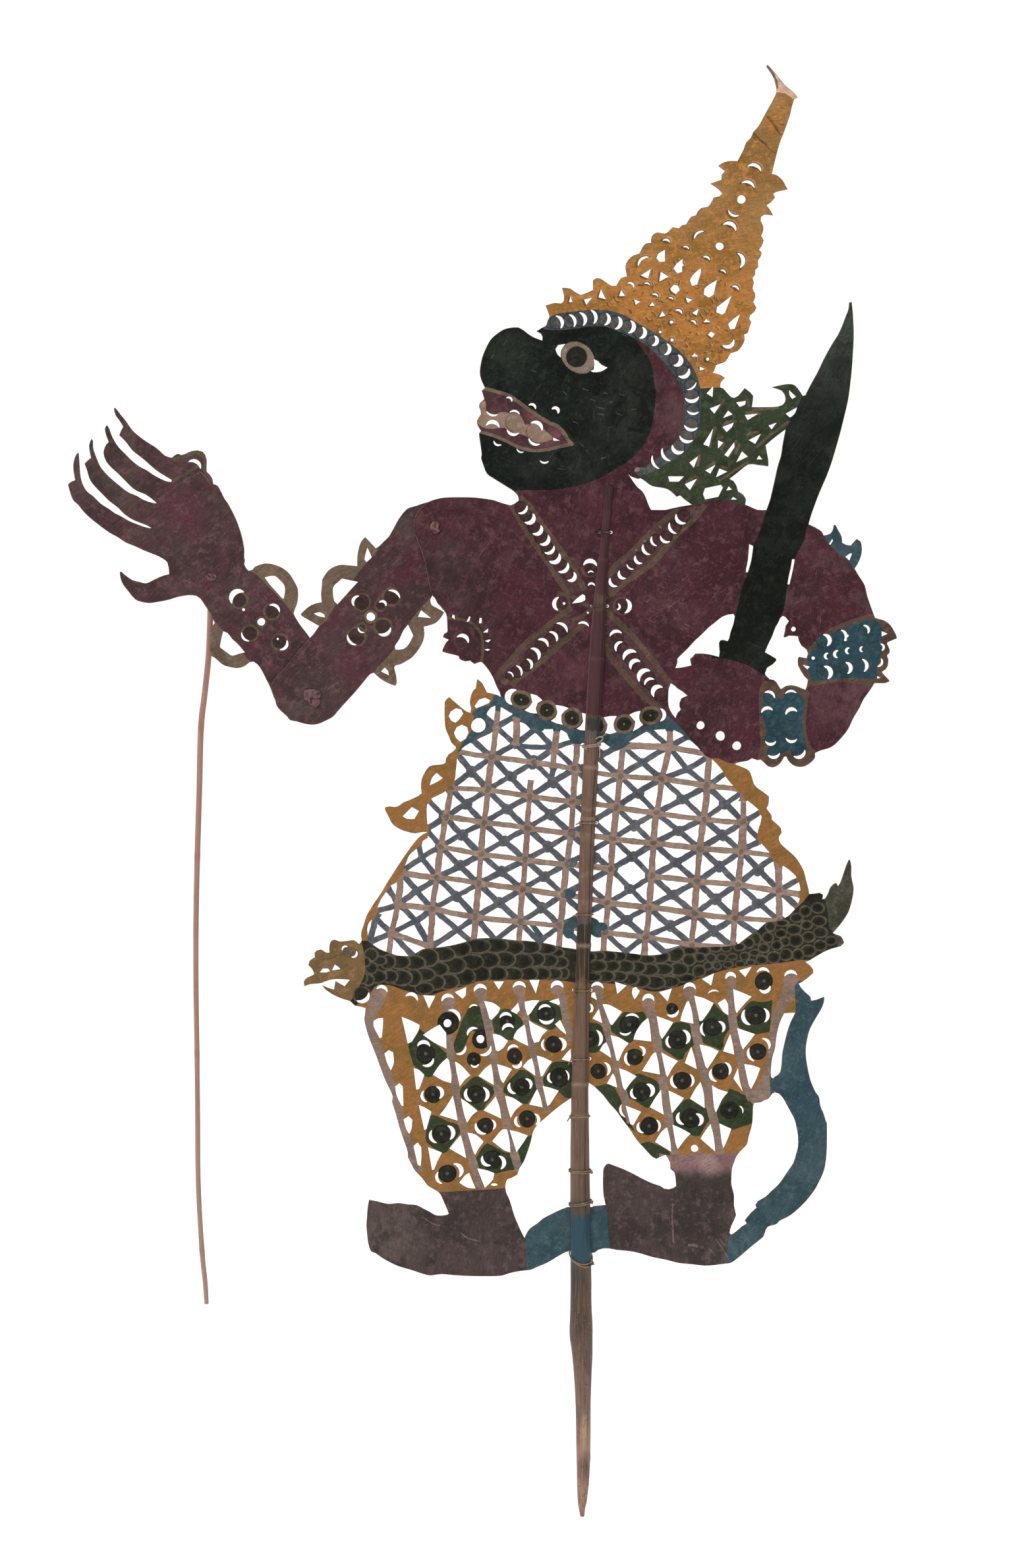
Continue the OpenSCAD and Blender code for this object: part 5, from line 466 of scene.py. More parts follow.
trouser_area = [(590,1495),(605,1500),(620,1505),(640,1510),(655,1510),(670,1505),(690,1500),(705,1497),(720,1492),(735,1488),(800,1487),(850,1488),(885,1493),(915,1492),(960,1497),(990,1505),(1020,1500),
    (1050,1490),(1080,1478),(1120,1468),(1180,1462),(1228,1457),(1250,1470),(1240,1486),(1214,1500),(1209,1538),(1188,1540),(1172,1634),(1170,1662),(1146,1676),(1142,1702),(1132,1742),(1117,1756),
    (1012,1756),(985,1775),(945,1735),(890,1645),(870,1685),(825,1735),(800,1795),(769,1804),(664,1811),(630,1810),(530,1560),(540,1527),(562,1508),(570,1497)]
tail_area = [(1206,1496),(1213,1488),(1262,1500),(1265,1530),(1240,1590),(1265,1690),(1272,1770),(1200,1870),(1110,1930),(1096,1922),(1104,1870),(1150,1815),(1204,1745),(1198,1690),(1180,1662),(1170,1664),
    (1169,1632),(1184,1610),(1196,1550),(1207,1537)]
bridge_area = [(790,1872),(800,1866),(832,1840),(875,1826),(925,1824),(930,1900),(897,1908),(850,1910),(800,1935)]
shoe_left = [(540,1812),(640,1815),(664,1810),(690,1808),(730,1806),(769,1803),(775,1815),(790,1860),(797,1880),(799,1905),(801,1940),(540,1950)]
shoe_right = [(1005,1758),(1014,1753),(1040,1754),(1090,1754),(1120,1752),(1122,1790),(1124,1845),(1108,1872),(1104,1895),(1101,1930),(1060,1935),(926,1902),(923,1865),(918,1828),(900,1790),(900,1750),(930,1758),(1000,1790)]
ankle_area = [(1000,1750),(1020,1754),(1040,1752),(1062,1750),(1090,1752),(1125,1748),(1125,1800),(1100,1806),(1070,1802),(1040,1806),(1020,1804),(1005,1800)]
tip_area = [(1150,90),(1220,140),(1212,153),(1203,152),(1191,143),(1179,141),(1160,120)]
# strips of the trousers: half width and centre line
strips = [
    (10,[(578,1503),(566,1530)]),(6.5,[(568,1526),(561,1555),(570,1585),(580,1610),(590,1640),(600,1670),(608,1700),(616,1730),(626,1757),(637,1778)]),
    (5,[(681,1570),(684,1600),(688,1630),(691,1660),(698,1690),(705,1720),(712,1745),(720,1770),(728,1795),(734,1806)]),
    (5.5,[(729,1504),(735,1530),(741,1555),(745,1580),(749,1605),(751,1630),(757,1660),(764,1690),(772,1715),(778,1740),(784,1764),(789,1778)]),
    (5,[(788,1500),(792,1520),(798,1545),(804,1570),(810,1600),(815,1625),(820,1650),(826,1675),(830,1688)]),
    (5,[(845,1500),(853,1515),(858,1540),(862,1560),(866,1580)]),
    (5,[(905,1502),(910,1520),(918,1550),(926,1580),(934,1610),(941,1640),(949,1670),(957,1704)]),
    (6,[(985,1522),(990,1545),(996,1575),(1000,1605),(1005,1635),(1010,1670),(1015,1700),(1020,1730),(1025,1752)]),
    (6,[(1047,1505),(1050,1530),(1054,1555),(1060,1585),(1065,1615),(1072,1640),(1076,1665),(1082,1695),(1088,1725),(1093,1752)]),
    (5.5,[(1110,1488),(1110,1520),(1112,1550),(1118,1580),(1124,1605),(1130,1630),(1136,1655),(1141,1670)]),
    (8.5,[(681,1514),(680,1528),(680,1536)])]
strip_heads = [(578,1505,11),(681,1516,10),(729,1505,11),(788,1501,10),(845,1500,10),(906,1503,10),(984,1522,11),(1047,1505,10),(1110,1488,8),(1200,1486,11)]
# eyes of the trousers: centre, radius, colour of the diamond round it
eyes = [(646,1599,15,"green"),(680,1553,17,""),(731,1577,15,""),(719,1608,11,""),(770,1550,12,"green"),(829,1538,14,"green"),(840,1585,13,""),(781,1603,12,""),(792,1650,13,"green"),
    (849,1635,15,"green"),(657,1661,13,""),(722,1661,14,"green"),(670,1721,14,"green"),(736,1709,13,""),(800,1698,13,""),(747,1760,15,"green"),(679,1781,14,""),
    (896,1577,12,"green"),(955,1555,15,"green"),(1020,1531,9,""),(1081,1559,14,"green"),(1147,1541,15,"green"),(1029,1578,15,"green"),(963,1604,13,""),(1150,1596,13,""),(908,1626,12,""),
    (1035,1640,14,""),(1094,1626,13,""),(974,1657,14,"green"),(985,1709,14,""),(1048,1697,15,"green"),(1107,1685,14,"green"),(1159,1489,14,"")]
green_cells = [
    [(930,1668),(940,1676),(946,1690),(955,1700),(964,1718),(952,1708),(938,1692),(926,1676)],
    [(637,1562),(650,1572),(668,1590),(678,1600),(677,1609),(668,1616),(660,1626),(655,1634),(645,1634),(638,1625),(628,1617),(625,1608),(621,1595),(620,1583),(626,1574)],
    [(748,1548),(757,1538),(762,1532),(772,1531),(778,1534),(790,1545),(795,1552),(790,1560),(782,1570),(778,1579),(770,1578),(760,1573),(748,1565),(745,1556)],
    [(802,1541),(812,1528),(820,1520),(836,1518),(846,1526),(852,1531),(857,1543),(848,1552),(842,1560),(834,1563),(826,1558),(812,1552),(803,1547)],
    [(764,1652),(772,1640),(784,1628),(788,1624),(797,1624),(808,1632),(813,1640),(818,1652),(812,1660),(804,1670),(800,1676),(793,1675),(782,1668),(770,1662),(764,1658)],
    [(822,1640),(830,1628),(838,1613),(845,1611),(868,1612),(870,1668),(858,1666),(850,1659),(838,1653),(826,1648)],
    [(699,1652),(707,1645),(716,1637),(720,1634),(728,1635),(738,1643),(748,1650),(752,1656),(746,1666),(738,1676),(734,1684),(727,1686),(720,1680),(708,1672),(699,1664)],
    [(650,1700),(655,1692),(664,1694),(680,1702),(694,1706),(699,1716),(692,1728),(684,1738),(678,1748),(668,1750),(658,1742),(648,1734),(646,1724)],
    [(720,1762),(727,1750),(734,1739),(740,1735),(750,1740),(764,1748),(776,1752),(782,1766),(782,1775),(768,1777),(752,1781),(744,1779),(734,1774),(722,1772)],
    [(799,1726),(812,1721),(812,1738),(806,1755),(798,1770),(788,1774),(786,1762),(785,1748),(790,1737)],
    [(885,1553),(900,1552),(912,1556),(918,1566),(922,1576),(914,1588),(908,1596),(898,1598),(885,1596)],
    [(925,1558),(934,1550),(942,1541),(948,1536),(962,1537),(976,1535),(981,1545),(975,1556),(968,1566),(962,1578),(956,1583),(948,1580),(938,1572),(928,1566)],
    [(1003,1572),(1012,1562),(1022,1553),(1028,1551),(1038,1552),(1048,1556),(1054,1568),(1056,1582),(1048,1590),(1040,1598),(1036,1607),(1027,1608),(1018,1600),(1006,1592),(1003,1584)],
    [(1060,1548),(1066,1538),(1076,1530),(1084,1523),(1090,1530),(1098,1537),(1106,1540),(1110,1556),(1104,1566),(1098,1578),(1098,1588),(1094,1594),(1086,1590),(1074,1586),(1064,1580),(1060,1566)],
    [(1116,1546),(1124,1536),(1134,1524),(1142,1519),(1156,1521),(1172,1518),(1170,1545),(1168,1566),(1158,1568),(1146,1570),(1136,1566),(1122,1560)],
    [(947,1654),(956,1644),(962,1634),(968,1629),(980,1633),(992,1638),(999,1644),(1001,1656),(996,1664),(990,1674),(984,1682),(978,1680),(966,1672),(952,1664)],
    [(1016,1690),(1026,1682),(1036,1672),(1044,1668),(1056,1674),(1068,1680),(1075,1686),(1078,1698),(1072,1706),(1066,1716),(1062,1724),(1052,1724),(1042,1718),(1030,1710),(1018,1704)],
    [(1086,1680),(1094,1670),(1102,1660),(1107,1652),(1118,1656),(1130,1662),(1148,1666),(1148,1702),(1132,1708),(1120,1712),(1108,1715),(1098,1708),(1088,1700)],
    [(712,1529),(719,1526),(726,1526),(733,1534),(737,1547),(737,1562),(726,1566),(715,1564),(711,1574),(705,1588),(699,1597),(692,1597),(688,1590),(690,1580),(695,1566),(700,1552),(705,1541)],
    [(900,1650),(912,1647),(922,1645),(932,1650),(940,1665),(944,1676),(940,1686),(944,1696),(952,1704),(940,1716),(920,1690),(900,1665)],
    [(972,1736),(984,1733),(996,1737),(1010,1744),(1018,1750),(1016,1756),(1000,1768),(985,1766)]]
outer_strip = [(1192,1480),(1208,1478),(1212,1492),(1204,1512),(1192,1532),(1185,1550),(1182,1580),(1178,1606),(1174,1630),(1176,1655),(1172,1672),(1156,1680),(1142,1676),(1137,1664),(1146,1650),(1156,1634),
    (1163,1612),(1166,1590),(1167,1570),(1172,1545),(1180,1522),(1188,1500)]

# ----------------------------------------------------------------------------
# Flat shapes
# ----------------------------------------------------------------------------
def X(x):
    return (x - 882) / 3000


def Z(y):
    return (2020 - y) / 3000


def soft(pts, closed=True, corner=48, step=5.0):
    """The outline drawn as a smooth line through its points, with its sharp corners kept."""
    n = len(pts)

    def bend(i):
        if not closed and (i <= 0 or i >= n - 1):
            return 180
        a, b, c = pts[(i - 1) % n], pts[i % n], pts[(i + 1) % n]
        u, v = (b[0] - a[0], b[1] - a[1]), (c[0] - b[0], c[1] - b[1])
        return abs(math.degrees(math.atan2(u[0] * v[1] - u[1] * v[0], u[0] * v[0] + u[1] * v[1])))

    out = []
    for i in range(n if closed else n - 1):
        p1, p2 = pts[i], pts[(i + 1) % n]
        p0 = p1 if bend(i) > corner else pts[(i - 1) % n]
        p3 = p2 if bend(i + 1) > corner else pts[(i + 2) % n]
        k = max(1, round(math.dist(p1, p2) / step))
        for s in range(k):
            t = s / k
            out.append(tuple(0.5 * (2 * p1[j] + (p2[j] - p0[j]) * t + (2 * p0[j] - 5 * p1[j] + 4 * p2[j] - p3[j]) * t * t
                + (3 * p1[j] - p0[j] - 3 * p2[j] + p3[j]) * t ** 3) for j in (0, 1)))
    if not closed:
        out.append(tuple(pts[-1]))
    return out


def disc(x, y, r, ry=None, turn=0, n=16, wob=0.0):
    ry = r if ry is None else ry
    c, s = math.cos(math.radians(turn)), math.sin(math.radians(turn))
    ph = rnd.random() * 6
    out = []
    for i in range(n):
        a = 2 * math.pi * i / n
        k = 1 + wob * math.sin(2 * a + ph) + wob * 0.6 * math.sin(3 * a + 2 * ph)
        u, v = r * k * math.cos(a), ry * k * math.sin(a)
        out.append((x + c * u - s * v, y + s * u + c * v))
    return out


def arc3(a, b, c, n):
    """Points of the circle through three points, from a over b to c."""
    d = 2 * (a[0] * (b[1] - c[1]) + b[0] * (c[1] - a[1]) + c[0] * (a[1] - b[1]))
    if abs(d) < 1e-6:
        return [tuple(a[j] + (c[j] - a[j]) * i / n for j in (0, 1)) for i in range(n + 1)]
    sa, sb, sc = (p[0] ** 2 + p[1] ** 2 for p in (a, b, c))
    x = (sa * (b[1] - c[1]) + sb * (c[1] - a[1]) + sc * (a[1] - b[1])) / d
    y = (sa * (c[0] - b[0]) + sb * (a[0] - c[0]) + sc * (b[0] - a[0])) / d
    r = math.dist(a, (x, y))
    ta, tb, tc = (math.atan2(p[1] - y, p[0] - x) for p in (a, b, c))
    ab, ac = (tb - ta) % (2 * math.pi), (tc - ta) % (2 * math.pi)
    if ab > ac:
        ac -= 2 * math.pi
    return [(x + r * math.cos(ta + ac * i / n), y + r * math.sin(ta + ac * i / n)) for i in range(n + 1)]


def moon(q, n=10, share=0.62, blunt=1.3):
    """A punched crescent: one end, a point of its outer edge, the other end. Both edges are arcs, and the ends are a little blunt."""
    a, b, c = q
    out = arc3(a, b, c, n)
    top = out[n // 2]
    mid = [(a[j] + c[j]) / 2 for j in (0, 1)]
    inn = [top[j] + (mid[j] - top[j]) * share for j in (0, 1)]
    L = math.dist(a, c)
    e = [(c[j] - a[j]) / L * blunt for j in (0, 1)]
    a2, c2 = [a[j] + e[j] for j in (0, 1)], [c[j] - e[j] for j in (0, 1)]
    return out + arc3(c2, inn, a2, n - 2)


def grow(poly, d):
    """A small hole made larger all round."""
    c = [sum(p[j] for p in poly) / len(poly) for j in (0, 1)]
    return [tuple(p[j] + (p[j] - c[j]) / (math.dist(p, c) or 1) * d for j in (0, 1)) for p in poly]


def bit(x, y, r, turn):
    """A small crescent whose bulge points up at turn 0."""
    a = math.radians(turn)
    c, s = math.cos(a), math.sin(a)
    return moon([(x - r * c, y - r * s), (x + 0.8 * r * s, y - 0.8 * r * c), (x + r * c, y + r * s)], 6, 0.7, 1.0)


def stroke(pts, w, step=6.0, wob=0.0, flare=0.0, smooth=True):
    """A brushed line of width w, or a cut bar: its two edges as one outline."""
    p = soft(pts, False, 60, step) if smooth else pts
    n = len(p)
    left, right = [], []
    for i in range(n):
        a, b = p[max(0, i - 1)], p[min(n - 1, i + 1)]
        d = math.dist(a, b) or 1
        nx, ny = -(b[1] - a[1]) / d, (b[0] - a[0]) / d
        t = i / max(1, n - 1)
        h = w / 2 * (1 + flare * max(0, abs(2 * t - 1) - 0.72) / 0.28)
        hl, hr = h * (1 + wob * (rnd.random() * 2 - 1)), h * (1 + wob * (rnd.random() * 2 - 1))
        left.append((p[i][0] + nx * hl, p[i][1] + ny * hl))
        right.append((p[i][0] - nx * hr, p[i][1] - ny * hr))
    return left + right[::-1]


def between(a, b):
    """The area between two edges that run the same way."""
    return list(a) + list(b)[::-1]


def bar(a, b, w):
    d = math.dist(a, b)
    e = [(b[j] - a[j]) / d for j in (0, 1)]
    k = max(4, int(d / 6))
    sway = (rnd.random() - 0.5) * 2.2
    line = []
    for i in range(k + 1):
        t = i / k
        off = sway * math.sin(math.pi * t)
        s = -2 + (d + 4) * t
        line.append((a[0] + e[0] * s - e[1] * off, a[1] + e[1] * s + e[0] * off))
    return stroke(line, w * (0.9 + 0.22 * rnd.random()), wob=0.13, flare=0.55, smooth=False)


def inside(poly, P):
    poly = np.asarray(poly, float)
    res = np.zeros(len(P), bool)
    lo, hi = poly.min(0), poly.max(0)
    near = np.nonzero(((P >= lo) & (P <= hi)).all(1))[0]
    if not len(near):
        return res
    x, y = P[near, 0], P[near, 1]
    r = np.zeros(len(near), bool)
    q = np.roll(poly, -1, 0)
    for (x1, y1), (x2, y2) in zip(poly, q):
        if y1 == y2:
            continue
        c = (y1 > y) != (y2 > y)
        if c.any():
            r ^= c & (x < (x2 - x1) * (y - y1) / (y2 - y1) + x1)
    res[near] = r
    return res


def sheet(name, outline, holes, areas, base, y0, t, mats, edge, warp, field=None, bars=(), grid=17.0, bevel=0.7):
    """A cut and painted hide sheet as one closed mesh. areas is [(outline, paint, clip)] in the order of painting; the last one on top shows.
    In field only the bars are left standing."""
    pts, edges = [], []

    def ring(poly):
        k, n = len(pts), len(poly)
        pts.extend((float(p[0]), float(p[1])) for p in poly)
        edges.extend((k + i, k + (i + 1) % n) for i in range(n))

    ring(outline)
    for h in holes:
        ring(h)
    if field:
        ring(field)
    for b, _ in bars:
        ring(b)
    for a in areas:
        ring(a[0])
    lo = [min(p[j] for p in outline) for j in (0, 1)]
    hi = [max(p[j] for p in outline) for j in (0, 1)]
    g = random.Random(5)
    nx, ny = int((hi[0] - lo[0]) / grid), int((hi[1] - lo[1]) / grid)
    cand = np.array([(lo[0] + (i + 0.5 + 0.5 * (j % 2) + 0.3 * (g.random() - 0.5)) * grid, lo[1] + (j + 0.5 + 0.3 * (g.random() - 0.5)) * grid)
        for i in range(nx + 1) for j in range(ny + 1)])
    cand = cand[inside(outline, cand)]
    pts.extend(map(tuple, cand))

    def cut(pts, edges):
        vs, _, fs, *_ = delaunay_2d_cdt([Vector(p) for p in pts], edges, [], 0, 0.02, False)
        V = np.array([(v.x, v.y) for v in vs])
        F = np.array([f for f in fs if len(f) == 3])
        C = V[F].mean(1)
        keep = inside(outline, C)
        F, C = F[keep], C[keep]
        keep = np.ones(len(F), bool)
        for h in holes:
            keep &= ~inside(h, C)
        paint = np.full(len(F), mats.index(base))
        if field:
            in_field = inside(field, C)
            in_bar = np.zeros(len(F), bool)
            for b, col in bars:
                m = inside(b, C) & in_field
                in_bar |= m
                paint[m] = mats.index(col)
            keep &= ~in_field | in_bar
        clips = {}
        for a in areas:
            m = inside(a[0], C)
            if len(a) > 2 and a[2] is not None:
                if id(a[2]) not in clips:
                    clips[id(a[2])] = inside(a[2], C)
                m &= clips[id(a[2])]
            paint[m] = mats.index(a[1])
        return V, F[keep], paint[keep]

    V, F, paint = cut(pts, edges)
    # cut again with the edges that show: those of the sheet and those between two paints, not what a later paint covers
    sides = {}
    for f, p in zip(F.tolist(), paint.tolist()):
        for i in range(3):
            a, b = f[i], f[(i + 1) % 3]
            sides.setdefault((min(a, b), max(a, b)), []).append(p)
    shown = [e for e, p in sides.items() if len(p) == 1 or p[0] != p[1]]
    border = {v for e, p in sides.items() if len(p) == 1 for v in e}
    links = {}
    for a, b in shown:
        links.setdefault(a, []).append(b)
        links.setdefault(b, []).append(a)
    # a point on a straight run between two paints is left out
    for v in list(links):
        if v in border or len(links[v]) != 2:
            continue
        a, b = links[v]
        d, e = V[b] - V[a], V[v] - V[a]
        if b not in links[a] and abs(d[0] * e[1] - d[1] * e[0]) < 0.12 * math.hypot(*d):
            links[a][links[a].index(v)] = b
            links[b][links[b].index(v)] = a
            del links[v]
    shown = [(a, b) for a in links for b in links[a] if a < b]
    ends = sorted(links)
    place = {v: i for i, v in enumerate(ends)}
    V, F, paint = cut([tuple(V[v]) for v in ends] + list(map(tuple, cand)), [(place[a], place[b]) for a, b in shown])
    # leave out specks that the cutting left loose
    parent = list(range(len(V)))

    def find(i):
        while parent[i] != i:
            parent[i] = parent[parent[i]]
            i = parent[i]
        return i
    for f in F:
        a = find(f[0])
        parent[find(f[1])] = a
        parent[find(f[2])] = find(a)
    root = np.array([find(f[0]) for f in F])
    ids, counts = np.unique(root, return_counts=True)
    main = ids[counts.argmax()]
    F, paint = F[root == main], paint[root == main]
    # orientation: anticlockwise seen from the front, where z is up
    a, b, c = V[F[:, 0]], V[F[:, 1]], V[F[:, 2]]
    area = (b[:, 0] - a[:, 0]) * -(c[:, 1] - a[:, 1]) - (c[:, 0] - a[:, 0]) * -(b[:, 1] - a[:, 1])
    F[area < 0] = F[area < 0][:, ::-1]
    # border
    half = {}
    for f in F:
        for i in range(3):
            half[(f[i], f[(i + 1) % 3])] = True
    rim = [e for e in half if (e[1], e[0]) not in half]
    out_n = np.zeros((len(V), 2))
    count = np.zeros(len(V), int)
    short = np.full(len(V), 1e9)
    for i, j in rim:
        d = V[j] - V[i]
        L = math.hypot(*d) or 1
        nrm = np.array((-d[1], d[0])) / L  # outward on the template, where y is down
        out_n[i] += nrm
        out_n[j] += nrm
        count[[i, j]] += 1
        short[i], short[j] = min(short[i], L), min(short[j], L)
    used = np.unique(F)
    new = {int(v): k for k, v in enumerate(used)}
    nv = len(used)
    L = np.hypot(out_n[:, 0], out_n[:, 1])
    inset = V.copy()
    ok = (count == 2) & (L > 0.5)
    amount = np.minimum(bevel, 0.3 * short)

    def turned(P):
        a, b, c = P[F[:, 0]], P[F[:, 1]], P[F[:, 2]]
        return (c[:, 0] - a[:, 0]) * (b[:, 1] - a[:, 1]) - (b[:, 0] - a[:, 0]) * (c[:, 1] - a[:, 1])

    # the worn edge is drawn in less where a face would fold over
    for step in range(9):
        inset[ok] = V[ok] - out_n[ok] / L[ok][:, None] * amount[ok][:, None]
        folded = turned(inset) < 0.25 * turned(V)
        if not folded.any():
            break
        amount[np.unique(F[folded])] *= 0.5 if step < 6 else 0.0
    inset[ok] = V[ok] - out_n[ok] / L[ok][:, None] * amount[ok][:, None]
    on_rim = sorted({int(v) for e in rim for v in e})
    rimdex = {v: k for k, v in enumerate(on_rim)}
    nr = len(on_rim)
    ch = bevel / 3000 * 1.1
    bow = np.array([warp(*V[v]) for v in used])
    bow_rim = np.array([warp(*V[v]) for v in on_rim])
    co = []
    for k, v in enumerate(used):
        co.append((X(inset[v][0]), y0 + bow[k], Z(inset[v][1])))
    for k, v in enumerate(used):
        co.append((X(inset[v][0]), y0 + t + bow[k], Z(inset[v][1])))
    for k, v in enumerate(on_rim):
        co.append((X(V[v][0]), y0 + ch + bow_rim[k], Z(V[v][1])))
    for k, v in enumerate(on_rim):
        co.append((X(V[v][0]), y0 + t - ch + bow_rim[k], Z(V[v][1])))
    faces, mi = [], []
    for f, p in zip(F, paint):
        i, j, k = (new[int(q)] for q in f)
        faces.append((i, j, k))
        faces.append((k + nv, j + nv, i + nv))
        mi += [p, p]
    e_i = mats.index(edge)
    sharp = set()
    for i, j in rim:
        fi, fj = new[int(i)], new[int(j)]
        ri, rj = rimdex[int(i)] + 2 * nv, rimdex[int(j)] + 2 * nv
        faces += [(fj, fi, ri, rj), (rj, ri, ri + nr, rj + nr), (rj + nr, ri + nr, fi + nv, fj + nv)]
        mi += [e_i] * 3
        sharp.add((min(fi, fj), max(fi, fj)))
        sharp.add((min(fi, fj) + nv, max(fi, fj) + nv))
    me = bpy.data.meshes.new(name)
    me.from_pydata(co, [], faces)
    for m in mats:
        me.materials.append(MATS[m])
    me.polygons.foreach_set("material_index", mi)
    me.polygons.foreach_set("use_smooth", [True] * len(faces))
    at = me.attributes.new("sharp_edge", "BOOLEAN", "EDGE")
    at.data.foreach_set("value", [(min(e.vertices), max(e.vertices)) in sharp for e in me.edges])
    me.update()
    ob = bpy.data.objects.new(name, me)
    bpy.context.scene.collection.objects.link(ob)
    return ob


# ----------------------------------------------------------------------------
# Finishes
# ----------------------------------------------------------------------------
MATS = {}


def lin(c, a=1.0):
    return tuple((v / 255 / 12.92 if v / 255 <= 0.04045 else ((v / 255 + 0.055) / 1.055) ** 2.4) for v in c) + (a,)


class Nodes:
    def __init__(self, name):
        self.m = bpy.data.materials.new(name)
        self.m.use_nodes = True
        self.t = self.m.node_tree
        self.t.nodes.clear()
        self.out = self.t.nodes.new("ShaderNodeOutputMaterial")
        self.b = self.t.nodes.new("ShaderNodeBsdfPrincipled")
        self.t.links.new(self.b.outputs[0], self.out.inputs[0])
        self.tc = self.t.nodes.new("ShaderNodeTexCoord").outputs["Object"]
        MATS[name] = self.m

    def put(self, socket, v):
        if hasattr(v, "is_output"):
            self.t.links.new(v, socket)
        else:
            socket.default_value = v

    def map(self, scale, rot=(0, 0, 0), src=None):
        src = src or self.tc
        if any(rot):
            n = self.t.nodes.new("ShaderNodeMapping")
            n.inputs["Rotation"].default_value = [math.radians(r) for r in rot]
            self.t.links.new(src, n.inputs["Vector"])
            src = n.outputs[0]
        n = self.t.nodes.new("ShaderNodeMapping")
        n.inputs["Scale"].default_value = scale
        self.t.links.new(src, n.inputs["Vector"])
        return n.outputs[0]

    def noise(self, scale, detail=4, rough=0.55, vec=None, dist=0.0):
        n = self.t.nodes.new("ShaderNodeTexNoise")
        n.inputs["Scale"].default_value = scale
        n.inputs["Detail"].default_value = detail
        n.inputs["Roughness"].default_value = rough
        n.inputs["Distortion"].default_value = dist
        self.t.links.new(vec or self.tc, n.inputs["Vector"])
        return n.outputs["Fac"]

    def ramp(self, fac, lo, hi, a=0.0, b=1.0):
        n = self.t.nodes.new("ShaderNodeMapRange")
        n.interpolation_type = "SMOOTHSTEP"
        self.put(n.inputs[0], fac)
        for i, v in zip((1, 2, 3, 4), (lo, hi, a, b)):
            n.inputs[i].default_value = v
        return n.outputs[0]

    def math(self, op, a, b=0.0, c=None):
        n = self.t.nodes.new("ShaderNodeMath")
        n.operation = op
        self.put(n.inputs[0], a)
        self.put(n.inputs[1], b)
        if c is not None:
            self.put(n.inputs[2], c)
        return n.outputs[0]

    def mix(self, fac, a, b, mode="MIX"):
        n = self.t.nodes.new("ShaderNodeMix")
        n.data_type = "RGBA"
        n.blend_type = mode
        self.put(n.inputs[0], fac)
        self.put(n.inputs[6], a)
        self.put(n.inputs[7], b)
        return n.outputs[2]

    def axis(self, i):
        n = self.t.nodes.new("ShaderNodeSeparateXYZ")
        self.t.links.new(self.tc, n.inputs[0])
        return n.outputs[i]

    def bump(self, height, strength, dist=0.0003, normal=None):
        n = self.t.nodes.new("ShaderNodeBump")
        n.inputs["Strength"].default_value = strength
        n.inputs["Distance"].default_value = dist
        self.put(n.inputs["Height"], height)
        if normal:
            self.t.links.new(normal, n.inputs["Normal"])
        return n.outputs[0]

    def finish(self, col, rough, normal=None, spec=0.35, **kw):
        self.put(self.b.inputs["Base Color"], col)
        self.put(self.b.inputs["Roughness"], rough)
        self.b.inputs["Specular IOR Level"].default_value = spec
        if normal:
            self.t.links.new(normal, self.b.inputs["Normal"])
        for k, v in kw.items():
            self.b.inputs[k].default_value = v
        return self.m


def near(k, x, y, r, soft=0.5):
    """1 close to a point of the template, falling to 0 at r."""
    n = k.t.nodes.new("ShaderNodeVectorMath")
    n.operation = "DISTANCE"
    k.t.links.new(k.tc, n.inputs[0])
    n.inputs[1].default_value = (X(x), 0, Z(y))
    return k.ramp(n.outputs["Value"], r / 3000, r / 3000 * (1 - soft))


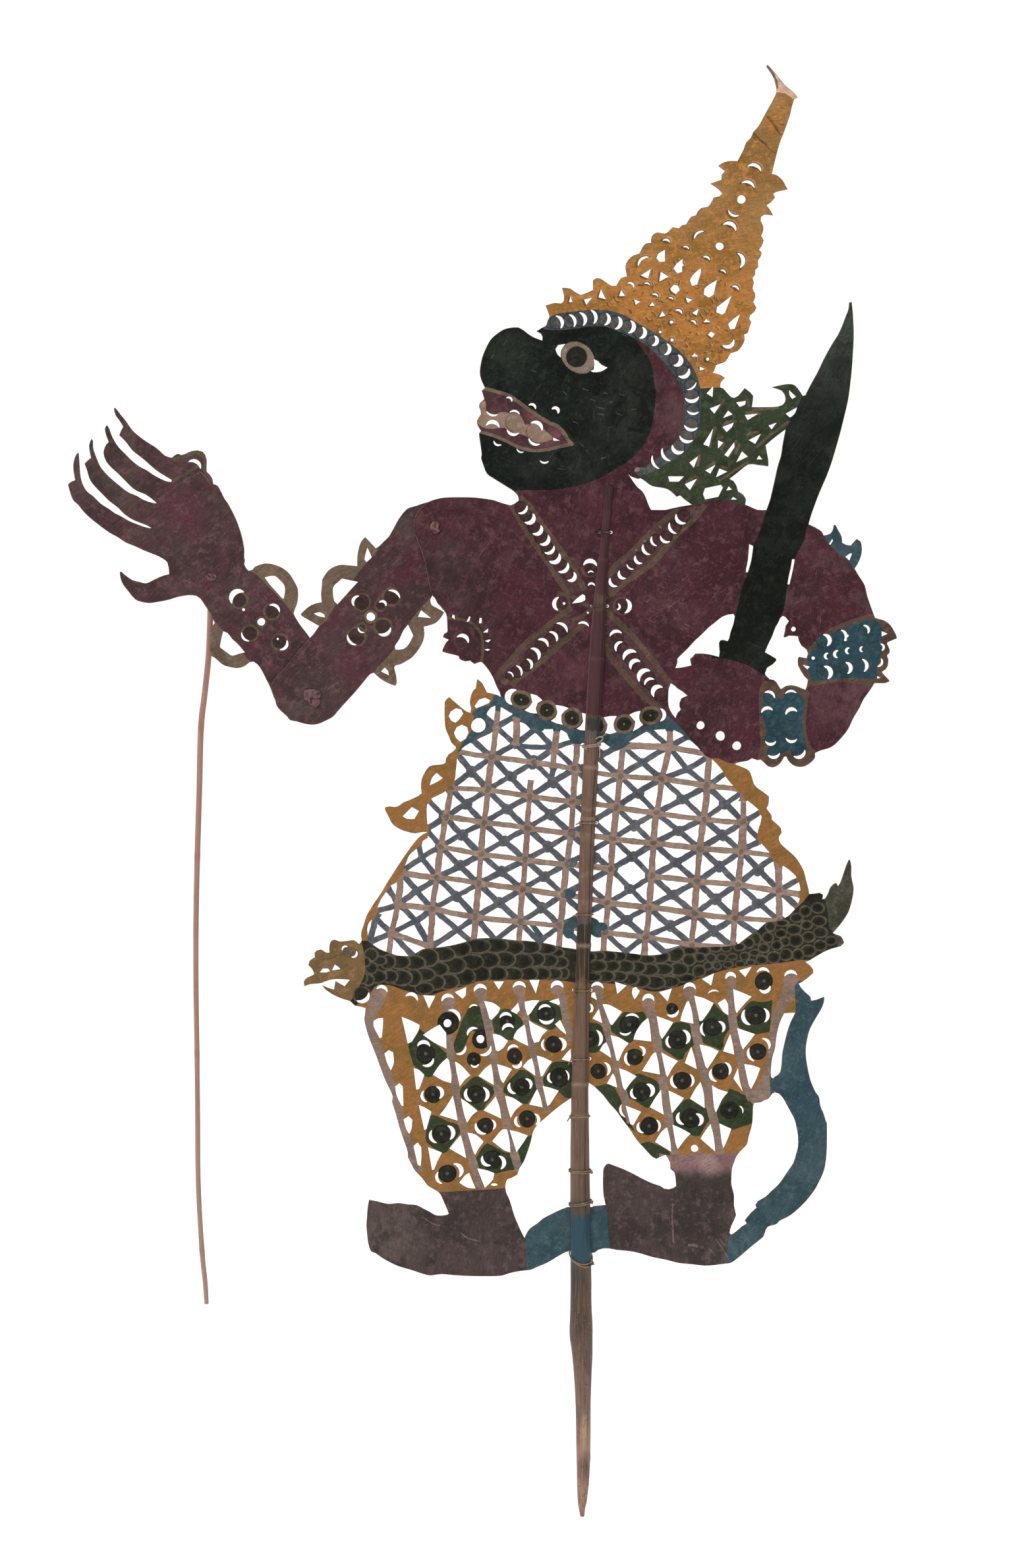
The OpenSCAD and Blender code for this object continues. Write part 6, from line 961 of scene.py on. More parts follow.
def paint(name, base, dark, light, worn, blot=0.8, pale=0.8, speck=0.75, wear=0.3, scratch=0.25, rough=0.52, lay=(0, 30, 0), spec=0.08, patches=(), fade=None, relief=1.0, gain=1.5, hair=(),
        crease_shade=None, tint=()):
    """Old paint on rawhide: blotches, thin places where the hide shows, brush lay, grain and fine scratches.
    patches is [(x, y, r, colour, share)]; fade is (y above, y below, colour), a change of tone down the piece; hair is [(x, y, r, share)], places with many bright scratches;
    tint is [(scale, from, to, colour, share)], broad changes of hue over the piece."""
    k = Nodes(name)
    dark, light = ([max(6, min(248, b + gain * (c - b))) for b, c in zip(base, o)] for o in (dark, light))
    big = k.noise(52, 5, 0.64, dist=0.6)
    mid = k.noise(230, 6, 0.7)
    grit = k.noise(720, 5, 0.72)
    fine = k.noise(2300, 3, 0.6)
    brush = k.noise(1.0, 3, 0.6, k.map((160, 160, 1500), lay))
    scr = k.noise(1.0, 2, 0.5, k.map((34, 34, 2300), (0, 52, 0)))
    scr2 = k.noise(1.0, 2, 0.5, k.map((40, 40, 2800), (0, -24, 0)))
    gate = k.ramp(k.noise(64, 3, 0.6), 0.45, 0.6)
    col = lin(base)
    if fade:
        col = k.mix(k.ramp(k.math("ADD", k.axis(2), k.math("MULTIPLY", k.math("SUBTRACT", big, 0.5), 0.02)), Z(fade[1]), Z(fade[0])), col, lin(fade[2]))
    for scale, lo, hi, c, share in tint:
        col = k.mix(k.math("MULTIPLY", k.ramp(k.noise(scale, 6, 0.66, dist=0.4), lo, hi), share), col, lin(c))
    for x, y, r, c, share in patches:
        col = k.mix(k.math("MULTIPLY", k.math("MULTIPLY", near(k, x, y, r, 0.9), k.ramp(mid, 0.3, 0.56, 0.35, 1.0)), share), col, lin(c))
    col = k.mix(k.math("MULTIPLY", k.ramp(big, 0.44, 0.62), blot), col, lin(dark))
    col = k.mix(k.math("MULTIPLY", k.ramp(mid, 0.5, 0.64), pale), col, lin(light))
    col = k.mix(k.math("MULTIPLY", k.ramp(grit, 0.55, 0.68), speck), col, lin(light))
    col = k.mix(k.math("MULTIPLY", k.ramp(grit, 0.45, 0.33), speck), col, lin(dark))
    spot = k.math("MULTIPLY", k.ramp(k.noise(430, 6, 0.75), 0.57, 0.69), k.ramp(big, 0.34, 0.58, 1.0, 0.2))
    col = k.mix(k.math("MULTIPLY", spot, wear), col, lin(worn))
    lines = k.math("MAXIMUM", k.ramp(scr, 0.66, 0.71), k.ramp(scr2, 0.67, 0.72))
    lines = k.math("MULTIPLY", lines, gate)
    col = k.mix(k.math("MULTIPLY", lines, scratch), col, lin(worn))
    for i, (x, y, r, share) in enumerate(hair):
        thin = k.math("MAXIMUM", k.ramp(k.noise(1.0, 2, 0.5, k.map((62, 62, 2900), (0, 38 + 47 * i, 0)), dist=0.3), 0.66, 0.7),
            k.ramp(k.noise(1.0, 2, 0.5, k.map((80, 80, 3300), (0, 47 * i - 26, 0)), dist=0.3), 0.67, 0.71))
        m = k.math("MULTIPLY", k.math("MULTIPLY", thin, near(k, x, y, r, 0.8)), k.math("MULTIPLY", k.ramp(mid, 0.42, 0.58), share))
        col = k.mix(m, col, lin([min(235, c + 60) for c in worn]))
    tone = k.math("ADD", k.ramp(brush, 0.3, 0.7, -0.14, 0.14), k.ramp(fine, 0.3, 0.7, 0.86, 1.14))
    col = k.mix(1.0, col, tone, "MULTIPLY")
    r = k.math("ADD", k.ramp(mid, 0.3, 0.7, rough - 0.07, rough + 0.09), k.math("MULTIPLY", lines, 0.12))
    h = k.math("ADD", k.math("MULTIPLY", fine, 0.3), k.math("MULTIPLY", mid, 0.8))
    h = k.math("ADD", h, k.math("MULTIPLY", brush, 0.5))
    h = k.math("ADD", h, k.math("MULTIPLY", grit, 0.35))
    h = k.math("SUBTRACT", h, k.math("MULTIPLY", lines, 0.35))
    # painted shade darkening the clefts that the mesh attribute marks
    if crease_shade:
        a = k.t.nodes.new("ShaderNodeAttribute")
        a.attribute_name = "crease_shade"
        col = k.mix(a.outputs["Fac"], col, lin(crease_shade))
    n = k.bump(h, 0.4 * relief, 0.00026)
    n = k.bump(big, 0.22 * relief, 0.0014, n)
    return k.finish(col, r, n, spec)


paint("purple", (73, 42, 48), (60, 35, 41), (88, 56, 62), (128, 104, 106), wear=0.4, scratch=0.6, lay=(0, 70, 0),
    patches=[(700, 870, 80, (60, 50, 50), 0.9), (725, 810, 76, (86, 57, 63), 0.5), (665, 850, 60, (66, 56, 54), 0.7), (1092, 855, 95, (62, 30, 38), 0.95), (1005, 940, 66, (94, 60, 65), 0.75), (1300, 1060, 90, (104, 76, 80), 0.7),
        (1170, 860, 50, (60, 36, 42), 0.6), (1060, 1100, 70, (58, 40, 42), 0.6), (1012, 620, 60, (92, 70, 72), 0.7), (880, 1005, 70, (96, 56, 64), 0.75), (720, 960, 60, (56, 48, 48), 0.8)],
    hair=[(1035, 915, 110, 0.5), (1240, 900, 90, 0.4), (745, 840, 80, 0.3)],
    tint=[(30, 0.47, 0.62, (82, 38, 51), 0.7), (47, 0.53, 0.64, (92, 72, 73), 0.45)])
paint("plum", (80, 57, 59), (68, 50, 51), (94, 68, 70), (124, 102, 102), wear=0.32, scratch=0.5, lay=(0, 40, 0),
    patches=[(620, 865, 75, (76, 38, 50), 0.95), (270, 775, 60, (88, 48, 60), 0.8), (480, 1040, 60, (64, 54, 52), 0.8), (330, 830, 60, (84, 60, 64), 0.6), (150, 720, 90, (84, 77, 70), 0.9), (190, 660, 50, (82, 74, 68), 0.8),
        (625, 795, 45, (78, 70, 65), 0.9), (455, 1080, 45, (84, 75, 70), 0.8), (420, 1000, 45, (92, 46, 60), 0.8), (540, 1010, 45, (88, 44, 58), 0.8), (255, 850, 50, (72, 62, 60), 0.7)], hair=[(480, 1020, 90, 0.35), (330, 850, 80, 0.3)],
    tint=[(30, 0.46, 0.6, (84, 42, 55), 0.7), (42, 0.52, 0.63, (78, 72, 66), 0.55)])
paint("armcore", (63, 46, 46), (53, 39, 39), (73, 55, 55), (98, 80, 80), wear=0.25, scratch=0.3)
paint("armring", (95, 80, 64), (83, 69, 55), (107, 91, 74), (122, 106, 90), wear=0.25, scratch=0.15)
paint("cuffring", (92, 78, 66), (80, 67, 56), (104, 88, 75), (124, 108, 94), wear=0.25, scratch=0.15)
paint("gum", (78, 53, 56), (66, 44, 48), (90, 62, 66), (130, 98, 104), scratch=0.25,
    patches=[(810, 633, 22, (128, 80, 90), 0.9), (845, 662, 22, (124, 78, 88), 0.9), (828, 674, 16, (116, 74, 82), 0.8), (752, 622, 14, (98, 62, 68), 0.6)])
paint("night", (27, 31, 28), (19, 23, 20), (39, 45, 41), (92, 97, 92), gain=1.15, tint=[(34, 0.5, 0.64, (36, 44, 42), 0.6)], wear=0.3, scratch=0.4, rough=0.5, lay=(0, 65, 0), spec=0.04,
    patches=[(760, 535, 75, (46, 53, 46), 0.85), (945, 630, 85, (48, 50, 45), 0.85), (865, 700, 70, (46, 49, 43), 0.8), (800, 715, 40, (40, 43, 38), 0.6), (960, 560, 40, (50, 52, 46), 0.6)],
    hair=[(800, 570, 90, 0.22), (910, 640, 110, 0.2), (860, 700, 80, 0.2)])
paint("blade", (24, 27, 23), (18, 20, 17), (38, 41, 36), (84, 86, 80), gain=1.0, blot=0.5, pale=0.55, wear=0.3, scratch=0.5, rough=0.48, lay=(0, 70, 0), spec=0.04, fade=(490, 690, (68, 73, 68)), tint=[(26, 0.5, 0.64, (42, 48, 44), 0.55)],
    patches=[(1272, 690, 46, (60, 66, 60), 0.7), (1204, 655, 34, (50, 56, 51), 0.65), (1184, 725, 34, (46, 52, 47), 0.55), (1286, 556, 30, (70, 76, 71), 0.5), (1246, 742, 26, (48, 54, 49), 0.5)], hair=[(1235, 660, 90, 0.14), (1190, 830, 60, 0.14)])
paint("ochre", (146, 103, 56), (130, 98, 51), (160, 109, 65), (178, 144, 110), gain=1.2, wear=0.22, scratch=0.18,
    patches=[(585, 1345, 90, (166, 115, 80), 0.95), (640, 1270, 40, (160, 112, 72), 0.7)])
paint("mustard", (126, 99, 62), (112, 90, 56), (138, 108, 72), (158, 130, 98), wear=0.25, scratch=0.15)
paint("gold", (177, 119, 60), (152, 106, 52), (190, 130, 70), (116, 90, 58), gain=1.5, wear=0.55, tint=[(70, 0.52, 0.64, (140, 103, 56), 0.55), (120, 0.55, 0.66, (186, 132, 76), 0.5)], scratch=0.2, lay=(0, 10, 0), relief=1.4, fade=(300, 470, (162, 124, 76)),
    patches=[(1150, 245, 90, (130, 98, 56), 0.85), (1190, 165, 50, (158, 118, 68), 0.8), (1168, 182, 24, (172, 112, 62), 0.7), (1110, 330, 50, (140, 104, 58), 0.5), (850, 455, 40, (146, 106, 62), 0.6)])
# painted shade: the dark side of dents, folds and punched holes in the crown
paint("dent", (114, 82, 44), (100, 72, 39), (127, 93, 52), (142, 108, 66), wear=0.2, scratch=0.0)
# painted shade of the small tool dents in the lower crown
paint("curl", (132, 91, 47), (118, 82, 43), (146, 103, 56), (160, 120, 74), wear=0.2, scratch=0.0)
# painted highlight beside those dents and holes
paint("glint", (184, 140, 90), (172, 128, 80), (196, 152, 104), (206, 170, 124), wear=0.2, scratch=0.0)
paint("blue", (60, 82, 89), (50, 73, 80), (70, 91, 98), (108, 121, 123), wear=0.25, scratch=0.3, lay=(0, 60, 0), patches=[(1210, 1810, 80, (72, 88, 94), 0.85), (1218, 1660, 58, (42, 71, 80), 0.95), (1130, 1890, 44, (88, 106, 115), 0.9)],
    tint=[(34, 0.5, 0.64, (52, 76, 84), 0.5)])
paint("teal", (44, 72, 81), (35, 62, 70), (56, 82, 90), (92, 106, 108), wear=0.2, scratch=0.2, lay=(0, 60, 0), tint=[(60, 0.5, 0.62, (54, 74, 76), 0.6)])
paint("slate", (90, 94, 102), (78, 84, 93), (104, 106, 112), (126, 124, 126), wear=0.2, scratch=0.1, tint=[(60, 0.5, 0.62, (76, 88, 98), 0.7)],
    patches=[(780, 1120, 70, (58, 80, 92), 0.8), (1000, 1130, 60, (58, 80, 92), 0.6), (690, 1390, 60, (70, 86, 96), 0.6), (880, 1400, 60, (58, 80, 90), 0.8)])
paint("tan", (148, 121, 109), (132, 108, 96), (162, 135, 123), (178, 156, 146), gain=1.2, wear=0.2, scratch=0.1)
paint("beige", (152, 129, 113), (134, 113, 98), (168, 144, 128), (176, 160, 148), gain=1.2, wear=0.2, scratch=0.1, lay=(0, 0, 0))
paint("strip", (136, 115, 102), (120, 103, 90), (150, 127, 114), (164, 144, 130), gain=1.2, wear=0.25, scratch=0.1, lay=(0, 0, 0))
paint("striphead", (146, 118, 106), (132, 108, 96), (158, 128, 116), (170, 146, 134), gain=1.2, wear=0.2, scratch=0.1)
paint("node", (118, 103, 92), (104, 91, 81), (130, 115, 103), (146, 130, 116), wear=0.2, scratch=0.1)
paint("graze", (74, 78, 72), (60, 64, 58), (90, 94, 87), (110, 113, 106), wear=0.2, scratch=0.0)
paint("umber", (110, 94, 80), (96, 82, 70), (124, 106, 92), (146, 128, 112), wear=0.2, scratch=0.1)
paint("pupil", (82, 79, 66), (70, 68, 56), (94, 90, 77), (112, 106, 92), wear=0.2, scratch=0.0)
paint("vein", (98, 84, 68), (84, 72, 57), (110, 95, 78), (126, 112, 94), wear=0.2, scratch=0.1)
paint("dusk", (90, 86, 86), (78, 76, 78), (102, 96, 94), (120, 114, 110), wear=0.2, scratch=0.1)
paint("pine", (56, 65, 48), (42, 51, 35), (72, 82, 62), (100, 100, 80), gain=1.1, wear=0.35, scratch=0.2)
paint("green", (52, 62, 42), (42, 56, 32), (66, 73, 54), (98, 101, 80), gain=1.1, wear=0.3, scratch=0.15, hair=[(1125, 1662, 30, 0.5)])
paint("olive", (110, 92, 76), (96, 80, 65), (122, 103, 87), (142, 124, 106), wear=0.25, scratch=0.12)
paint("khaki", (91, 72, 61), (79, 62, 53), (102, 82, 70), (124, 104, 92), wear=0.25, scratch=0.25)
paint("scale", (43, 42, 33), (34, 34, 26), (54, 53, 42), (82, 78, 66), wear=0.25, scratch=0.2, rough=0.5)
paint("scaledark", (33, 33, 26), (26, 27, 21), (43, 42, 33), (66, 64, 54), wear=0.2, scratch=0.15, rough=0.5)
paint("line", (84, 78, 65), (72, 67, 55), (96, 89, 75), (116, 108, 94), wear=0.2, scratch=0.1)
paint("leaf", (72, 71, 60), (60, 61, 51), (86, 84, 72), (110, 106, 94), wear=0.3, scratch=0.3, lay=(0, 60, 0), patches=[(1272, 1428, 26, (96, 89, 77), 0.8)])
paint("shoe", (73, 62, 60), (60, 52, 50), (87, 74, 73), (118, 102, 100), speck=0.55, wear=0.18, scratch=0.3, lay=(0, 80, 0),
    patches=[(590, 1878, 80, (104, 90, 87), 0.8), (1052, 1828, 60, (54, 48, 45), 0.9), (1054, 1870, 50, (54, 48, 46), 0.9), (1092, 1908, 40, (94, 85, 81), 0.8), (720, 1830, 60, (60, 52, 50), 0.8), (690, 1890, 70, (80, 65, 64), 0.6)],
    hair=[(1096, 1896, 40, 0.5), (980, 1840, 60, 0.3), (640, 1860, 70, 0.3)], tint=[(34, 0.5, 0.64, (84, 66, 68), 0.5)])
# the ankle band over the dark shoe colour; the pale patch at (1078, 1768) is a painted highlight on a fold
paint("mauve", (63, 56, 53), (54, 48, 46), (74, 66, 63), (150, 122, 122), gain=1.0, blot=0.35, pale=0.35, speck=0.4, wear=0.35, scratch=0.25, fade=(1767, 1789, (142, 111, 111)),
    patches=[(1078, 1768, 26, (166, 140, 134), 0.8), (1100, 1760, 24, (112, 86, 88), 0.7)])
paint("scuff", (112, 94, 92), (96, 80, 79), (126, 108, 105), (146, 128, 124), wear=0.3, scratch=0.0)
paint("band", (72, 80, 83), (60, 70, 74), (88, 92, 91), (112, 112, 106), wear=0.2, scratch=0.1, tint=[(130, 0.5, 0.62, (58, 79, 88), 0.6)])
paint("coin", (88, 84, 80), (72, 72, 72), (100, 95, 91), (120, 112, 106), wear=0.2, scratch=0.1, tint=[(150, 0.5, 0.62, (70, 80, 85), 0.65)])
paint("pearl", (146, 121, 104), (132, 111, 96), (160, 133, 116), (178, 156, 138), gain=1.2, wear=0.2, scratch=0.15, patches=[(776, 640, 24, (138, 121, 104), 0.7), (733, 622, 16, (152, 112, 92), 0.7)])
paint("ring", (132, 117, 102), (120, 107, 93), (144, 128, 112), (160, 146, 130), wear=0.2, scratch=0.1)
paint("ink", (35, 36, 32), (27, 30, 27), (46, 47, 42), (72, 72, 66), wear=0.2, scratch=0.25, rough=0.48)
# the bare folded tip; its dark patch at the upper end is painted shade on the curl
paint("raw", (206, 172, 145), (186, 154, 128), (226, 198, 172), (236, 220, 200), gain=0.8, speck=0.15, wear=0.1, scratch=0.1, patches=[(1176, 116, 20, (122, 102, 94), 0.9), (1204, 148, 18, (226, 197, 152), 0.9)])
paint("edge", (120, 97, 86), (100, 80, 70), (138, 114, 102), (160, 138, 124), gain=1.2, wear=0.3, scratch=0.0, rough=0.6)
paint("strap", (84, 56, 58), (72, 48, 51), (97, 67, 69), (122, 98, 96), wear=0.28, scratch=0.35)
paint("strapdot", (71, 45, 47), (58, 38, 40), (85, 57, 59), (112, 88, 84), wear=0.2, scratch=0.15)
paint("deep", (42, 58, 63), (33, 48, 54), (52, 68, 74), (80, 92, 94), wear=0.15, scratch=0.1)

# ----------------------------------------------------------------------------
# Paint on the figure, in the order of the brush
# ----------------------------------------------------------------------------
def mid(q):
    return [(q[0][j] + q[2][j]) / 2 for j in (0, 1)]


def boss(areas, q, ring, core, back=0.25, size=1.0, rim=1.6, clip=None):
    """The painted disc that a punched crescent lies on."""
    m = mid(q)
    x, y = (m[j] + (m[j] - q[1][j]) * back for j in (0, 1))
    r = math.dist(q[0], q[2]) / 2 * size
    areas.append((disc(x, y, r + rim, n=18, wob=0.03), ring, clip))
    areas.append((disc(x, y, r, n=18, wob=0.03), core, clip))


def ringed(areas, x, y, r, paints, wob=0.03, ratio=1.0, turn=0):
    """Discs one on another, from the outermost: paints is [(share of the radius, paint)]."""
    for k, p in paints:
        areas.append((disc(x, y, r * k, r * k * ratio, turn, 18 if r * k > 4 else 10, wob), p, None))


outline = soft(crown_front + crown_back + hair_top + sword + back_arm + skirt_back + tail_edge + soles + leg_front + skirt_front + chest_front + face)
shoulder, elbow, wrist = (662, 801), (473, 1059), (318, 875)
stick_line = [(17, 0, 5.4), (48, -0.3, 5.2), (90, -0.7, 4.9), (125, -0.7, 4.3), (195, 1.2, 3.7), (250, 3.1, 3.8), (285, 4.7, 3.9), (340, 7.7, 4),
    (360, 8.9, 3.7), (390, 11, 2.4), (428, 14.6, 1.9)]
ties = [("tie_neck", 808, 1), ("tie_chest", 920, 1), ("tie_waist", 1131, 2), ("tie_skirt_upper", 1249, 1), ("tie_skirt_lower", 1388, 1), ("tie_belt", 1503, 1),
    ("tie_seat", 1607, 1), ("tie_leg_upper", 1694, 1), ("tie_leg_lower", 1780, 2), ("tie_tail_top", 1829, 2), ("tie_tail_bottom", 1919, 2)]


def along(z, k):
    """Axis x (k=1) or radius (k=2) of the stick in mm at a height in mm."""
    for a, b in zip(stick_line, stick_line[1:]):
        if z <= b[0] or b is stick_line[-1]:
            return a[k] + (b[k] - a[k]) * (z - a[0]) / (b[0] - a[0])


holes = [soft(p, True, 50, 6) for p in gaps]
holes += [soft(grow(p, 1.0), True, 34, 5) for p in leg_windows]
holes += [soft(p, True, 34, 5) for p in trim_windows + more_cuts]
holes.append(disc(750, 1798, 5, 2, n=12))
holes += [soft(grow(p, 0.8), True, 34, 5) for p in crown_cuts + hair_cuts]
holes += [moon(q) for q in moons + more_moons + mouth_moons]
holes += [bit(*b) for b in crown_bits]
holes += [disc(x, y, r, n=20 if r > 5 else 12, wob=0.03) for x, y, r in dots + crown_dots + more_dots]
holes.append(disc(*shoulder, 1.85 * 3, n=24))
holes.append(disc(864.5, 1900.5, 2.6, n=12))
holes += [soft(p, True, 50, 4) for p in ([(909, 1531), (914, 1553), (899, 1546)], [(895, 1523), (899, 1525), (901, 1531), (899, 1536), (894, 1537), (897, 1531)], [(898, 1507), (903, 1506), (906, 1518), (897, 1513)])]
for _, y, turns in ties:
    z = (2020 - y) / 3
    for s in (-1, 1):
        holes.append(disc(882 + 3 * (along(z, 1) + s * (along(z, 2) + 0.53)), y, 3.24 if turns > 1 else 2.3, n=10))

areas = []


def add(poly, paint, clip=None):
    areas.append((poly, paint, clip))


# crown, hair, face, headband
add([(812, 470), (846, 430), (900, 405), (945, 385), (985, 340), (1060, 300), (1060, 240), (1130, 190), (1150, 80), (1235, 140), (1215, 270), (1190, 420), (1160, 540),
    (1112, 578), (1096, 591), (1080, 594), (1063, 592)] + band_out[12::-1], "gold")
# round each crown punch: a painted shadow offset to the lower left, a painted highlight offset to the upper right, then
# a mustard rim round the hole
for p in [soft(q, True, 34, 5) for q in crown_cuts] + [bit(*b) for b in crown_bits] + [moon(q) for q in moons[18:26]] + [disc(*c) for c in crown_dots]:
    shade_and_highlight_rim = grow(p, 2.2)
    add([(x - 1.7, y + 1.5) for x, y in shade_and_highlight_rim], "dent")
    add([(x + 1.2, y - 1.0) for x, y in shade_and_highlight_rim], "glint")
    add(grow(p, 1.5), "mustard")
# painted shade in the crown's dents
for p in dent_shade_strokes:
    add(stroke(p, 3.0, 3, wob=0.25), "dent")
for x, y in dent_shade_spots:
    add(disc(x, y, 1.7, 1.3, 30, 8, 0.1), "dent")
# the tool's small marks between the punched shapes of the lower crown: each dent drawn as a painted-shade curl with a
# painted highlight beside it
marks = random.Random(21)
crown_low = [(905, 470), (960, 425), (1010, 400), (1060, 390), (1110, 420), (1130, 470), (1120, 530), (1090, 560), (1060, 570), (1030, 530), (990, 495), (950, 475)]
for i in range(150):
    x, y = marks.uniform(905, 1130), marks.uniform(390, 570)
    if inside(crown_low, np.array([(x, y)]))[0]:
        t, L = math.radians(marks.uniform(0, 360)), marks.uniform(2.5, 5)
        dx, dy = L * math.cos(t), L * math.sin(t)
        arc = [(x - dx, y - dy), (x - dy * 0.35, y + dx * 0.35), (x + dx, y + dy)]
        add(stroke([(a + 1.3, b - 1.2) for a, b in arc], 1.8, 3, wob=0.3), "glint")
        add(stroke(arc, 2.2, 3, wob=0.3), "curl")
for p in glints:
    add(stroke(p, 2.2, 3, wob=0.25), "glint")
# dark lines on the spire, in the painted-shade colour of the dents
for p, w in (([(1167, 178), (1174, 188), (1180, 198), (1184, 206)], 1.5), ([(1146, 205), (1156, 216), (1166, 226), (1176, 234)], 1.3), ([(1183, 190), (1189, 191)], 2.0), ([(1143, 208), (1147, 214)], 1.8)):
    add(stroke(p, w, 4, wob=0.2), "dent")
add(tip_area, "raw")
# painted shade along the left edge of the folded flap
add(stroke([(1162, 101), (1168, 108), (1174, 117), (1178, 126), (1179, 136)], 3.4, 4, wob=0.15), "umber")
hair_soft = soft(hair_area)
add(hair_soft, "pine")
for v in hair_veins:
    add(stroke(v, 4.2, wob=0.2), "vein", hair_soft)
face_poly = soft(face_arc, False, 60, 7) + [(770, 752), (690, 745), (690, 470), (815, 490), (826, 501), (850, 502), (870, 500), (895, 496), (915, 496)]
add(face_poly, "night")
band_poly = soft(band_out, False, 60, 6) + soft(band_in, False, 60, 6)[::-1]
add(band_poly, "band")
for i, q in enumerate(moons[:18]):
    m = mid(q)
    d = [m[j] - q[1][j] for j in (0, 1)]
    L = math.hypot(*d)
    r = math.dist(q[0], q[2]) / 2
    x, y = (m[j] + d[j] / L * 1.5 for j in (0, 1))
    add(disc(x + d[0] / L * 8, y + d[1] / L * 8, r + 0.8), "deep", band_poly)
    add(disc(x + d[0] / L * 8.8, y + d[1] / L * 8.8, r - 0.6), "band", band_poly)
    add(disc(x, y, r + 1.0), "deep", band_poly)
    add(disc(x, y, r - 0.6), "coin", band_poly)
for x, y, rx, ry, p in ((987, 711, 8.6, 8.2, "deep"), (987, 711, 7.4, 7, "coin"), (973, 716, 9.6, 7.4, "deep"), (973, 716, 8.4, 6.4, "coin"), (967, 713, 4.4, 3.4, "ring")):
    add(disc(x, y, rx, ry, -28, 18, 0.05), p)
# eye
for x, y, rx, ry, turn, p in ((877, 543, 27.8, 22.2, 38, "umber"), (877, 543, 27, 21.4, 38, "ring"), (875, 542, 16.8, 16.8, 0, "umber"), (875, 542, 15.7, 15.7, 0, "ink"), (876, 543, 4, 3.4, 20, "night")):
    add(disc(x, y, rx, ry, turn, 28, 0.015), p)
# fine old scratches in the dark paint
for p in ([(884, 590), (893, 593)], [(905, 618), (917, 621)], [(940, 598), (948, 601)], [(906, 628), (916, 630)], [(936, 628), (945, 631)], [(924, 611), (930, 610)], [(896, 606), (904, 609)], [(915, 597), (922, 597)], [(764, 524), (769, 517)],
        [(744, 545), (750, 538)], [(806, 562), (814, 565)], [(854, 594), (860, 599)], [(944, 508), (952, 511)], [(934, 500), (941, 503)], [(846, 711), (856, 713)], [(912, 697), (919, 694)], [(958, 622), (966, 621)], [(870, 640), (877, 643)]):
    add(stroke(p, 1.1, 3, wob=0.4), "graze")
# mouth
mouth = soft(mouth_in, True, 60, 6)
add(mouth, "gum")
add(soft(teeth, True, 70, 4), "pearl", mouth)
for x, y, r, a0, a1 in ((781, 641, 13.6, 100, 250), (812, 655, 13.2, 110, 260)):
    add(stroke([(x + r * math.cos(math.radians(t)), y + r * math.sin(math.radians(t))) for t in range(a0, a1, 15)], 1.6, 3, wob=0.2), "umber", mouth)
add(stroke(lip_up, 5.5, wob=0.12), "olive")
add(stroke(lip_low, 5, wob=0.12), "olive")

# straps
for a, b in strap_edges:
    add(soft(a, False, 60, 8) + soft(b, False, 60, 8)[::-1], "strap")
    add(stroke(a, 8.5, wob=0.1), "khaki")
    add(stroke(b, 8.5, wob=0.1), "khaki")
for q in moons[26:41] + moons[44:60]:
    boss(areas, q, "ink", "strapdot", 0.5, 0.95, 1.2)
for q in moons[41:44]:
    boss(areas, q, "khaki", "strapdot", 0.45, 1.05, 3)
for e in ([(846, 900), (866, 905), (885, 915), (905, 928), (922, 945)], [(922, 905), (905, 918), (888, 932), (868, 942)]):
    add(stroke(e, 6, wob=0.15), "khaki")
# chest roundel
add(stroke([(672, 938), (690, 939), (713, 944), (727, 957), (733, 975), (731, 1004)], 4.5, wob=0.15), "khaki")
boss(areas, moons[62], "strap", "strapdot", 0.3, 1.0, 1.5)
add(disc(767, 1035, 5.5, wob=0.08), "khaki")
for p in ([(1000, 798), (1004, 802)], [(977, 820), (980, 823)], [(964, 834), (967, 836)]):
    add(stroke(p, 2, 2, wob=0.2), "ring")

# sword, wings, back arm
add(soft(sword_area, True, 50, 8), "blade")
add(wing_area, "blue")
add(soft(armband_rim), "khaki")
add(soft(armband_area), "teal")
add(soft(cuff_rim), "khaki")
add(soft(cuff_area), "teal")
for q in moons[63:77]:
    boss(areas, q, "deep", "teal", 0.3, 0.95, 1.3)

# skirt
lb, rb = soft(left_border, True, 60, 8), soft(right_border, True, 60, 8)
add(lb, "ochre")
add(rb, "ochre")
belt = soft(belt_area, True, 60, 6)
add(belt, "blue")
add(stroke([(900, 1116), (918, 1116), (936, 1114), (950, 1108)], 7, 5), "blue")
add([(719, 1104), (728, 1114), (716, 1126), (704, 1136), (694, 1142), (704, 1124)], "blue")
for x, y, rx, ry, rot in belt_coins:
    for k, p in ((0, "edge"), (0.8, "olive"), (4.6, "scale"), (9.5, "ink")):
        add(disc(x, y, rx - k, ry - k, rot, 20, 0.02), p)
    add(disc(x, y, 1.5, n=8), "pearl")

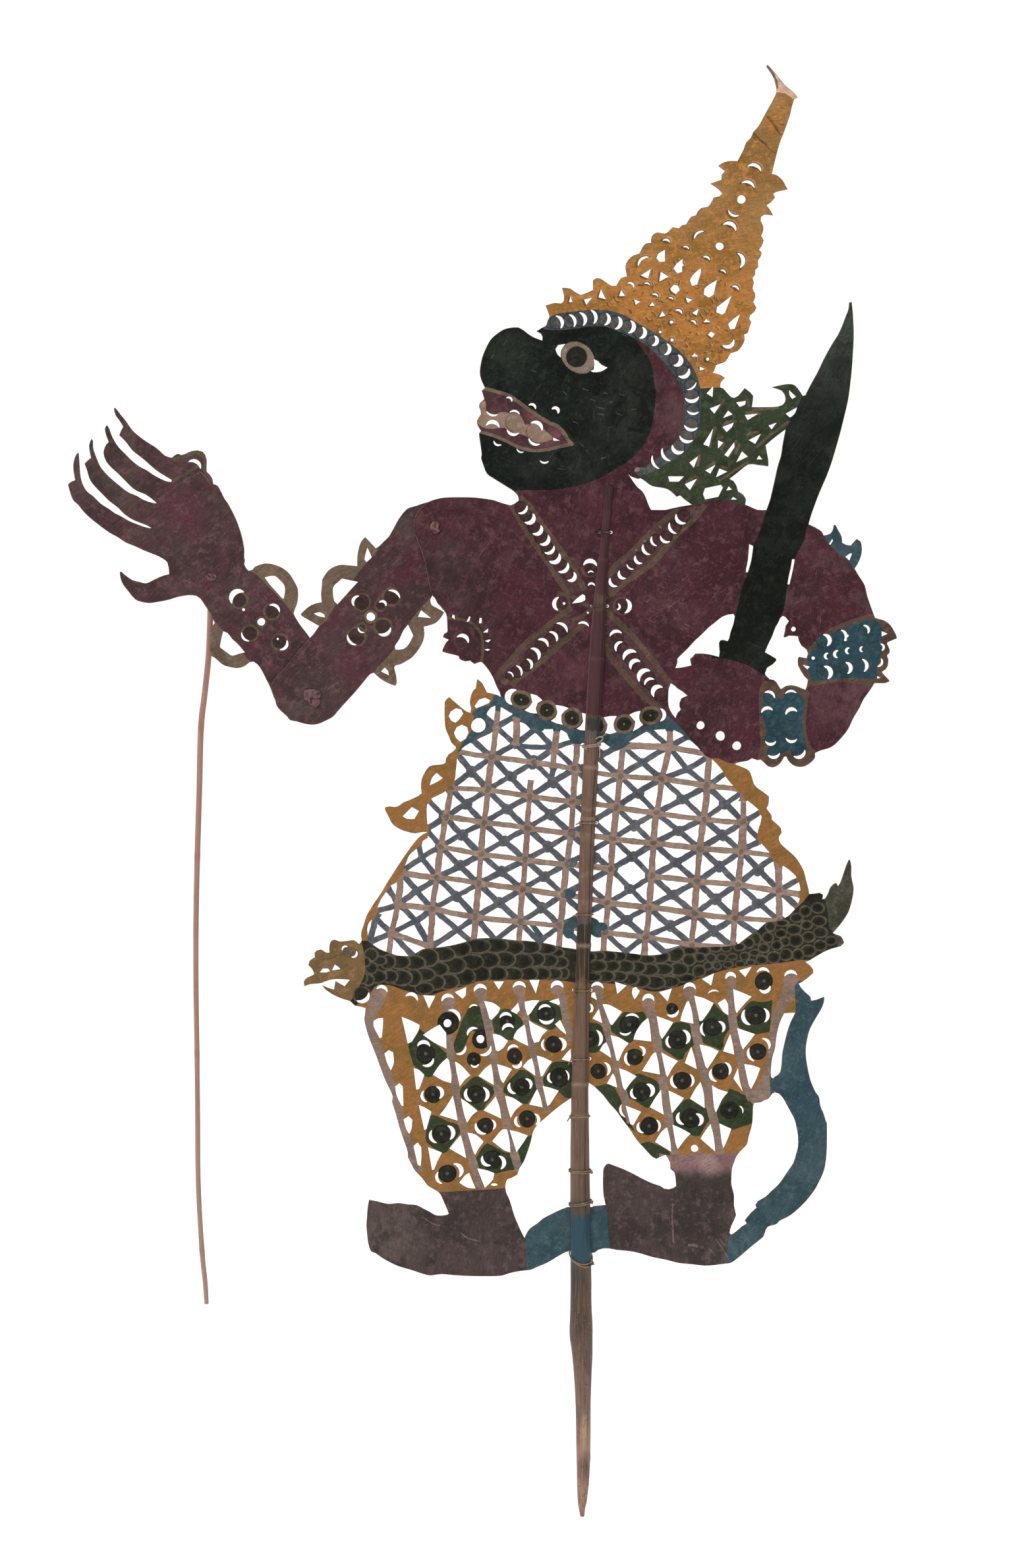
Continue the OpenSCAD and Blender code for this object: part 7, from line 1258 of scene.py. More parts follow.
add(soft([(716, 1084), (725, 1075), (740, 1071), (760, 1072), (760, 1080), (744, 1078), (737, 1090), (738, 1104), (732, 1114), (722, 1112), (728, 1101), (722, 1091)], True, 60, 5), "blue")
field = soft(skirt_field, True, 50, 8)
strip_poly = soft(left_strip, True, 50, 6)
bars = [(strip_poly, "ochre"), (disc(727, 1101, 16.5, n=24, wob=0.04), "blue"), (soft([(778, 1082), (796, 1084), (814, 1094), (826, 1108), (814, 1114), (806, 1108), (797, 1099), (788, 1096), (778, 1096)], True, 60, 4), "blue"),
    (soft([(802, 1402), (818, 1424), (828, 1424), (812, 1404)], True, 60, 4), "blue")]
broken = {((810, 1157), (804, 1209)): [(805.5, 1184), (804.5, 1197), (804, 1209)]}
torn = {((927, 1319), (989, 1330))}
rows = [[tuple(p) for p in r] for r in lattice]
for j, r in enumerate(rows[:-1]):
    for i in range(min(len(r), len(rows[j + 1])) - 1):
        bars.append((bar(r[i], rows[j + 1][i + 1], 8.6), "slate"))
        bars.append((bar(r[i + 1], rows[j + 1][i], 8.6), "slate"))
bars += [(bar(a, b, 8.6), "slate") for a, b in slant_more]
for j, r in enumerate(rows[:-1]):
    for i in range(min(len(r), len(rows[j + 1])) - 1):
        c = [(r[i][k] + r[i + 1][k] + rows[j + 1][i][k] + rows[j + 1][i + 1][k]) / 4 for k in (0, 1)]
        bars.append((disc(*c, 8.6, wob=0.1, n=14), "slate"))
for r in rows:
    bars += [(disc(x, y, 10.5, wob=0.1, n=16), "slate") for x, y in r]
for j, r in enumerate(rows[:-1]):
    for i in range(min(len(r), len(rows[j + 1]))):
        a, b = r[i], rows[j + 1][i]
        if (a, b) in broken:
            bars.append((stroke(broken[a, b], 9, 5, wob=0.1), "tan"))
        else:
            bars.append((bar(a, b, 9), "tan"))
for r in rows:
    bars += [(bar(a, b, 8), "beige") for a, b in zip(r, r[1:]) if (a, b) not in torn]
for x, y, r, p in ((908, 1411, 13, "blue"), (862, 1412, 11, "blue"), (911, 1143, 7, "slate"), (904, 1302, 8, "slate"), (868, 1309, 8, "slate"), (864, 1357, 9, "blue"), (884, 1166, 6, "slate"), (868, 1264, 6, "slate"),
        (872, 1400, 9, "blue"), (900, 1400, 8, "blue")):
    bars.append((disc(x, y, r, wob=0.12, n=16), p))
for a, b in plain_more:
    bars.append((bar(a, b, 9), "tan" if abs(b[1] - a[1]) > abs(b[0] - a[0]) else "beige"))
for r in rows:
    for x, y in r:
        add(disc(x + rnd.uniform(-1, 1), y + rnd.uniform(-1, 1), 4.2 + rnd.random(), wob=0.18, n=12), "node", field)
add(strip_poly, "ochre")
for j, r in enumerate(rows[:-1]):
    for i in range(min(len(r), len(rows[j + 1])) - 1):
        c = [(r[i][k] + r[i + 1][k] + rows[j + 1][i][k] + rows[j + 1][i + 1][k]) / 4 for k in (0, 1)]
        add(disc(*c, 4.2, wob=0.15, n=10), "dusk", field)

# snake
snake = soft(snake_top, False, 60, 8) + [(1236, 1340), (1262, 1325), (1285, 1290), (1310, 1290), (1310, 1370), (1285, 1415), (1300, 1432), (1270, 1450)] + soft(snake_low, False, 60, 8)
add(snake, "scale")
for x, y, r, ry in sorted(scales, reverse=True):
    k = 0.55 if x < 1045 else 0.12       # the scales of the body lie over one another from the head on; those of the tail are small rings
    add(disc(x - k * r, y, (1 + k) * r + 2.1, ry + 2.1, n=22, wob=0.02), "line", snake)
    add(disc(x - k * r - 0.4, y, (1 + k) * r - 0.7, ry - 0.6, n=20, wob=0.02), "scale", snake)
    if r > 6:
        add(disc(x - 0.1 * r, y, r * 0.62, ry * 0.62, n=10, wob=0.08), "scaledark", snake)
add(soft([(1248, 1350), (1256, 1340), (1266, 1330), (1290, 1290), (1315, 1300), (1310, 1370), (1290, 1405), (1272, 1418), (1258, 1410), (1256, 1385), (1252, 1368)]), "leaf")
add(soft([(1262, 1414), (1280, 1412), (1296, 1430), (1275, 1442), (1270, 1438), (1272, 1426)]), "leaf")
head = soft(head_area, True, 60, 8)
add(head, "mustard")
ringed(areas, 531, 1445, 11, [(1, "vein"), (0.84, "olive"), (0.3, "umber")], 0.05, 0.78, 10)
for p in ([(470, 1472), (490, 1466), (512, 1463), (530, 1466)], [(505, 1430), (512, 1444), (526, 1452)], [(480, 1452), (496, 1456), (510, 1452)]):
    add(stroke(p, 2.2, wob=0.2), "umber", head)
boss(areas, [(541, 1519), (556, 1521), (560, 1506)], "line", "scale", 0.3, 1, 2)

# trousers
trousers = soft(trouser_area, True, 60, 8)
add(trousers, "ochre")
for p in green_cells:
    add(soft(p, True, 60, 5), "green", trousers)
for x, y, r, c in eyes:
    ringed(areas, x, y, r, [(1, "scaledark"), (0.8, "scale"), (0.66, "ink"), (0.19, "pupil")])
for w, line in strips:
    add(stroke(line, 2 * w + 2, wob=0.05), "strip")
add(soft(outer_strip, True, 60, 6), "strip")
for x, y, r in strip_heads:
    add(disc(x, y, r, wob=0.04), "striphead")
add(soft(tail_area, True, 60, 8), "blue")
add(soft(bridge_area, True, 60, 8), "blue")
add(soft(shoe_left, True, 60, 8), "shoe")
add(soft(shoe_right, True, 60, 8), "shoe")
add(soft(ankle_area, True, 60, 8), "mauve")
for p, w in (([(1021, 1826), (1020, 1850), (1022, 1886)], 2.4), ([(1044, 1890), (1052, 1889), (1059, 1892)], 4), ([(1086, 1881), (1096, 1894), (1104, 1908)], 1.8), ([(1092, 1880), (1101, 1892)], 1.5),
        ([(1078, 1896), (1086, 1907)], 1.5), ([(640, 1846), (655, 1856), (668, 1860)], 1.8), ([(700, 1872), (712, 1880), (730, 1884)], 2)):
    add(stroke(p, w, 4, wob=0.3), "scuff")


def smooth(a, b, v):
    t = min(1, max(0, (v - a) / (b - a)))
    return t * t * (3 - 2 * t)


def warp_body(x, y):
    """How far the old sheet bows out of its plane, in metres; none at the stick and the shoulder."""
    px = 882 + 3 * along((2020 - y) / 3, 1)
    free = smooth(26, 110, abs(x - px)) * smooth(20, 90, math.dist((x, y), shoulder))
    n = noise.noise(Vector((x / 190, y / 190, 3.1))) + 0.35 * noise.noise(Vector((x / 60, y / 60, 8.4)))
    if x < 890 and 700 < y < 1560:
        w = -0.00015 - 0.0002 * n
    else:
        w = 0.0006 * n
    w *= free
    top = smooth(520, 160, y)
    w += top * 0.0012 * noise.noise(Vector((x / 120, y / 120, 5.5))) - 0.0012 * top * top
    w += smooth(1180, 1295, x) * smooth(760, 470, y) * -0.0015
    w += smooth(1130, 1260, x) * smooth(1480, 1700, y) * 0.0012 * noise.noise(Vector((x / 110, y / 110, 1.7)))
    # the loose flap at the very top
    d = ((x - 1178) * 12 - (y - 140) * 27) / math.hypot(27, 12)
    if y < 160 and d > 0:
        w -= 0.005 * (d / 42) ** 1.6
    return w


BODY = ["purple", "blade", "vein", "khaki", "teal", "ring", "mustard", "gold", "raw", "pine", "umber", "night", "band", "coin", "ink", "pearl", "gum", "olive", "strap", "strapdot", "blue", "deep", "ochre", "edge", "scale", "scaledark",
    "line", "leaf", "slate", "tan", "beige", "dusk", "green", "strip", "striphead", "pupil", "dent", "curl", "glint", "scuff", "shoe", "mauve", "node", "graze"]
body = sheet("figure_hide", outline, holes, areas, "purple", -0.0006, 0.0012, BODY, "edge", warp_body, field, bars)

# upper arm
ARM = ["plum", "olive", "armcore", "armring", "cuffring", "edge"]
arm_areas = [
    (soft([(576, 832), (560, 850), (543, 870), (525, 897), (508, 921), (484, 951), (450, 950), (440, 930), (480, 860), (540, 805)], True, 60, 8), "olive", None),
    (soft([(655, 905), (640, 921), (619, 947), (600, 983), (568, 1021), (570, 1045), (610, 1050), (650, 1000), (690, 930), (670, 915)], True, 60, 8), "olive", None)]
for x, y, r in ((549, 914, 13), (594, 906, 13), (577, 919, 8), (581, 951, 13), (549, 953, 7), (541, 966, 14)):
    ringed(arm_areas, x, y, r + 1.8, [(1, "armring"), ((r - 1.6) / (r + 1.8), "armcore")])
arm_areas.append((disc(562.5, 936, 10.5, n=20), "olive", None))
arm_holes = [soft(p, True, 50, 5) for p in upper_windows] + [moon(q) for q in upper_moons]
arm_holes += [disc(562.5, 936, 6.5, n=20, wob=0.03), disc(*shoulder, 5.55, n=24), disc(*elbow, 5.55, n=24)]
upper = sheet("upper_arm_sheet", soft(upper_arm), arm_holes, arm_areas, "plum", 0.0009, 0.0012, ARM, "edge", lambda x, y: 0.0)

# forearm and hand
fore_areas = [
    (soft([(374, 862), (390, 873), (410, 893), (430, 914), (447, 934), (462, 930), (465, 880), (430, 848), (390, 845)], True, 60, 8), "olive", None),
    (soft([(322, 938), (330, 948), (345, 965), (360, 982), (378, 1002), (384, 1006), (360, 1025), (320, 1010), (308, 975), (312, 945)], True, 60, 8), "olive", None),
    (stroke([(259, 731), (275, 722), (290, 713), (302, 706), (313, 716), (322, 729)], 5, wob=0.15), "cuffring", None),
    (stroke([(264, 738), (280, 729), (294, 721), (304, 716), (312, 724), (320, 736)], 2.4, wob=0.2), "cuffring", None),
    (stroke([(262, 697), (275, 693), (300, 687), (310, 694), (311, 712)], 6, wob=0.15), "cuffring", None)]
for x, y, r in ((363, 911, 12), (412, 928, 12), (379, 961, 12), (424, 974, 12)):
    ringed(fore_areas, x, y, r + 1.8, [(1, "armring"), ((r - 1.6) / (r + 1.8), "armcore")])
fore_areas.append((disc(396, 943.5, 9, n=18), "armring", None))
fore_holes = [soft(p, True, 50, 5) for p in fore_windows] + [moon(q) for q in fore_moons]
fore_holes += [disc(x, y, r, n=14, wob=0.03) for x, y, r in fore_dots] + [disc(*elbow, 5.55, n=24), disc(*wrist, 3.15, n=18)]


def warp_hand(x, y):
    """The fingers curl away from the front."""
    d = smooth(270, 110, x) * smooth(830, 640, y)
    return 0.0011 * d * d


fore = sheet("forearm_sheet", soft(forearm), fore_holes, fore_areas, "plum", 0.0024, 0.0012, ARM, "edge", warp_hand)

for ob, node, where in ((body, "body_hide", "figure"), (upper, "upper_arm_hide", "upper_arm"), (fore, "forearm_hide", "forearm")):
    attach(ob, where)
    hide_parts(node)

# ----------------------------------------------------------------------------
# Stick, ties, knots, loop, rod
# ----------------------------------------------------------------------------
def mesh_object(name, verts, faces, mats, index=None, flat=()):
    me = bpy.data.meshes.new(name)
    me.from_pydata([tuple(v) for v in verts], [], faces)
    for m in mats:
        me.materials.append(MATS[m])
    if index is not None:
        me.polygons.foreach_set("material_index", index)
    me.polygons.foreach_set("use_smooth", [i not in flat for i in range(len(faces))])
    me.validate()
    me.update()
    ob = bpy.data.objects.new(name, me)
    bpy.context.scene.collection.objects.link(ob)
    return ob


def frames(path, closed):
    """A sideways pair of directions at each point of a path, carried along without twist."""
    n = len(path)
    tang = []
    for i in range(n):
        a = path[(i - 1) % n] if closed or i > 0 else path[i]
        b = path[(i + 1) % n] if closed or i < n - 1 else path[i]
        tang.append((b - a).normalized())
    u = tang[0].orthogonal().normalized()
    us = [u]
    for i in range(1, n):
        u = us[-1] - tang[i] * us[-1].dot(tang[i])
        us.append(u.normalized())
    if closed:
        last = us[-1] - tang[0] * us[-1].dot(tang[0])
        ang = math.atan2(last.normalized().cross(us[0]).dot(tang[0]), last.normalized().dot(us[0]))
        us = [Matrix.Rotation(ang * i / n, 3, tang[i]) @ us[i] for i in range(n)]
    return tang, us, [t.cross(u) for t, u in zip(tang, us)]


def tube(path, radius, n=10, closed=False, verts=None, faces=None):
    """A round tube along a path; radius is a number or a list with one for each point. Open ends are closed by a low dome."""
    verts = [] if verts is None else verts
    faces = [] if faces is None else faces
    tang, us, vs = frames(path, closed)
    k0 = len(verts)
    m = len(path)
    for i in range(m):
        r = radius[i] if isinstance(radius, (list, tuple)) else radius
        for j in range(n):
            a = 2 * math.pi * j / n
            verts.append(path[i] + us[i] * (r * math.cos(a)) + vs[i] * (r * math.sin(a)))
    for i in range(m if closed else m - 1):
        for j in range(n):
            a, b = k0 + i * n + j, k0 + i * n + (j + 1) % n
            c, d = k0 + ((i + 1) % m) * n + j, k0 + ((i + 1) % m) * n + (j + 1) % n
            faces.append((a, b, d, c))
    if not closed:
        for i, s in ((0, -1), (m - 1, 1)):
            r = radius[i] if isinstance(radius, (list, tuple)) else radius
            k = len(verts)
            verts.append(path[i] + tang[i] * (s * r * 0.45))
            for j in range(n):
                a, b = k0 + i * n + j, k0 + i * n + (j + 1) % n
                faces.append((b, a, k) if s < 0 else (a, b, k))
    return verts, faces


def rope(path, strand, offset, pitch, closed=False, n=8, plies=2, verts=None, faces=None):
    """Twisted thread: plies laid round the path."""
    verts = [] if verts is None else verts
    faces = [] if faces is None else faces
    tang, us, vs = frames(path, closed)
    s = [0.0]
    for a, b in zip(path, path[1:]):
        s.append(s[-1] + (b - a).length)
    total = s[-1] + ((path[0] - path[-1]).length if closed else 0)
    turns = max(1, round(total / pitch)) if closed else total / pitch
    for p in range(plies):
        line = []
        for i, q in enumerate(path):
            a = 2 * math.pi * (turns * s[i] / total + p / plies)
            line.append(q + us[i] * (offset * math.cos(a)) + vs[i] * (offset * math.sin(a)))
        tube(line, strand, n, closed, verts, faces)
    return verts, faces


def curve_pts(pts, step, closed=False):
    """A smooth line through points in space."""
    n = len(pts)
    out = []
    for i in range(n if closed else n - 1):
        g = [pts[(i + k) % n] if closed else pts[min(n - 1, max(0, i + k))] for k in (-1, 0, 1, 2)]
        k = max(2, int((g[2] - g[1]).length / step))
        for s in range(k):
            t = s / k
            out.append(0.5 * (2 * g[1] + (g[2] - g[0]) * t + (2 * g[0] - 5 * g[1] + 4 * g[2] - g[3]) * t * t + (3 * g[1] - g[0] - 3 * g[2] + g[3]) * t ** 3))
    if not closed:
        out.append(pts[-1].copy())
    return out


def thread(name, base, dark, light):
    k = Nodes(name)
    n1, n2 = k.noise(600, 5, 0.65), k.noise(90, 3, 0.6)
    fib = k.noise(1.0, 3, 0.6, k.map((5200, 5200, 900)))
    col = k.mix(k.ramp(n2, 0.4, 0.65), lin(base), lin(dark))
    col = k.mix(k.math("MULTIPLY", k.ramp(n1, 0.45, 0.7), 0.7), col, lin(light))
    col = k.mix(1.0, col, k.ramp(fib, 0.3, 0.7, 0.82, 1.12), "MULTIPLY")
    k.finish(col, k.ramp(n1, 0.3, 0.7, 0.62, 0.82), k.bump(fib, 0.5, 0.00012), 0.25)


thread("thread_dark", (100, 70, 72), (80, 54, 57), (120, 92, 92))
thread("thread_brown", (142, 119, 99), (116, 95, 79), (168, 146, 124))
thread("thread_pale", (170, 148, 136), (140, 118, 106), (200, 180, 170))
thread("cord_mauve", (110, 84, 87), (92, 68, 72), (136, 106, 110))
# the patches are painted highlights on the side of each knot toward the key lamp, and the mesh attribute darkens their
# pressed clefts as painted shade
paint("bead", (116, 80, 70), (98, 64, 56), (136, 102, 90), (166, 138, 124), wear=0.35, scratch=0.0, rough=0.5, crease_shade=(46, 28, 28), patches=[(656, 798, 10, (152, 122, 110), 0.9)])
paint("fold", (110, 80, 84), (96, 68, 72), (122, 92, 96), (146, 120, 122), wear=0.35, scratch=0.0, rough=0.55, crease_shade=(56, 34, 38), patches=[(473, 1048, 10, (128, 102, 104), 0.8)])
paint("wristcord", (108, 80, 84), (90, 64, 68), (126, 97, 101), (156, 128, 130), wear=0.45, scratch=0.0, rough=0.55, crease_shade=(58, 40, 42), patches=[(318, 872, 7, (146, 114, 118), 0.9)])


def cane():
    """Old split bamboo: fine lengthwise fibre, darker nodes, and the figure's paint carried over it in places."""
    k = Nodes("cane")
    fib = k.noise(1.0, 4, 0.62, k.map((1700, 1700, 14)))
    fine = k.noise(1.0, 3, 0.6, k.map((4600, 4600, 60)))
    big = k.noise(38, 4, 0.6)
    spots = k.noise(420, 6, 0.7)
    col = k.mix(k.ramp(k.axis(2), Z(2010), Z(2160)), lin((117, 92, 76)), lin((160, 126, 111)))
    stripe = k.math("MULTIPLY", k.math("MULTIPLY", k.ramp(k.axis(0), X(882.5), X(885)), k.ramp(k.axis(0), X(892), X(890))),
        k.math("MULTIPLY", k.ramp(k.axis(2), Z(2203), Z(2197)), k.ramp(k.axis(2), Z(2142), Z(2152))))
    col = k.mix(k.math("MULTIPLY", stripe, 0.9), col, lin((178, 152, 120)))
    col = k.mix(k.math("MULTIPLY", k.ramp(fib, 0.42, 0.66), 0.75), col, lin((91, 73, 59)))
    col = k.mix(k.math("MULTIPLY", k.ramp(big, 0.45, 0.7), 0.5), col, lin((98, 74, 66)))
    col = k.mix(k.math("MULTIPLY", k.ramp(fine, 0.58, 0.74), 0.75), col, lin((147, 123, 104)))
    col = k.mix(k.math("MULTIPLY", k.ramp(fine, 0.42, 0.3), 0.75), col, lin((56, 46, 40)))
    # hand stains and rubbed places
    streak = k.ramp(k.noise(1.0, 3, 0.6, k.map((900, 900, 60))), 0.36, 0.58, 0.35, 1.0)
    for x, y, r, c, share in ((868, 1945, 56, (58, 59, 53), 1.0), (870, 2002, 52, (62, 57, 50), 0.95), (902, 2060, 56, (66, 63, 57), 0.68), (882, 2118, 54, (88, 76, 66), 0.58), (894, 2226, 30, (82, 68, 62), 0.95),
            (872, 1838, 36, (68, 67, 59), 1.0), (898, 1800, 40, (76, 71, 61), 0.8)):
        col = k.mix(k.math("MULTIPLY", k.math("MULTIPLY", near(k, x, y, r, 0.75), streak), share), col, lin(c))
    flecks = k.noise(900, 4, 0.6)
    low = k.ramp(k.axis(2), Z(1940), Z(1990))
    col = k.mix(k.math("MULTIPLY", k.math("MULTIPLY", k.ramp(flecks, 0.63, 0.7), low), 0.75), col, lin((184, 154, 128)))
    col = k.mix(k.math("MULTIPLY", k.math("MULTIPLY", k.ramp(spots, 0.42, 0.34), low), 0.55), col, lin((66, 55, 48)))
    # paint carried over from the sheet: (top, bottom, colour, darker, share) in template heights
    wav = k.math("MULTIPLY", k.math("SUBTRACT", k.noise(170, 4, 0.6), 0.5), 0.012)
    z = k.math("ADD", k.axis(2), wav)
    thin = k.ramp(k.noise(1.0, 4, 0.6, k.map((1500, 1500, 26))), 0.34, 0.5)
    for top, low, c, d, much in ((690, 1086, (78, 46, 51), (66, 40, 43), 1.6), (690, 1086, (80, 48, 53), (68, 41, 45), 0.9), (715, 775, (62, 38, 43), (50, 31, 35), 0.9), (900, 924, (100, 80, 66), (84, 66, 56), 0.8), (1088, 1112, (53, 54, 50), (44, 44, 40), 0.95),
            (1112, 1124, (72, 84, 90), (60, 72, 78), 0.8), (1392, 1418, (70, 80, 84), (56, 64, 66), 0.6), (1405, 1492, (48, 49, 38), (34, 35, 26), 0.95),
            (1490, 1506, (110, 92, 56), (92, 78, 50), 0.8), (1220, 1229, (148, 123, 110), (132, 106, 94), 0.5), (1269, 1278, (148, 123, 110), (132, 106, 94), 0.45),
            (1319, 1328, (146, 124, 108), (130, 106, 92), 0.5), (1367, 1377, (146, 124, 108), (130, 106, 92), 0.5), (1845, 1916, (54, 80, 88), (45, 71, 80), 1.8), (1850, 1914, (48, 78, 94), (42, 68, 82), 0.7)):
        m = k.math("MULTIPLY", k.ramp(z, Z(low) - 0.0012, Z(low) + 0.0012), k.ramp(z, Z(top) + 0.0012, Z(top) - 0.0012))
        m = k.math("MULTIPLY", m, k.math("MINIMUM", k.math("MULTIPLY", k.math("ADD", thin, max(0.0, much - 1)), much), 1.0))
        col = k.mix(m, col, k.mix(k.ramp(fib, 0.35, 0.65), lin(c), lin(d)))
    # painted shade in the long crack of the front half
    a = k.t.nodes.new("ShaderNodeAttribute")
    a.attribute_name = "crease_shade"
    col = k.mix(k.math("MULTIPLY", a.outputs["Fac"], 0.85), col, lin((40, 28, 28)))
    # painted highlight down the stick's left side, toward the key lamp
    a = k.t.nodes.new("ShaderNodeAttribute")
    a.attribute_name = "left_highlight"
    col = k.mix(k.math("MULTIPLY", a.outputs["Fac"], k.ramp(fine, 0.35, 0.6, 0.15, 0.6)), col, lin((150, 116, 116)))
    a = k.t.nodes.new("ShaderNodeAttribute")
    a.attribute_name = "joint"
    col = k.mix(k.math("MULTIPLY", a.outputs["Fac"], k.ramp(spots, 0.3, 0.6, 0.3, 0.8)), col, lin((150, 124, 106)))
    h = k.math("ADD", k.math("MULTIPLY", fib, 1.0), k.math("MULTIPLY", fine, 0.6))
    k.finish(col, k.ramp(fib, 0.3, 0.7, 0.46, 0.62), k.bump(h, 0.45, 0.00035), 0.2)


cane()


def rod_wood():
    k = Nodes("rod_wood")
    fib = k.noise(1.0, 4, 0.62, k.map((2400, 2400, 22)))
    fine = k.noise(1.0, 3, 0.6, k.map((6000, 6000, 90)))
    big = k.noise(30, 3, 0.6)
    col = k.mix(k.ramp(fib, 0.36, 0.66), lin((172, 133, 119)), lin((152, 115, 101)))
    col = k.mix(k.math("MULTIPLY", k.ramp(big, 0.4, 0.7), 0.6), col, lin((167, 128, 111)))
    col = k.mix(k.math("MULTIPLY", k.ramp(fine, 0.6, 0.75), 0.6), col, lin((188, 156, 140)))
    col = k.mix(k.math("MULTIPLY", k.ramp(fine, 0.42, 0.3), 0.7), col, lin((98, 72, 66)))
    low = k.ramp(k.math("ADD", k.axis(2), k.math("MULTIPLY", big, 0.03)), 0.15, 0.06)
    col = k.mix(k.math("MULTIPLY", low, 0.6), col, lin((160, 136, 119)))
    a = k.t.nodes.new("ShaderNodeAttribute")
    a.attribute_name = "joint"
    col = k.mix(k.math("MULTIPLY", a.outputs["Fac"], 0.25), col, lin((112, 80, 72)))
    h = k.math("ADD", fib, k.math("MULTIPLY", fine, 0.6))
    k.finish(col, k.ramp(fib, 0.3, 0.7, 0.44, 0.62), k.bump(h, 0.4, 0.0003), 0.2)


rod_wood()


def float_attribute(ob, name, values):
    at = ob.data.attributes.new(name, "FLOAT", "POINT")
    at.data.foreach_set("value", values)


def curve_at(z, k):
    """along(), eased at its corners."""
    w = 9
    return sum(along(max(17, z + d), k) for d in (-w, -w / 2, 0, w / 2, w)) / 5 if z > 26 else along(max(17, z), k)


# the split stick, round below and two half rounds above, as one closed skin (mm until the end)
NF = 30          # points of each half's arc
SPLIT, FLAT, TOP = 28.0, 0.66, 428.0
nodes_z = [109, 125, 195, 259, 285, 340, 390]
# the grip and its point: height, radius, side step
grip = [(20, 5.35, -0.1), (15, 5.4, -0.1), (10, 5.5, -0.05), (6, 5.7, 0), (3, 5.85, 0), (0, 5.9, 0), (-3, 5.85, 0), (-6, 5.65, 0.2), (-9, 5.42, 0.4), (-12, 5.22, 0.6), (-16, 4.92, 0.7), (-21, 4.6, 0.8),
    (-27, 4.3, 0.9), (-33, 4.05, 0.95), (-38, 3.9, 1.0), (-44, 3.82, 1.05), (-50, 3.76, 1.1), (-56, 3.7, 1.1), (-61, 3.65, 1.1), (-64, 3.62, 1.15), (-66, 3.5, 1.1), (-70, 3.36, 1.05), (-74, 3.22, 0.95),
    (-78, 3.05, 0.85), (-81, 2.85, 0.75), (-84, 2.6, 0.65), (-86.5, 2.35, 0.55), (-88.2, 2.1, 0.45), (-89.6, 1.78, 0.4), (-91, 1.6, 0.45), (-92.5, 1.38, 0.5), (-93.4, 1.28, 0.5), (-93.85, 1.05, 0.5)]


def cane_r(z):
    r = curve_at(z, 2)
    for n in nodes_z:
        d = (z - n) / 1.1
        r += 0.24 * math.exp(-d * d) - 0.1 * math.exp(-((z - n - 2.2) / 0.8) ** 2)
    return r + 0.05 * noise.noise(Vector((z / 9, 3.3, 1.1)))


def crease_angle(z):
    """Where the long crack of the front half runs, as an angle from the +X side."""
    return math.radians(-52 + 12 * noise.noise(Vector((z / 60, 0.4, 0.2))))


def ring_angles(r):
    a0 = math.asin(min(0.95, FLAT / r))
    front = [-math.pi + a0 + (math.pi - 2 * a0) * i / (NF - 1) for i in range(NF)]    # from the left end round the front to the right end
    rear = [a0 + (math.pi - 2 * a0) * i / (NF - 1) for i in range(NF)]                # from the right end round the back to the left end
    return front + rear


verts, crease_shade, joint, left_highlight, faces = [], [], [], [], []


def put_ring(z, r, cx, angles, halves=True):
    k = len(verts)
    ca = crease_angle(z)
    for i, a in enumerate(angles):
        rr = r * (1 + 0.012 * noise.noise(Vector((math.cos(a) * 1.5, math.sin(a) * 1.5, z / 25)))) + 0.06 * noise.noise(Vector((math.cos(a) * 6, math.sin(a) * 6, z / 14)))
        d = abs(math.atan2(math.sin(a - ca), math.cos(a - ca))) * r
        # c marks the crack: it is cut in, and the paint darkens it as painted shade
        c = max(0.0, 1 - d / 0.42) * smooth(30, 60, z) * smooth(415, 380, z)
        rr -= 0.34 * c
        x, y = rr * math.cos(a), rr * math.sin(a)
        if halves:
            y = min(y, -FLAT) if i < NF else max(y, FLAT)
        verts.append(Vector((cx + x, y, z)))
        crease_shade.append(c)
        joint.append(max([math.exp(-((z - n) / 1.0) ** 2) for n in nodes_z] + [0]) * (1 if z > 30 else 0) * (1 if z < 305 else 0.1))
        # a painted highlight along the left front, the side that faces the key lamp
        left = math.atan2(math.sin(a - math.radians(202)), math.cos(a - math.radians(202)))
        left_highlight.append(math.exp(-(left / 0.2) ** 2) * (0.9 if z > 290 else 0.35))
    return k


N2 = 2 * NF
rings = []
for z, r, cx in sorted(grip):
    rings.append(put_ring(z, r, cx, ring_angles(r), False))
for z in (23.5, SPLIT):
    rings.append(put_ring(z, cane_r(z), curve_at(z, 1), ring_angles(cane_r(z)), z == SPLIT))
for a, b in zip(rings, rings[1:]):
    for i in range(N2):
        j = (i + 1) % N2
        faces.append((a + i, a + j, b + j, b + i))
tip = len(verts)
verts.append(Vector((0.5, 0, -94.0)))
crease_shade.append(0)
joint.append(0)
left_highlight.append(0)
for i in range(N2):
    faces.append((rings[0] + (i + 1) % N2, rings[0] + i, tip))
k = rings[-1]
faces.append((k, k + NF - 1, k + NF, k + N2 - 1))
levels = sorted({round(SPLIT + 4 * i, 2) for i in range(1, 100) if SPLIT + 4 * i < TOP - 2} | {n + d for n in nodes_z for d in (-2, -1, -0.5, 0, 0.5, 1, 1.6, 2.2, 3)} | {TOP - 1.2, TOP - 0.4, TOP})
prev = k
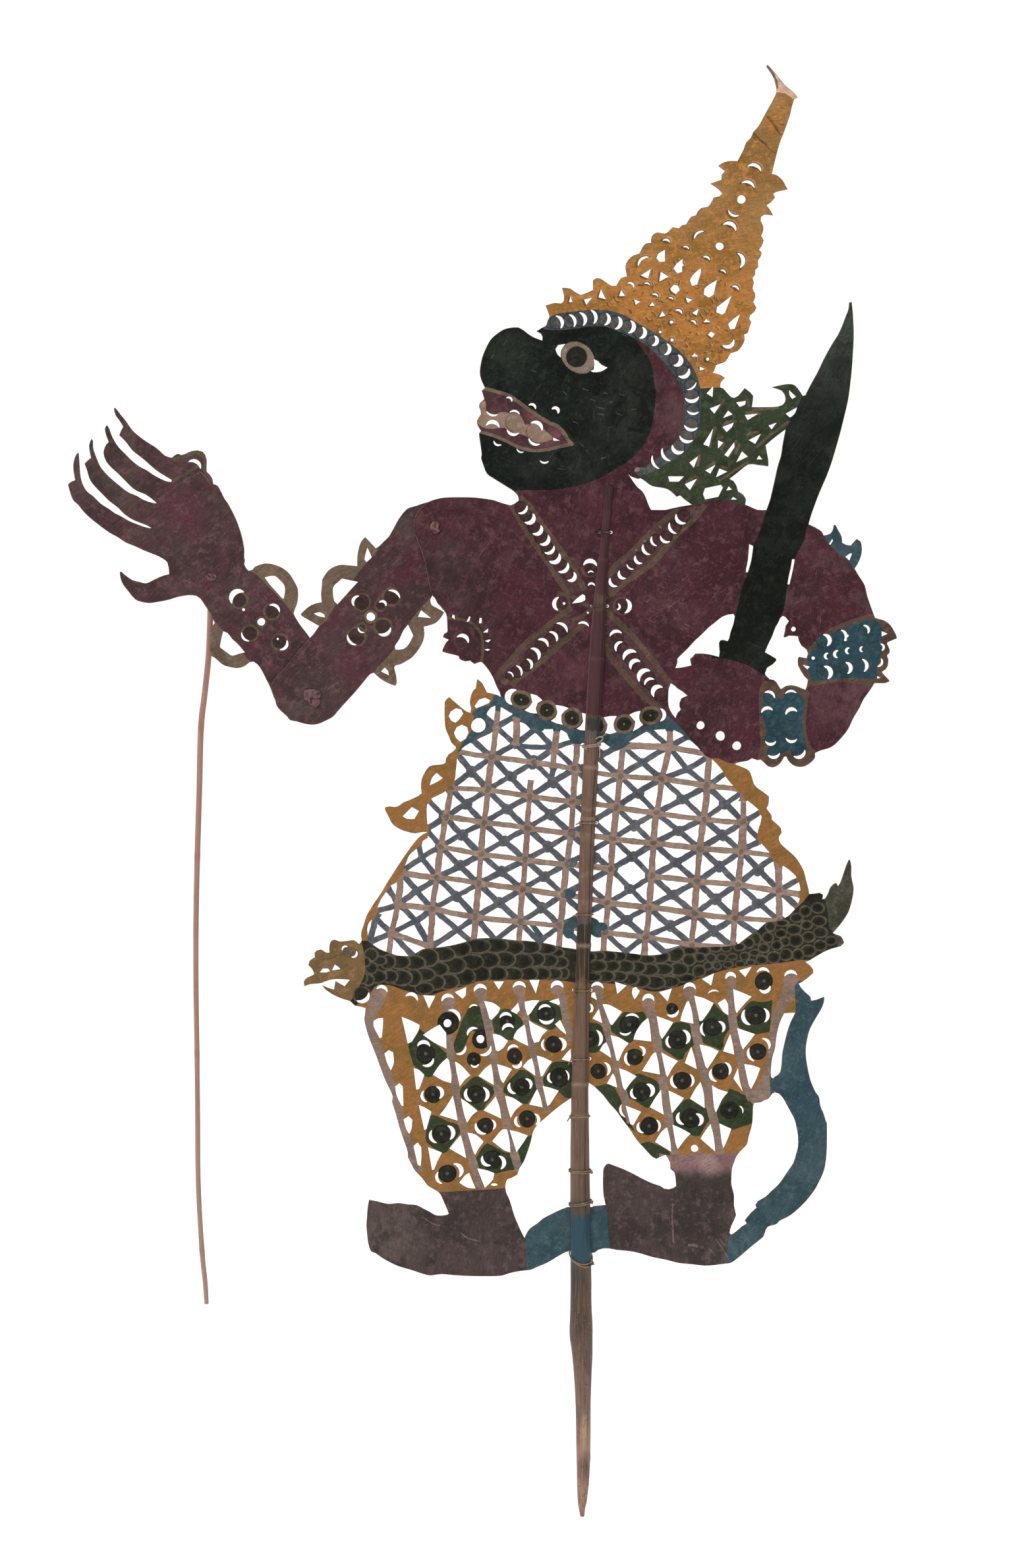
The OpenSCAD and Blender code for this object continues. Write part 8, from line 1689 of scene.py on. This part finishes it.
for z in levels:
    r = cane_r(z)
    if z > TOP - 1.3:
        r *= {1.2: 0.97, 0.4: 0.85, 0.0: 0.62}[round(TOP - z, 1)]
    k = put_ring(z, r, curve_at(z, 1), ring_angles(max(r, FLAT * 1.15)))
    for h in (0, NF):
        for i in range(h, h + NF - 1):
            faces.append((prev + i, prev + i + 1, k + i + 1, k + i))
        faces.append((prev + h + NF - 1, prev + h, k + h, k + h + NF - 1))
    prev = k
for h in (0, NF):
    faces.append(tuple(prev + h + i for i in range(NF)))
stick = mesh_object("cane_stick", [v / 1000 for v in verts], faces, ["cane"])
# attributes for the paint: painted shade in the crack, pale node rings, a painted highlight down the left side
float_attribute(stick, "crease_shade", crease_shade)
float_attribute(stick, "joint", joint)
float_attribute(stick, "left_highlight", left_highlight)
with_edges = stick.data.attributes.new("sharp_edge", "BOOLEAN", "EDGE")
flat_ends = {NF - 1, 0}
values = []
for e in stick.data.edges:
    a, b = (stick.data.vertices[v].co for v in e.vertices)
    values.append(abs(abs(a.y) - FLAT / 1000) < 1e-7 and abs(abs(b.y) - FLAT / 1000) < 1e-7 and a.z > 0.0279 and b.z > 0.0279)
with_edges.data.foreach_set("value", values)
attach(stick, "figure")
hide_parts("split_stick")

# thread ties round the stick, through the sheet
# how the slack turns hang, in mm: all of it, to the right, to the back
slack = {"tie_leg_lower": (1.1, -0.2, 0.5), "tie_tail_top": (1.2, 0.8, 0.5), "tie_tail_bottom": (4.2, -2.2, 4), "tie_waist": (0, 0.5, 0.4)}
for name, y, turns in ties:
    z = (2020 - y) / 3
    cx, r = along(z, 1), along(z, 2) + 0.53
    vs, fs = [], []
    sa, sb, sc = slack.get(name, (0, 0, 0.12))
    for t in range(turns):
        zt = z + (t - (turns - 1) / 2) * 0.86
        n = 96
        path = [Vector((cx + r * math.cos(2 * math.pi * i / n), r * math.sin(2 * math.pi * i / n), zt + sa + sb * math.cos(2 * math.pi * i / n) + sc * math.sin(2 * math.pi * i / n + 0.25 * t))) / 1000 for i in range(n)]
        rope(path, 0.00025, 0.0002, 0.0016, True, 7, 2, vs, fs)
    # knot with its two ends, on the left front or, low on the stick, at the right
    ka = math.radians(-18 if y > 1700 else 215)
    out = Vector((math.cos(ka), math.sin(ka), 0))
    side = Vector((-out.y, out.x, 0))
    up = Vector((0, 0, 1))
    c = Vector((cx, 0, z + sa + sb * math.cos(ka) + sc * math.sin(ka))) + out * (r + 0.42)
    n = 48
    path = []
    for i in range(n):
        a = 2 * math.pi * i / n
        q = (2 + math.cos(3 * a)) * 0.27
        path.append((c + side * (q * math.cos(2 * a)) + up * (q * math.sin(2 * a)) + out * (0.26 * math.sin(3 * a))) / 1000)
    rope(path, 0.00021, 0.00016, 0.0014, True, 6, 2, vs, fs)
    lr = random.Random(y)
    white = name == "tie_waist"
    for s in (-1, 1):
        L = (5.5 if white else 1.2 if y > 1700 else 2.6) * (0.8 + 0.5 * lr.random())
        d = (side * s * 0.8 + up * (lr.uniform(-0.9, 0.3)) + out * 0.25).normalized()
        pts = [c / 1000, (c + d * L * 0.35 + out * 0.35) / 1000, (c + d * L * 0.7 + out * 0.3 - up * 0.3) / 1000, (c + d * L + out * 0.1 - up * L * 0.16) / 1000]
        rope(curve_pts(pts, 0.00018), 0.00021, 0.00016, 0.0014, False, 6, 2, vs, fs)
    if white:
        # the loose loop beside the stick
        loop = [Vector((8.7 + 2.0 * math.cos(t) + 0.5 * math.sin(t), -2.9 - 0.5 * math.sin(t), 299 + 1.5 * math.sin(t) + 0.4 * math.cos(t))) / 1000 for t in [2 * math.pi * i / 48 for i in range(48)]]
        rope(loop, 0.00026, 0.00022, 0.0017, True, 7, 2, vs, fs)
        tail = [Vector(p) / 1000 for p in ((10.2, -2.7, 300.2), (11.4, -2.2, 301.2), (12.4, -1.6, 301.9), (13.0, -1.1, 302.2))]
        rope(curve_pts(tail, 0.00018), 0.00024, 0.0002, 0.0016, False, 6, 2, vs, fs)
        tail = [Vector(p) / 1000 for p in ((8.2, -3.1, 297.6), (9.0, -2.6, 295.4), (9.4, -2.0, 292.8), (9.2, -1.5, 290.2))]
        rope(curve_pts(tail, 0.00018), 0.00022, 0.00018, 0.0015, False, 6, 2, vs, fs)
    paint_name = "thread_pale" if white else "thread_dark" if y < 1000 else "thread_brown"
    ob = mesh_object(name + "_thread", vs, fs, [paint_name])
    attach(ob, "figure")
    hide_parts(name)


def head(y_free, y_seat, r, steps=6):
    """Half of a knot's outline, from its pole to its seat on the sheet: (radius, height, share of the folds)."""
    out = []
    for i in range(steps + 1):
        t = math.pi / 2 * (0.12 + 0.88 * i / steps)
        out.append((r * math.sin(t), y_free + (y_seat - y_free) * 0.62 * (1 - math.cos(t)), 0.35 + 0.65 * math.sin(2 * t)))
    d = 1 if y_seat > y_free else -1
    out += [(r * 0.985, y_free + (y_seat - y_free) * 0.8, 0.5), (r * 0.9, y_seat - d * 0.05, 0.0), (r * 0.9, y_seat, 0.0)]
    return out


def lump(name, at, drawn, y_free, y_seat, rest, mats, grooves, seed, n=64, crown=2.4):
    """A knotted strip of hide: in front a lump with a drawn outline and pressed clefts, then the shaft and the rear head as rings (radius, height, share of the folds).
    grooves is [(x, y, x, y, width, depth in mm)] on the template."""
    poly = soft(drawn, True, 75, 0.6)
    polar = sorted((math.atan2(at[1] - y, x - at[0]), math.dist((x, y), at) / 3) for x, y in poly)
    turn = [p[0] for p in polar]
    dist = [p[1] for p in polar]
    angles = [-math.pi + 2 * math.pi * j / n for j in range(n)]
    R = np.interp(angles, turn, dist, period=2 * math.pi)
    vs, fs, cr = [], [], []
    rings = []
    for i in range(11):
        t = math.sin(math.pi / 2 * (0.08 + 0.92 * i / 10))
        rings.append((t, y_free + (y_seat - y_free) * 0.84 * (1 - max(0.0, 1 - t ** crown) ** (1 / crown)), None))
    rings += [(0.985, y_seat - 0.1, None), (0.93, y_seat, None)] + list(rest)
    for r, level, f in rings:
        for j, a in enumerate(angles):
            c, s = math.cos(a), math.sin(a)
            g, y = 0.0, level
            if f is None:
                rr = R[j] * r
                px, py = at[0] + 3 * rr * c, at[1] - 3 * rr * s
                if r < 0.98:
                    for x1, y1, x2, y2, w, d in grooves:
                        L = math.dist((x1, y1), (x2, y2)) or 1
                        q = max(0, min(1, ((px - x1) * (x2 - x1) + (py - y1) * (y2 - y1)) / L ** 2))
                        k = math.exp(-(math.dist((px, py), (x1 + (x2 - x1) * q, y1 + (y2 - y1) * q)) / w) ** 2)
                        y += d * k * (y_seat - y_free) * 0.5
                        g = max(g, k * min(1, d * 1.3))
                    y += (y_seat - y_free) * 0.16 * noise.noise(Vector((px / 4.5, py / 4.5, seed)))
                    y = min(y, y_seat - 0.12)
            else:
                fold = math.sin(3 * a + r * 1.3 + seed) + 0.6 * noise.noise(Vector((c * 1.7, s * 1.7, seed + r * 0.3)))
                rr = r * (1 - f * 0.13 * (0.5 + 0.5 * fold)) * (1 + f * 0.09 * noise.noise(Vector((c * 2.3 + seed, s * 2.3, y))))
                y -= f * 0.3 * (0.5 + 0.5 * fold)
            # g: how deep a cleft is here; the paint darkens it as painted shade
            cr.append(g)
            vs.append(Vector((X(at[0]) * 1000 + rr * c, y, Z(at[1]) * 1000 + rr * s)) / 1000)
    m = len(rings)
    for i in range(m - 1):
        for j in range(n):
            a, b = i * n + j, i * n + (j + 1) % n
            fs.append((a, a + n, b + n, b))
    for i, flip in ((0, False), (m - 1, True)):
        k = len(vs)
        vs.append(sum((vs[i * n + j] for j in range(n)), Vector()) / n)
        cr.append(0.0)
        for j in range(n):
            a, b = i * n + j, i * n + (j + 1) % n
            fs.append((b, a, k)[::-1] if flip else (b, a, k))
    ob = mesh_object(name, vs, fs, mats)
    float_attribute(ob, "crease_shade", cr)
    return ob


sk = lump("shoulder_bead", shoulder, [(653, 799), (654.5, 795), (658, 792), (662.5, 791.5), (666.5, 794.5), (669, 799), (668.5, 804.5), (665, 808.5), (660.5, 810.5), (657, 808.5), (654, 804)], -2.1, -0.63,
    [(1.78, -0.63, 0), (1.78, 1.5, 0), (1.78, 2.4, 0)] + head(3.7, 2.4, 2.7)[::-1], ["bead"], [(661.5, 791, 660, 800, 1.3, 0.55), (668, 797, 667, 803, 1.4, 0.9), (656, 806, 663, 807, 1.0, 0.5)], 2.0)
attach(sk, "figure")
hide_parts("shoulder_knot")
ek = lump("elbow_tab", elbow, [(461, 1050), (464, 1047), (470, 1046), (477, 1046), (482, 1048), (485.5, 1050), (487, 1054), (486, 1058), (484.5, 1060), (486.5, 1064), (486, 1067), (483, 1071), (479.5, 1074.5),
    (476.5, 1072), (473, 1070.5), (470, 1068), (467, 1064), (463, 1062), (461, 1058)], -0.5, 0.87, [(1.78, 0.87, 0), (1.78, 2.2, 0), (1.78, 3.9, 0)] + head(5.2, 3.9, 3.6)[::-1], ["fold"],
    [(472, 1061, 472.5, 1067, 1.3, 0.8), (482, 1052.5, 484, 1052.5, 1.5, 0.95), (485, 1060.5, 472, 1060, 1.3, 0.45), (466, 1050, 465, 1058, 2, 0.25), (476, 1049, 474, 1057, 1.6, 0.3)], 5.0, crown=3.2)
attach(ek, "upper_arm")
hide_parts("elbow_knot")

# loop of cord at the wrist: a lump in front, the cord through the sheet, a ring behind that the rod hangs on
wx, wz = X(wrist[0]) * 1000, Z(wrist[1]) * 1000
vs, fs = [], []
lump_front = lump("hand_cord", wrist, [(311, 874), (314, 871), (318, 869.5), (323, 869.5), (327, 871), (329, 874), (328, 877.5), (324, 880.5), (319, 881.5), (314.5, 880)], 0.98, 2.09,
    [(0.95, 2.1, 0), (0.95, 3.4, 0), (0.95, 4.6, 0), (0.5, 4.75, 0)], ["wristcord"], [(314, 872, 319, 875.5, 1.2, 0.6), (323, 875.5, 325, 876.5, 1.2, 0.8), (321, 870, 322.5, 873, 1.0, 0.5)], 1.3, 40)
path = []
for i in range(96):
    a = 2 * math.pi * i / 96
    c, s = math.cos(a), math.sin(a)
    q = 0.42
    path.append(Vector((wx + 2.8 * math.copysign(abs(c) ** q, c), 6.35 + 1.65 * math.copysign(abs(s) ** q, s), wz)) / 1000)
rope(path, 0.00036, 0.00031, 0.0023, True, 9, 2, vs, fs)
ring = mesh_object("hand_cord_ring", vs, fs, ["cord_mauve"])
for ob in (lump_front, ring):
    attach(ob, "hand_loop")
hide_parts("hand_loop")

# arm rod: a shaved splint with low nodes and a drilled head
rod_line = [(318, 875), (317.5, 920), (315, 990), (309, 1050), (303, 1105), (300.5, 1200), (297.5, 1300), (295.5, 1400), (295.5, 1500), (297, 1600), (298, 1700), (299, 1800), (304.5, 1900), (309.5, 1950), (311.5, 1982)]
pts = [Vector((X(x), 0.008, Z(y))) for x, y in rod_line]
path = curve_pts(pts, 0.003)
top = [pts[0] + Vector((0, 0, d)) for d in (0.0013, 0.0009)]
path = top + path
rad, jn = [], []
for i, q in enumerate(path):
    r = 0.00128 + 0.00024 * smooth(Z(1700), Z(1000), q.z) + 0.00005 * noise.noise(Vector((0, 1.1, q.z * 60)))
    for y in (1103, 1302, 1603, 1898):
        e = math.exp(-((q.z - Z(y)) / 0.0016) ** 2)
        r += 0.00009 * e
    jn.append(max(math.exp(-((q.z - Z(y)) / 0.0014) ** 2) for y in (1103, 1302, 1603, 1898)))
    d = (path[0] - q).length
    r += 0.0001 * math.exp(-((d - 0.0015) / 0.002) ** 2)
    if d < 0.0004:
        r *= 0.8
    low = (q - path[-1]).length
    if low < 0.008:
        r *= 0.86 + 0.14 * low / 0.008
    rad.append(r)
N = 20
vs, fs = tube(path, rad, N)
rod = mesh_object("arm_splint", vs, fs, ["rod_wood"])
float_attribute(rod, "joint", [jn[min(i // N, len(jn) - 1)] for i in range(len(vs))])
drill = bpy.data.meshes.new("drill")
dv, df = tube([Vector((X(318) + d, 0.008, Z(875))) for d in (-0.004, -0.002, 0.002, 0.004)], 0.00076, 20)
drill.from_pydata([tuple(v) for v in dv], [], df)
cutter = bpy.data.objects.new("drill", drill)
bpy.context.scene.collection.objects.link(cutter)
md = rod.modifiers.new("bore", "BOOLEAN")
md.object = cutter
md.operation = "DIFFERENCE"
md.solver = "EXACT"
bpy.context.view_layer.update()
cut = bpy.data.meshes.new_from_object(rod.evaluated_get(bpy.context.evaluated_depsgraph_get()))
rod.modifiers.clear()
rod.data = cut
bpy.data.objects.remove(cutter)
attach(rod, "arm_rod")
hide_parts("arm_rod")

# ----------------------------------------------------------------------------
# Stage, light, camera
# ----------------------------------------------------------------------------
k = Nodes("stage")
n = k.noise(3.0, 3, 0.5)
k.finish(k.mix(k.ramp(n, 0.3, 0.7), (0.9, 0.89, 0.88, 1), (0.92, 0.91, 0.9, 1)), k.ramp(n, 0.3, 0.7, 0.8, 0.9), None, 0.1)
k.b.inputs["Emission Color"].default_value = (1.0, 0.985, 0.97, 1)
k.put(k.b.inputs["Emission Strength"], k.ramp(k.axis(1), -1.2, -0.3, 0.25, 0.62))
floor_z = cad_box[0][2] - 0.0005
vs = [Vector((0, 0, floor_z))] + [Vector((r * math.cos(2 * math.pi * i / 64), r * math.sin(2 * math.pi * i / 64), floor_z)) for r in (1.0, 4.0, 14.0) for i in range(64)]
fs = [(0, 1 + i, 1 + (i + 1) % 64) for i in range(64)]
fs += [(1 + 64 * q + i, 65 + 64 * q + i, 65 + 64 * q + (i + 1) % 64, 1 + 64 * q + (i + 1) % 64) for q in (0, 1) for i in range(64)]
stage = mesh_object("stage", vs, fs, ["stage"])

# a white surround: brightest behind the figure, dimmer in front and overhead
world = bpy.data.worlds.new("studio")
bpy.context.scene.world = world
world.use_nodes = True
wt = world.node_tree
bg = wt.nodes["Background"]
bg.inputs[0].default_value = (1.0, 0.99, 0.98, 1)
sep = wt.nodes.new("ShaderNodeSeparateXYZ")
wt.links.new(wt.nodes.new("ShaderNodeTexCoord").outputs["Generated"], sep.inputs[0])


def grade(src, lo, hi, a, b):
    n = wt.nodes.new("ShaderNodeMapRange")
    n.interpolation_type = "SMOOTHSTEP"
    for i, v in zip((1, 2, 3, 4), (lo, hi, a, b)):
        n.inputs[i].default_value = v
    wt.links.new(src, n.inputs[0])
    return n.outputs[0]


n = wt.nodes.new("ShaderNodeMath")
n.operation = "MULTIPLY"
wt.links.new(grade(sep.outputs[2], 0.22, 0.6, 1.0, 0.4), n.inputs[0])
wt.links.new(grade(sep.outputs[1], -0.3, 0.4, 0.74, 1.06), n.inputs[1])
wt.links.new(n.outputs[0], bg.inputs[1])


def lamp(name, at, to, size, power, col=(1, 0.99, 0.975)):
    d = bpy.data.lights.new(name, "AREA")
    d.shape = "DISK"
    d.size = size
    d.energy = power
    d.color = col
    ob = bpy.data.objects.new(name, d)
    bpy.context.scene.collection.objects.link(ob)
    ob.location = at
    ob.rotation_euler = (Vector(to) - Vector(at)).to_track_quat("-Z", "Y").to_euler()


lamp("key", (-1.5, -1.5, 2.0), (0, 0, 0.3), 0.7, 26)
lamp("rear", (1.5, 1.6, 2.0), (0, 0, 0.3), 0.9, 16)

cam = bpy.data.cameras.new("camera")
cam.lens = 85
cam.sensor_width = 36
cam.clip_end = 50
camera = bpy.data.objects.new("camera", cam)
bpy.context.scene.collection.objects.link(camera)
camera.location = (-0.0355, -1.873, 0.27667)
camera.rotation_euler = (math.pi / 2, 0, 0)
bpy.context.scene.camera = camera
bpy.context.scene.view_settings.view_transform = "Standard"
bpy.context.scene.view_settings.look = "None"

bpy.context.view_layer.update()
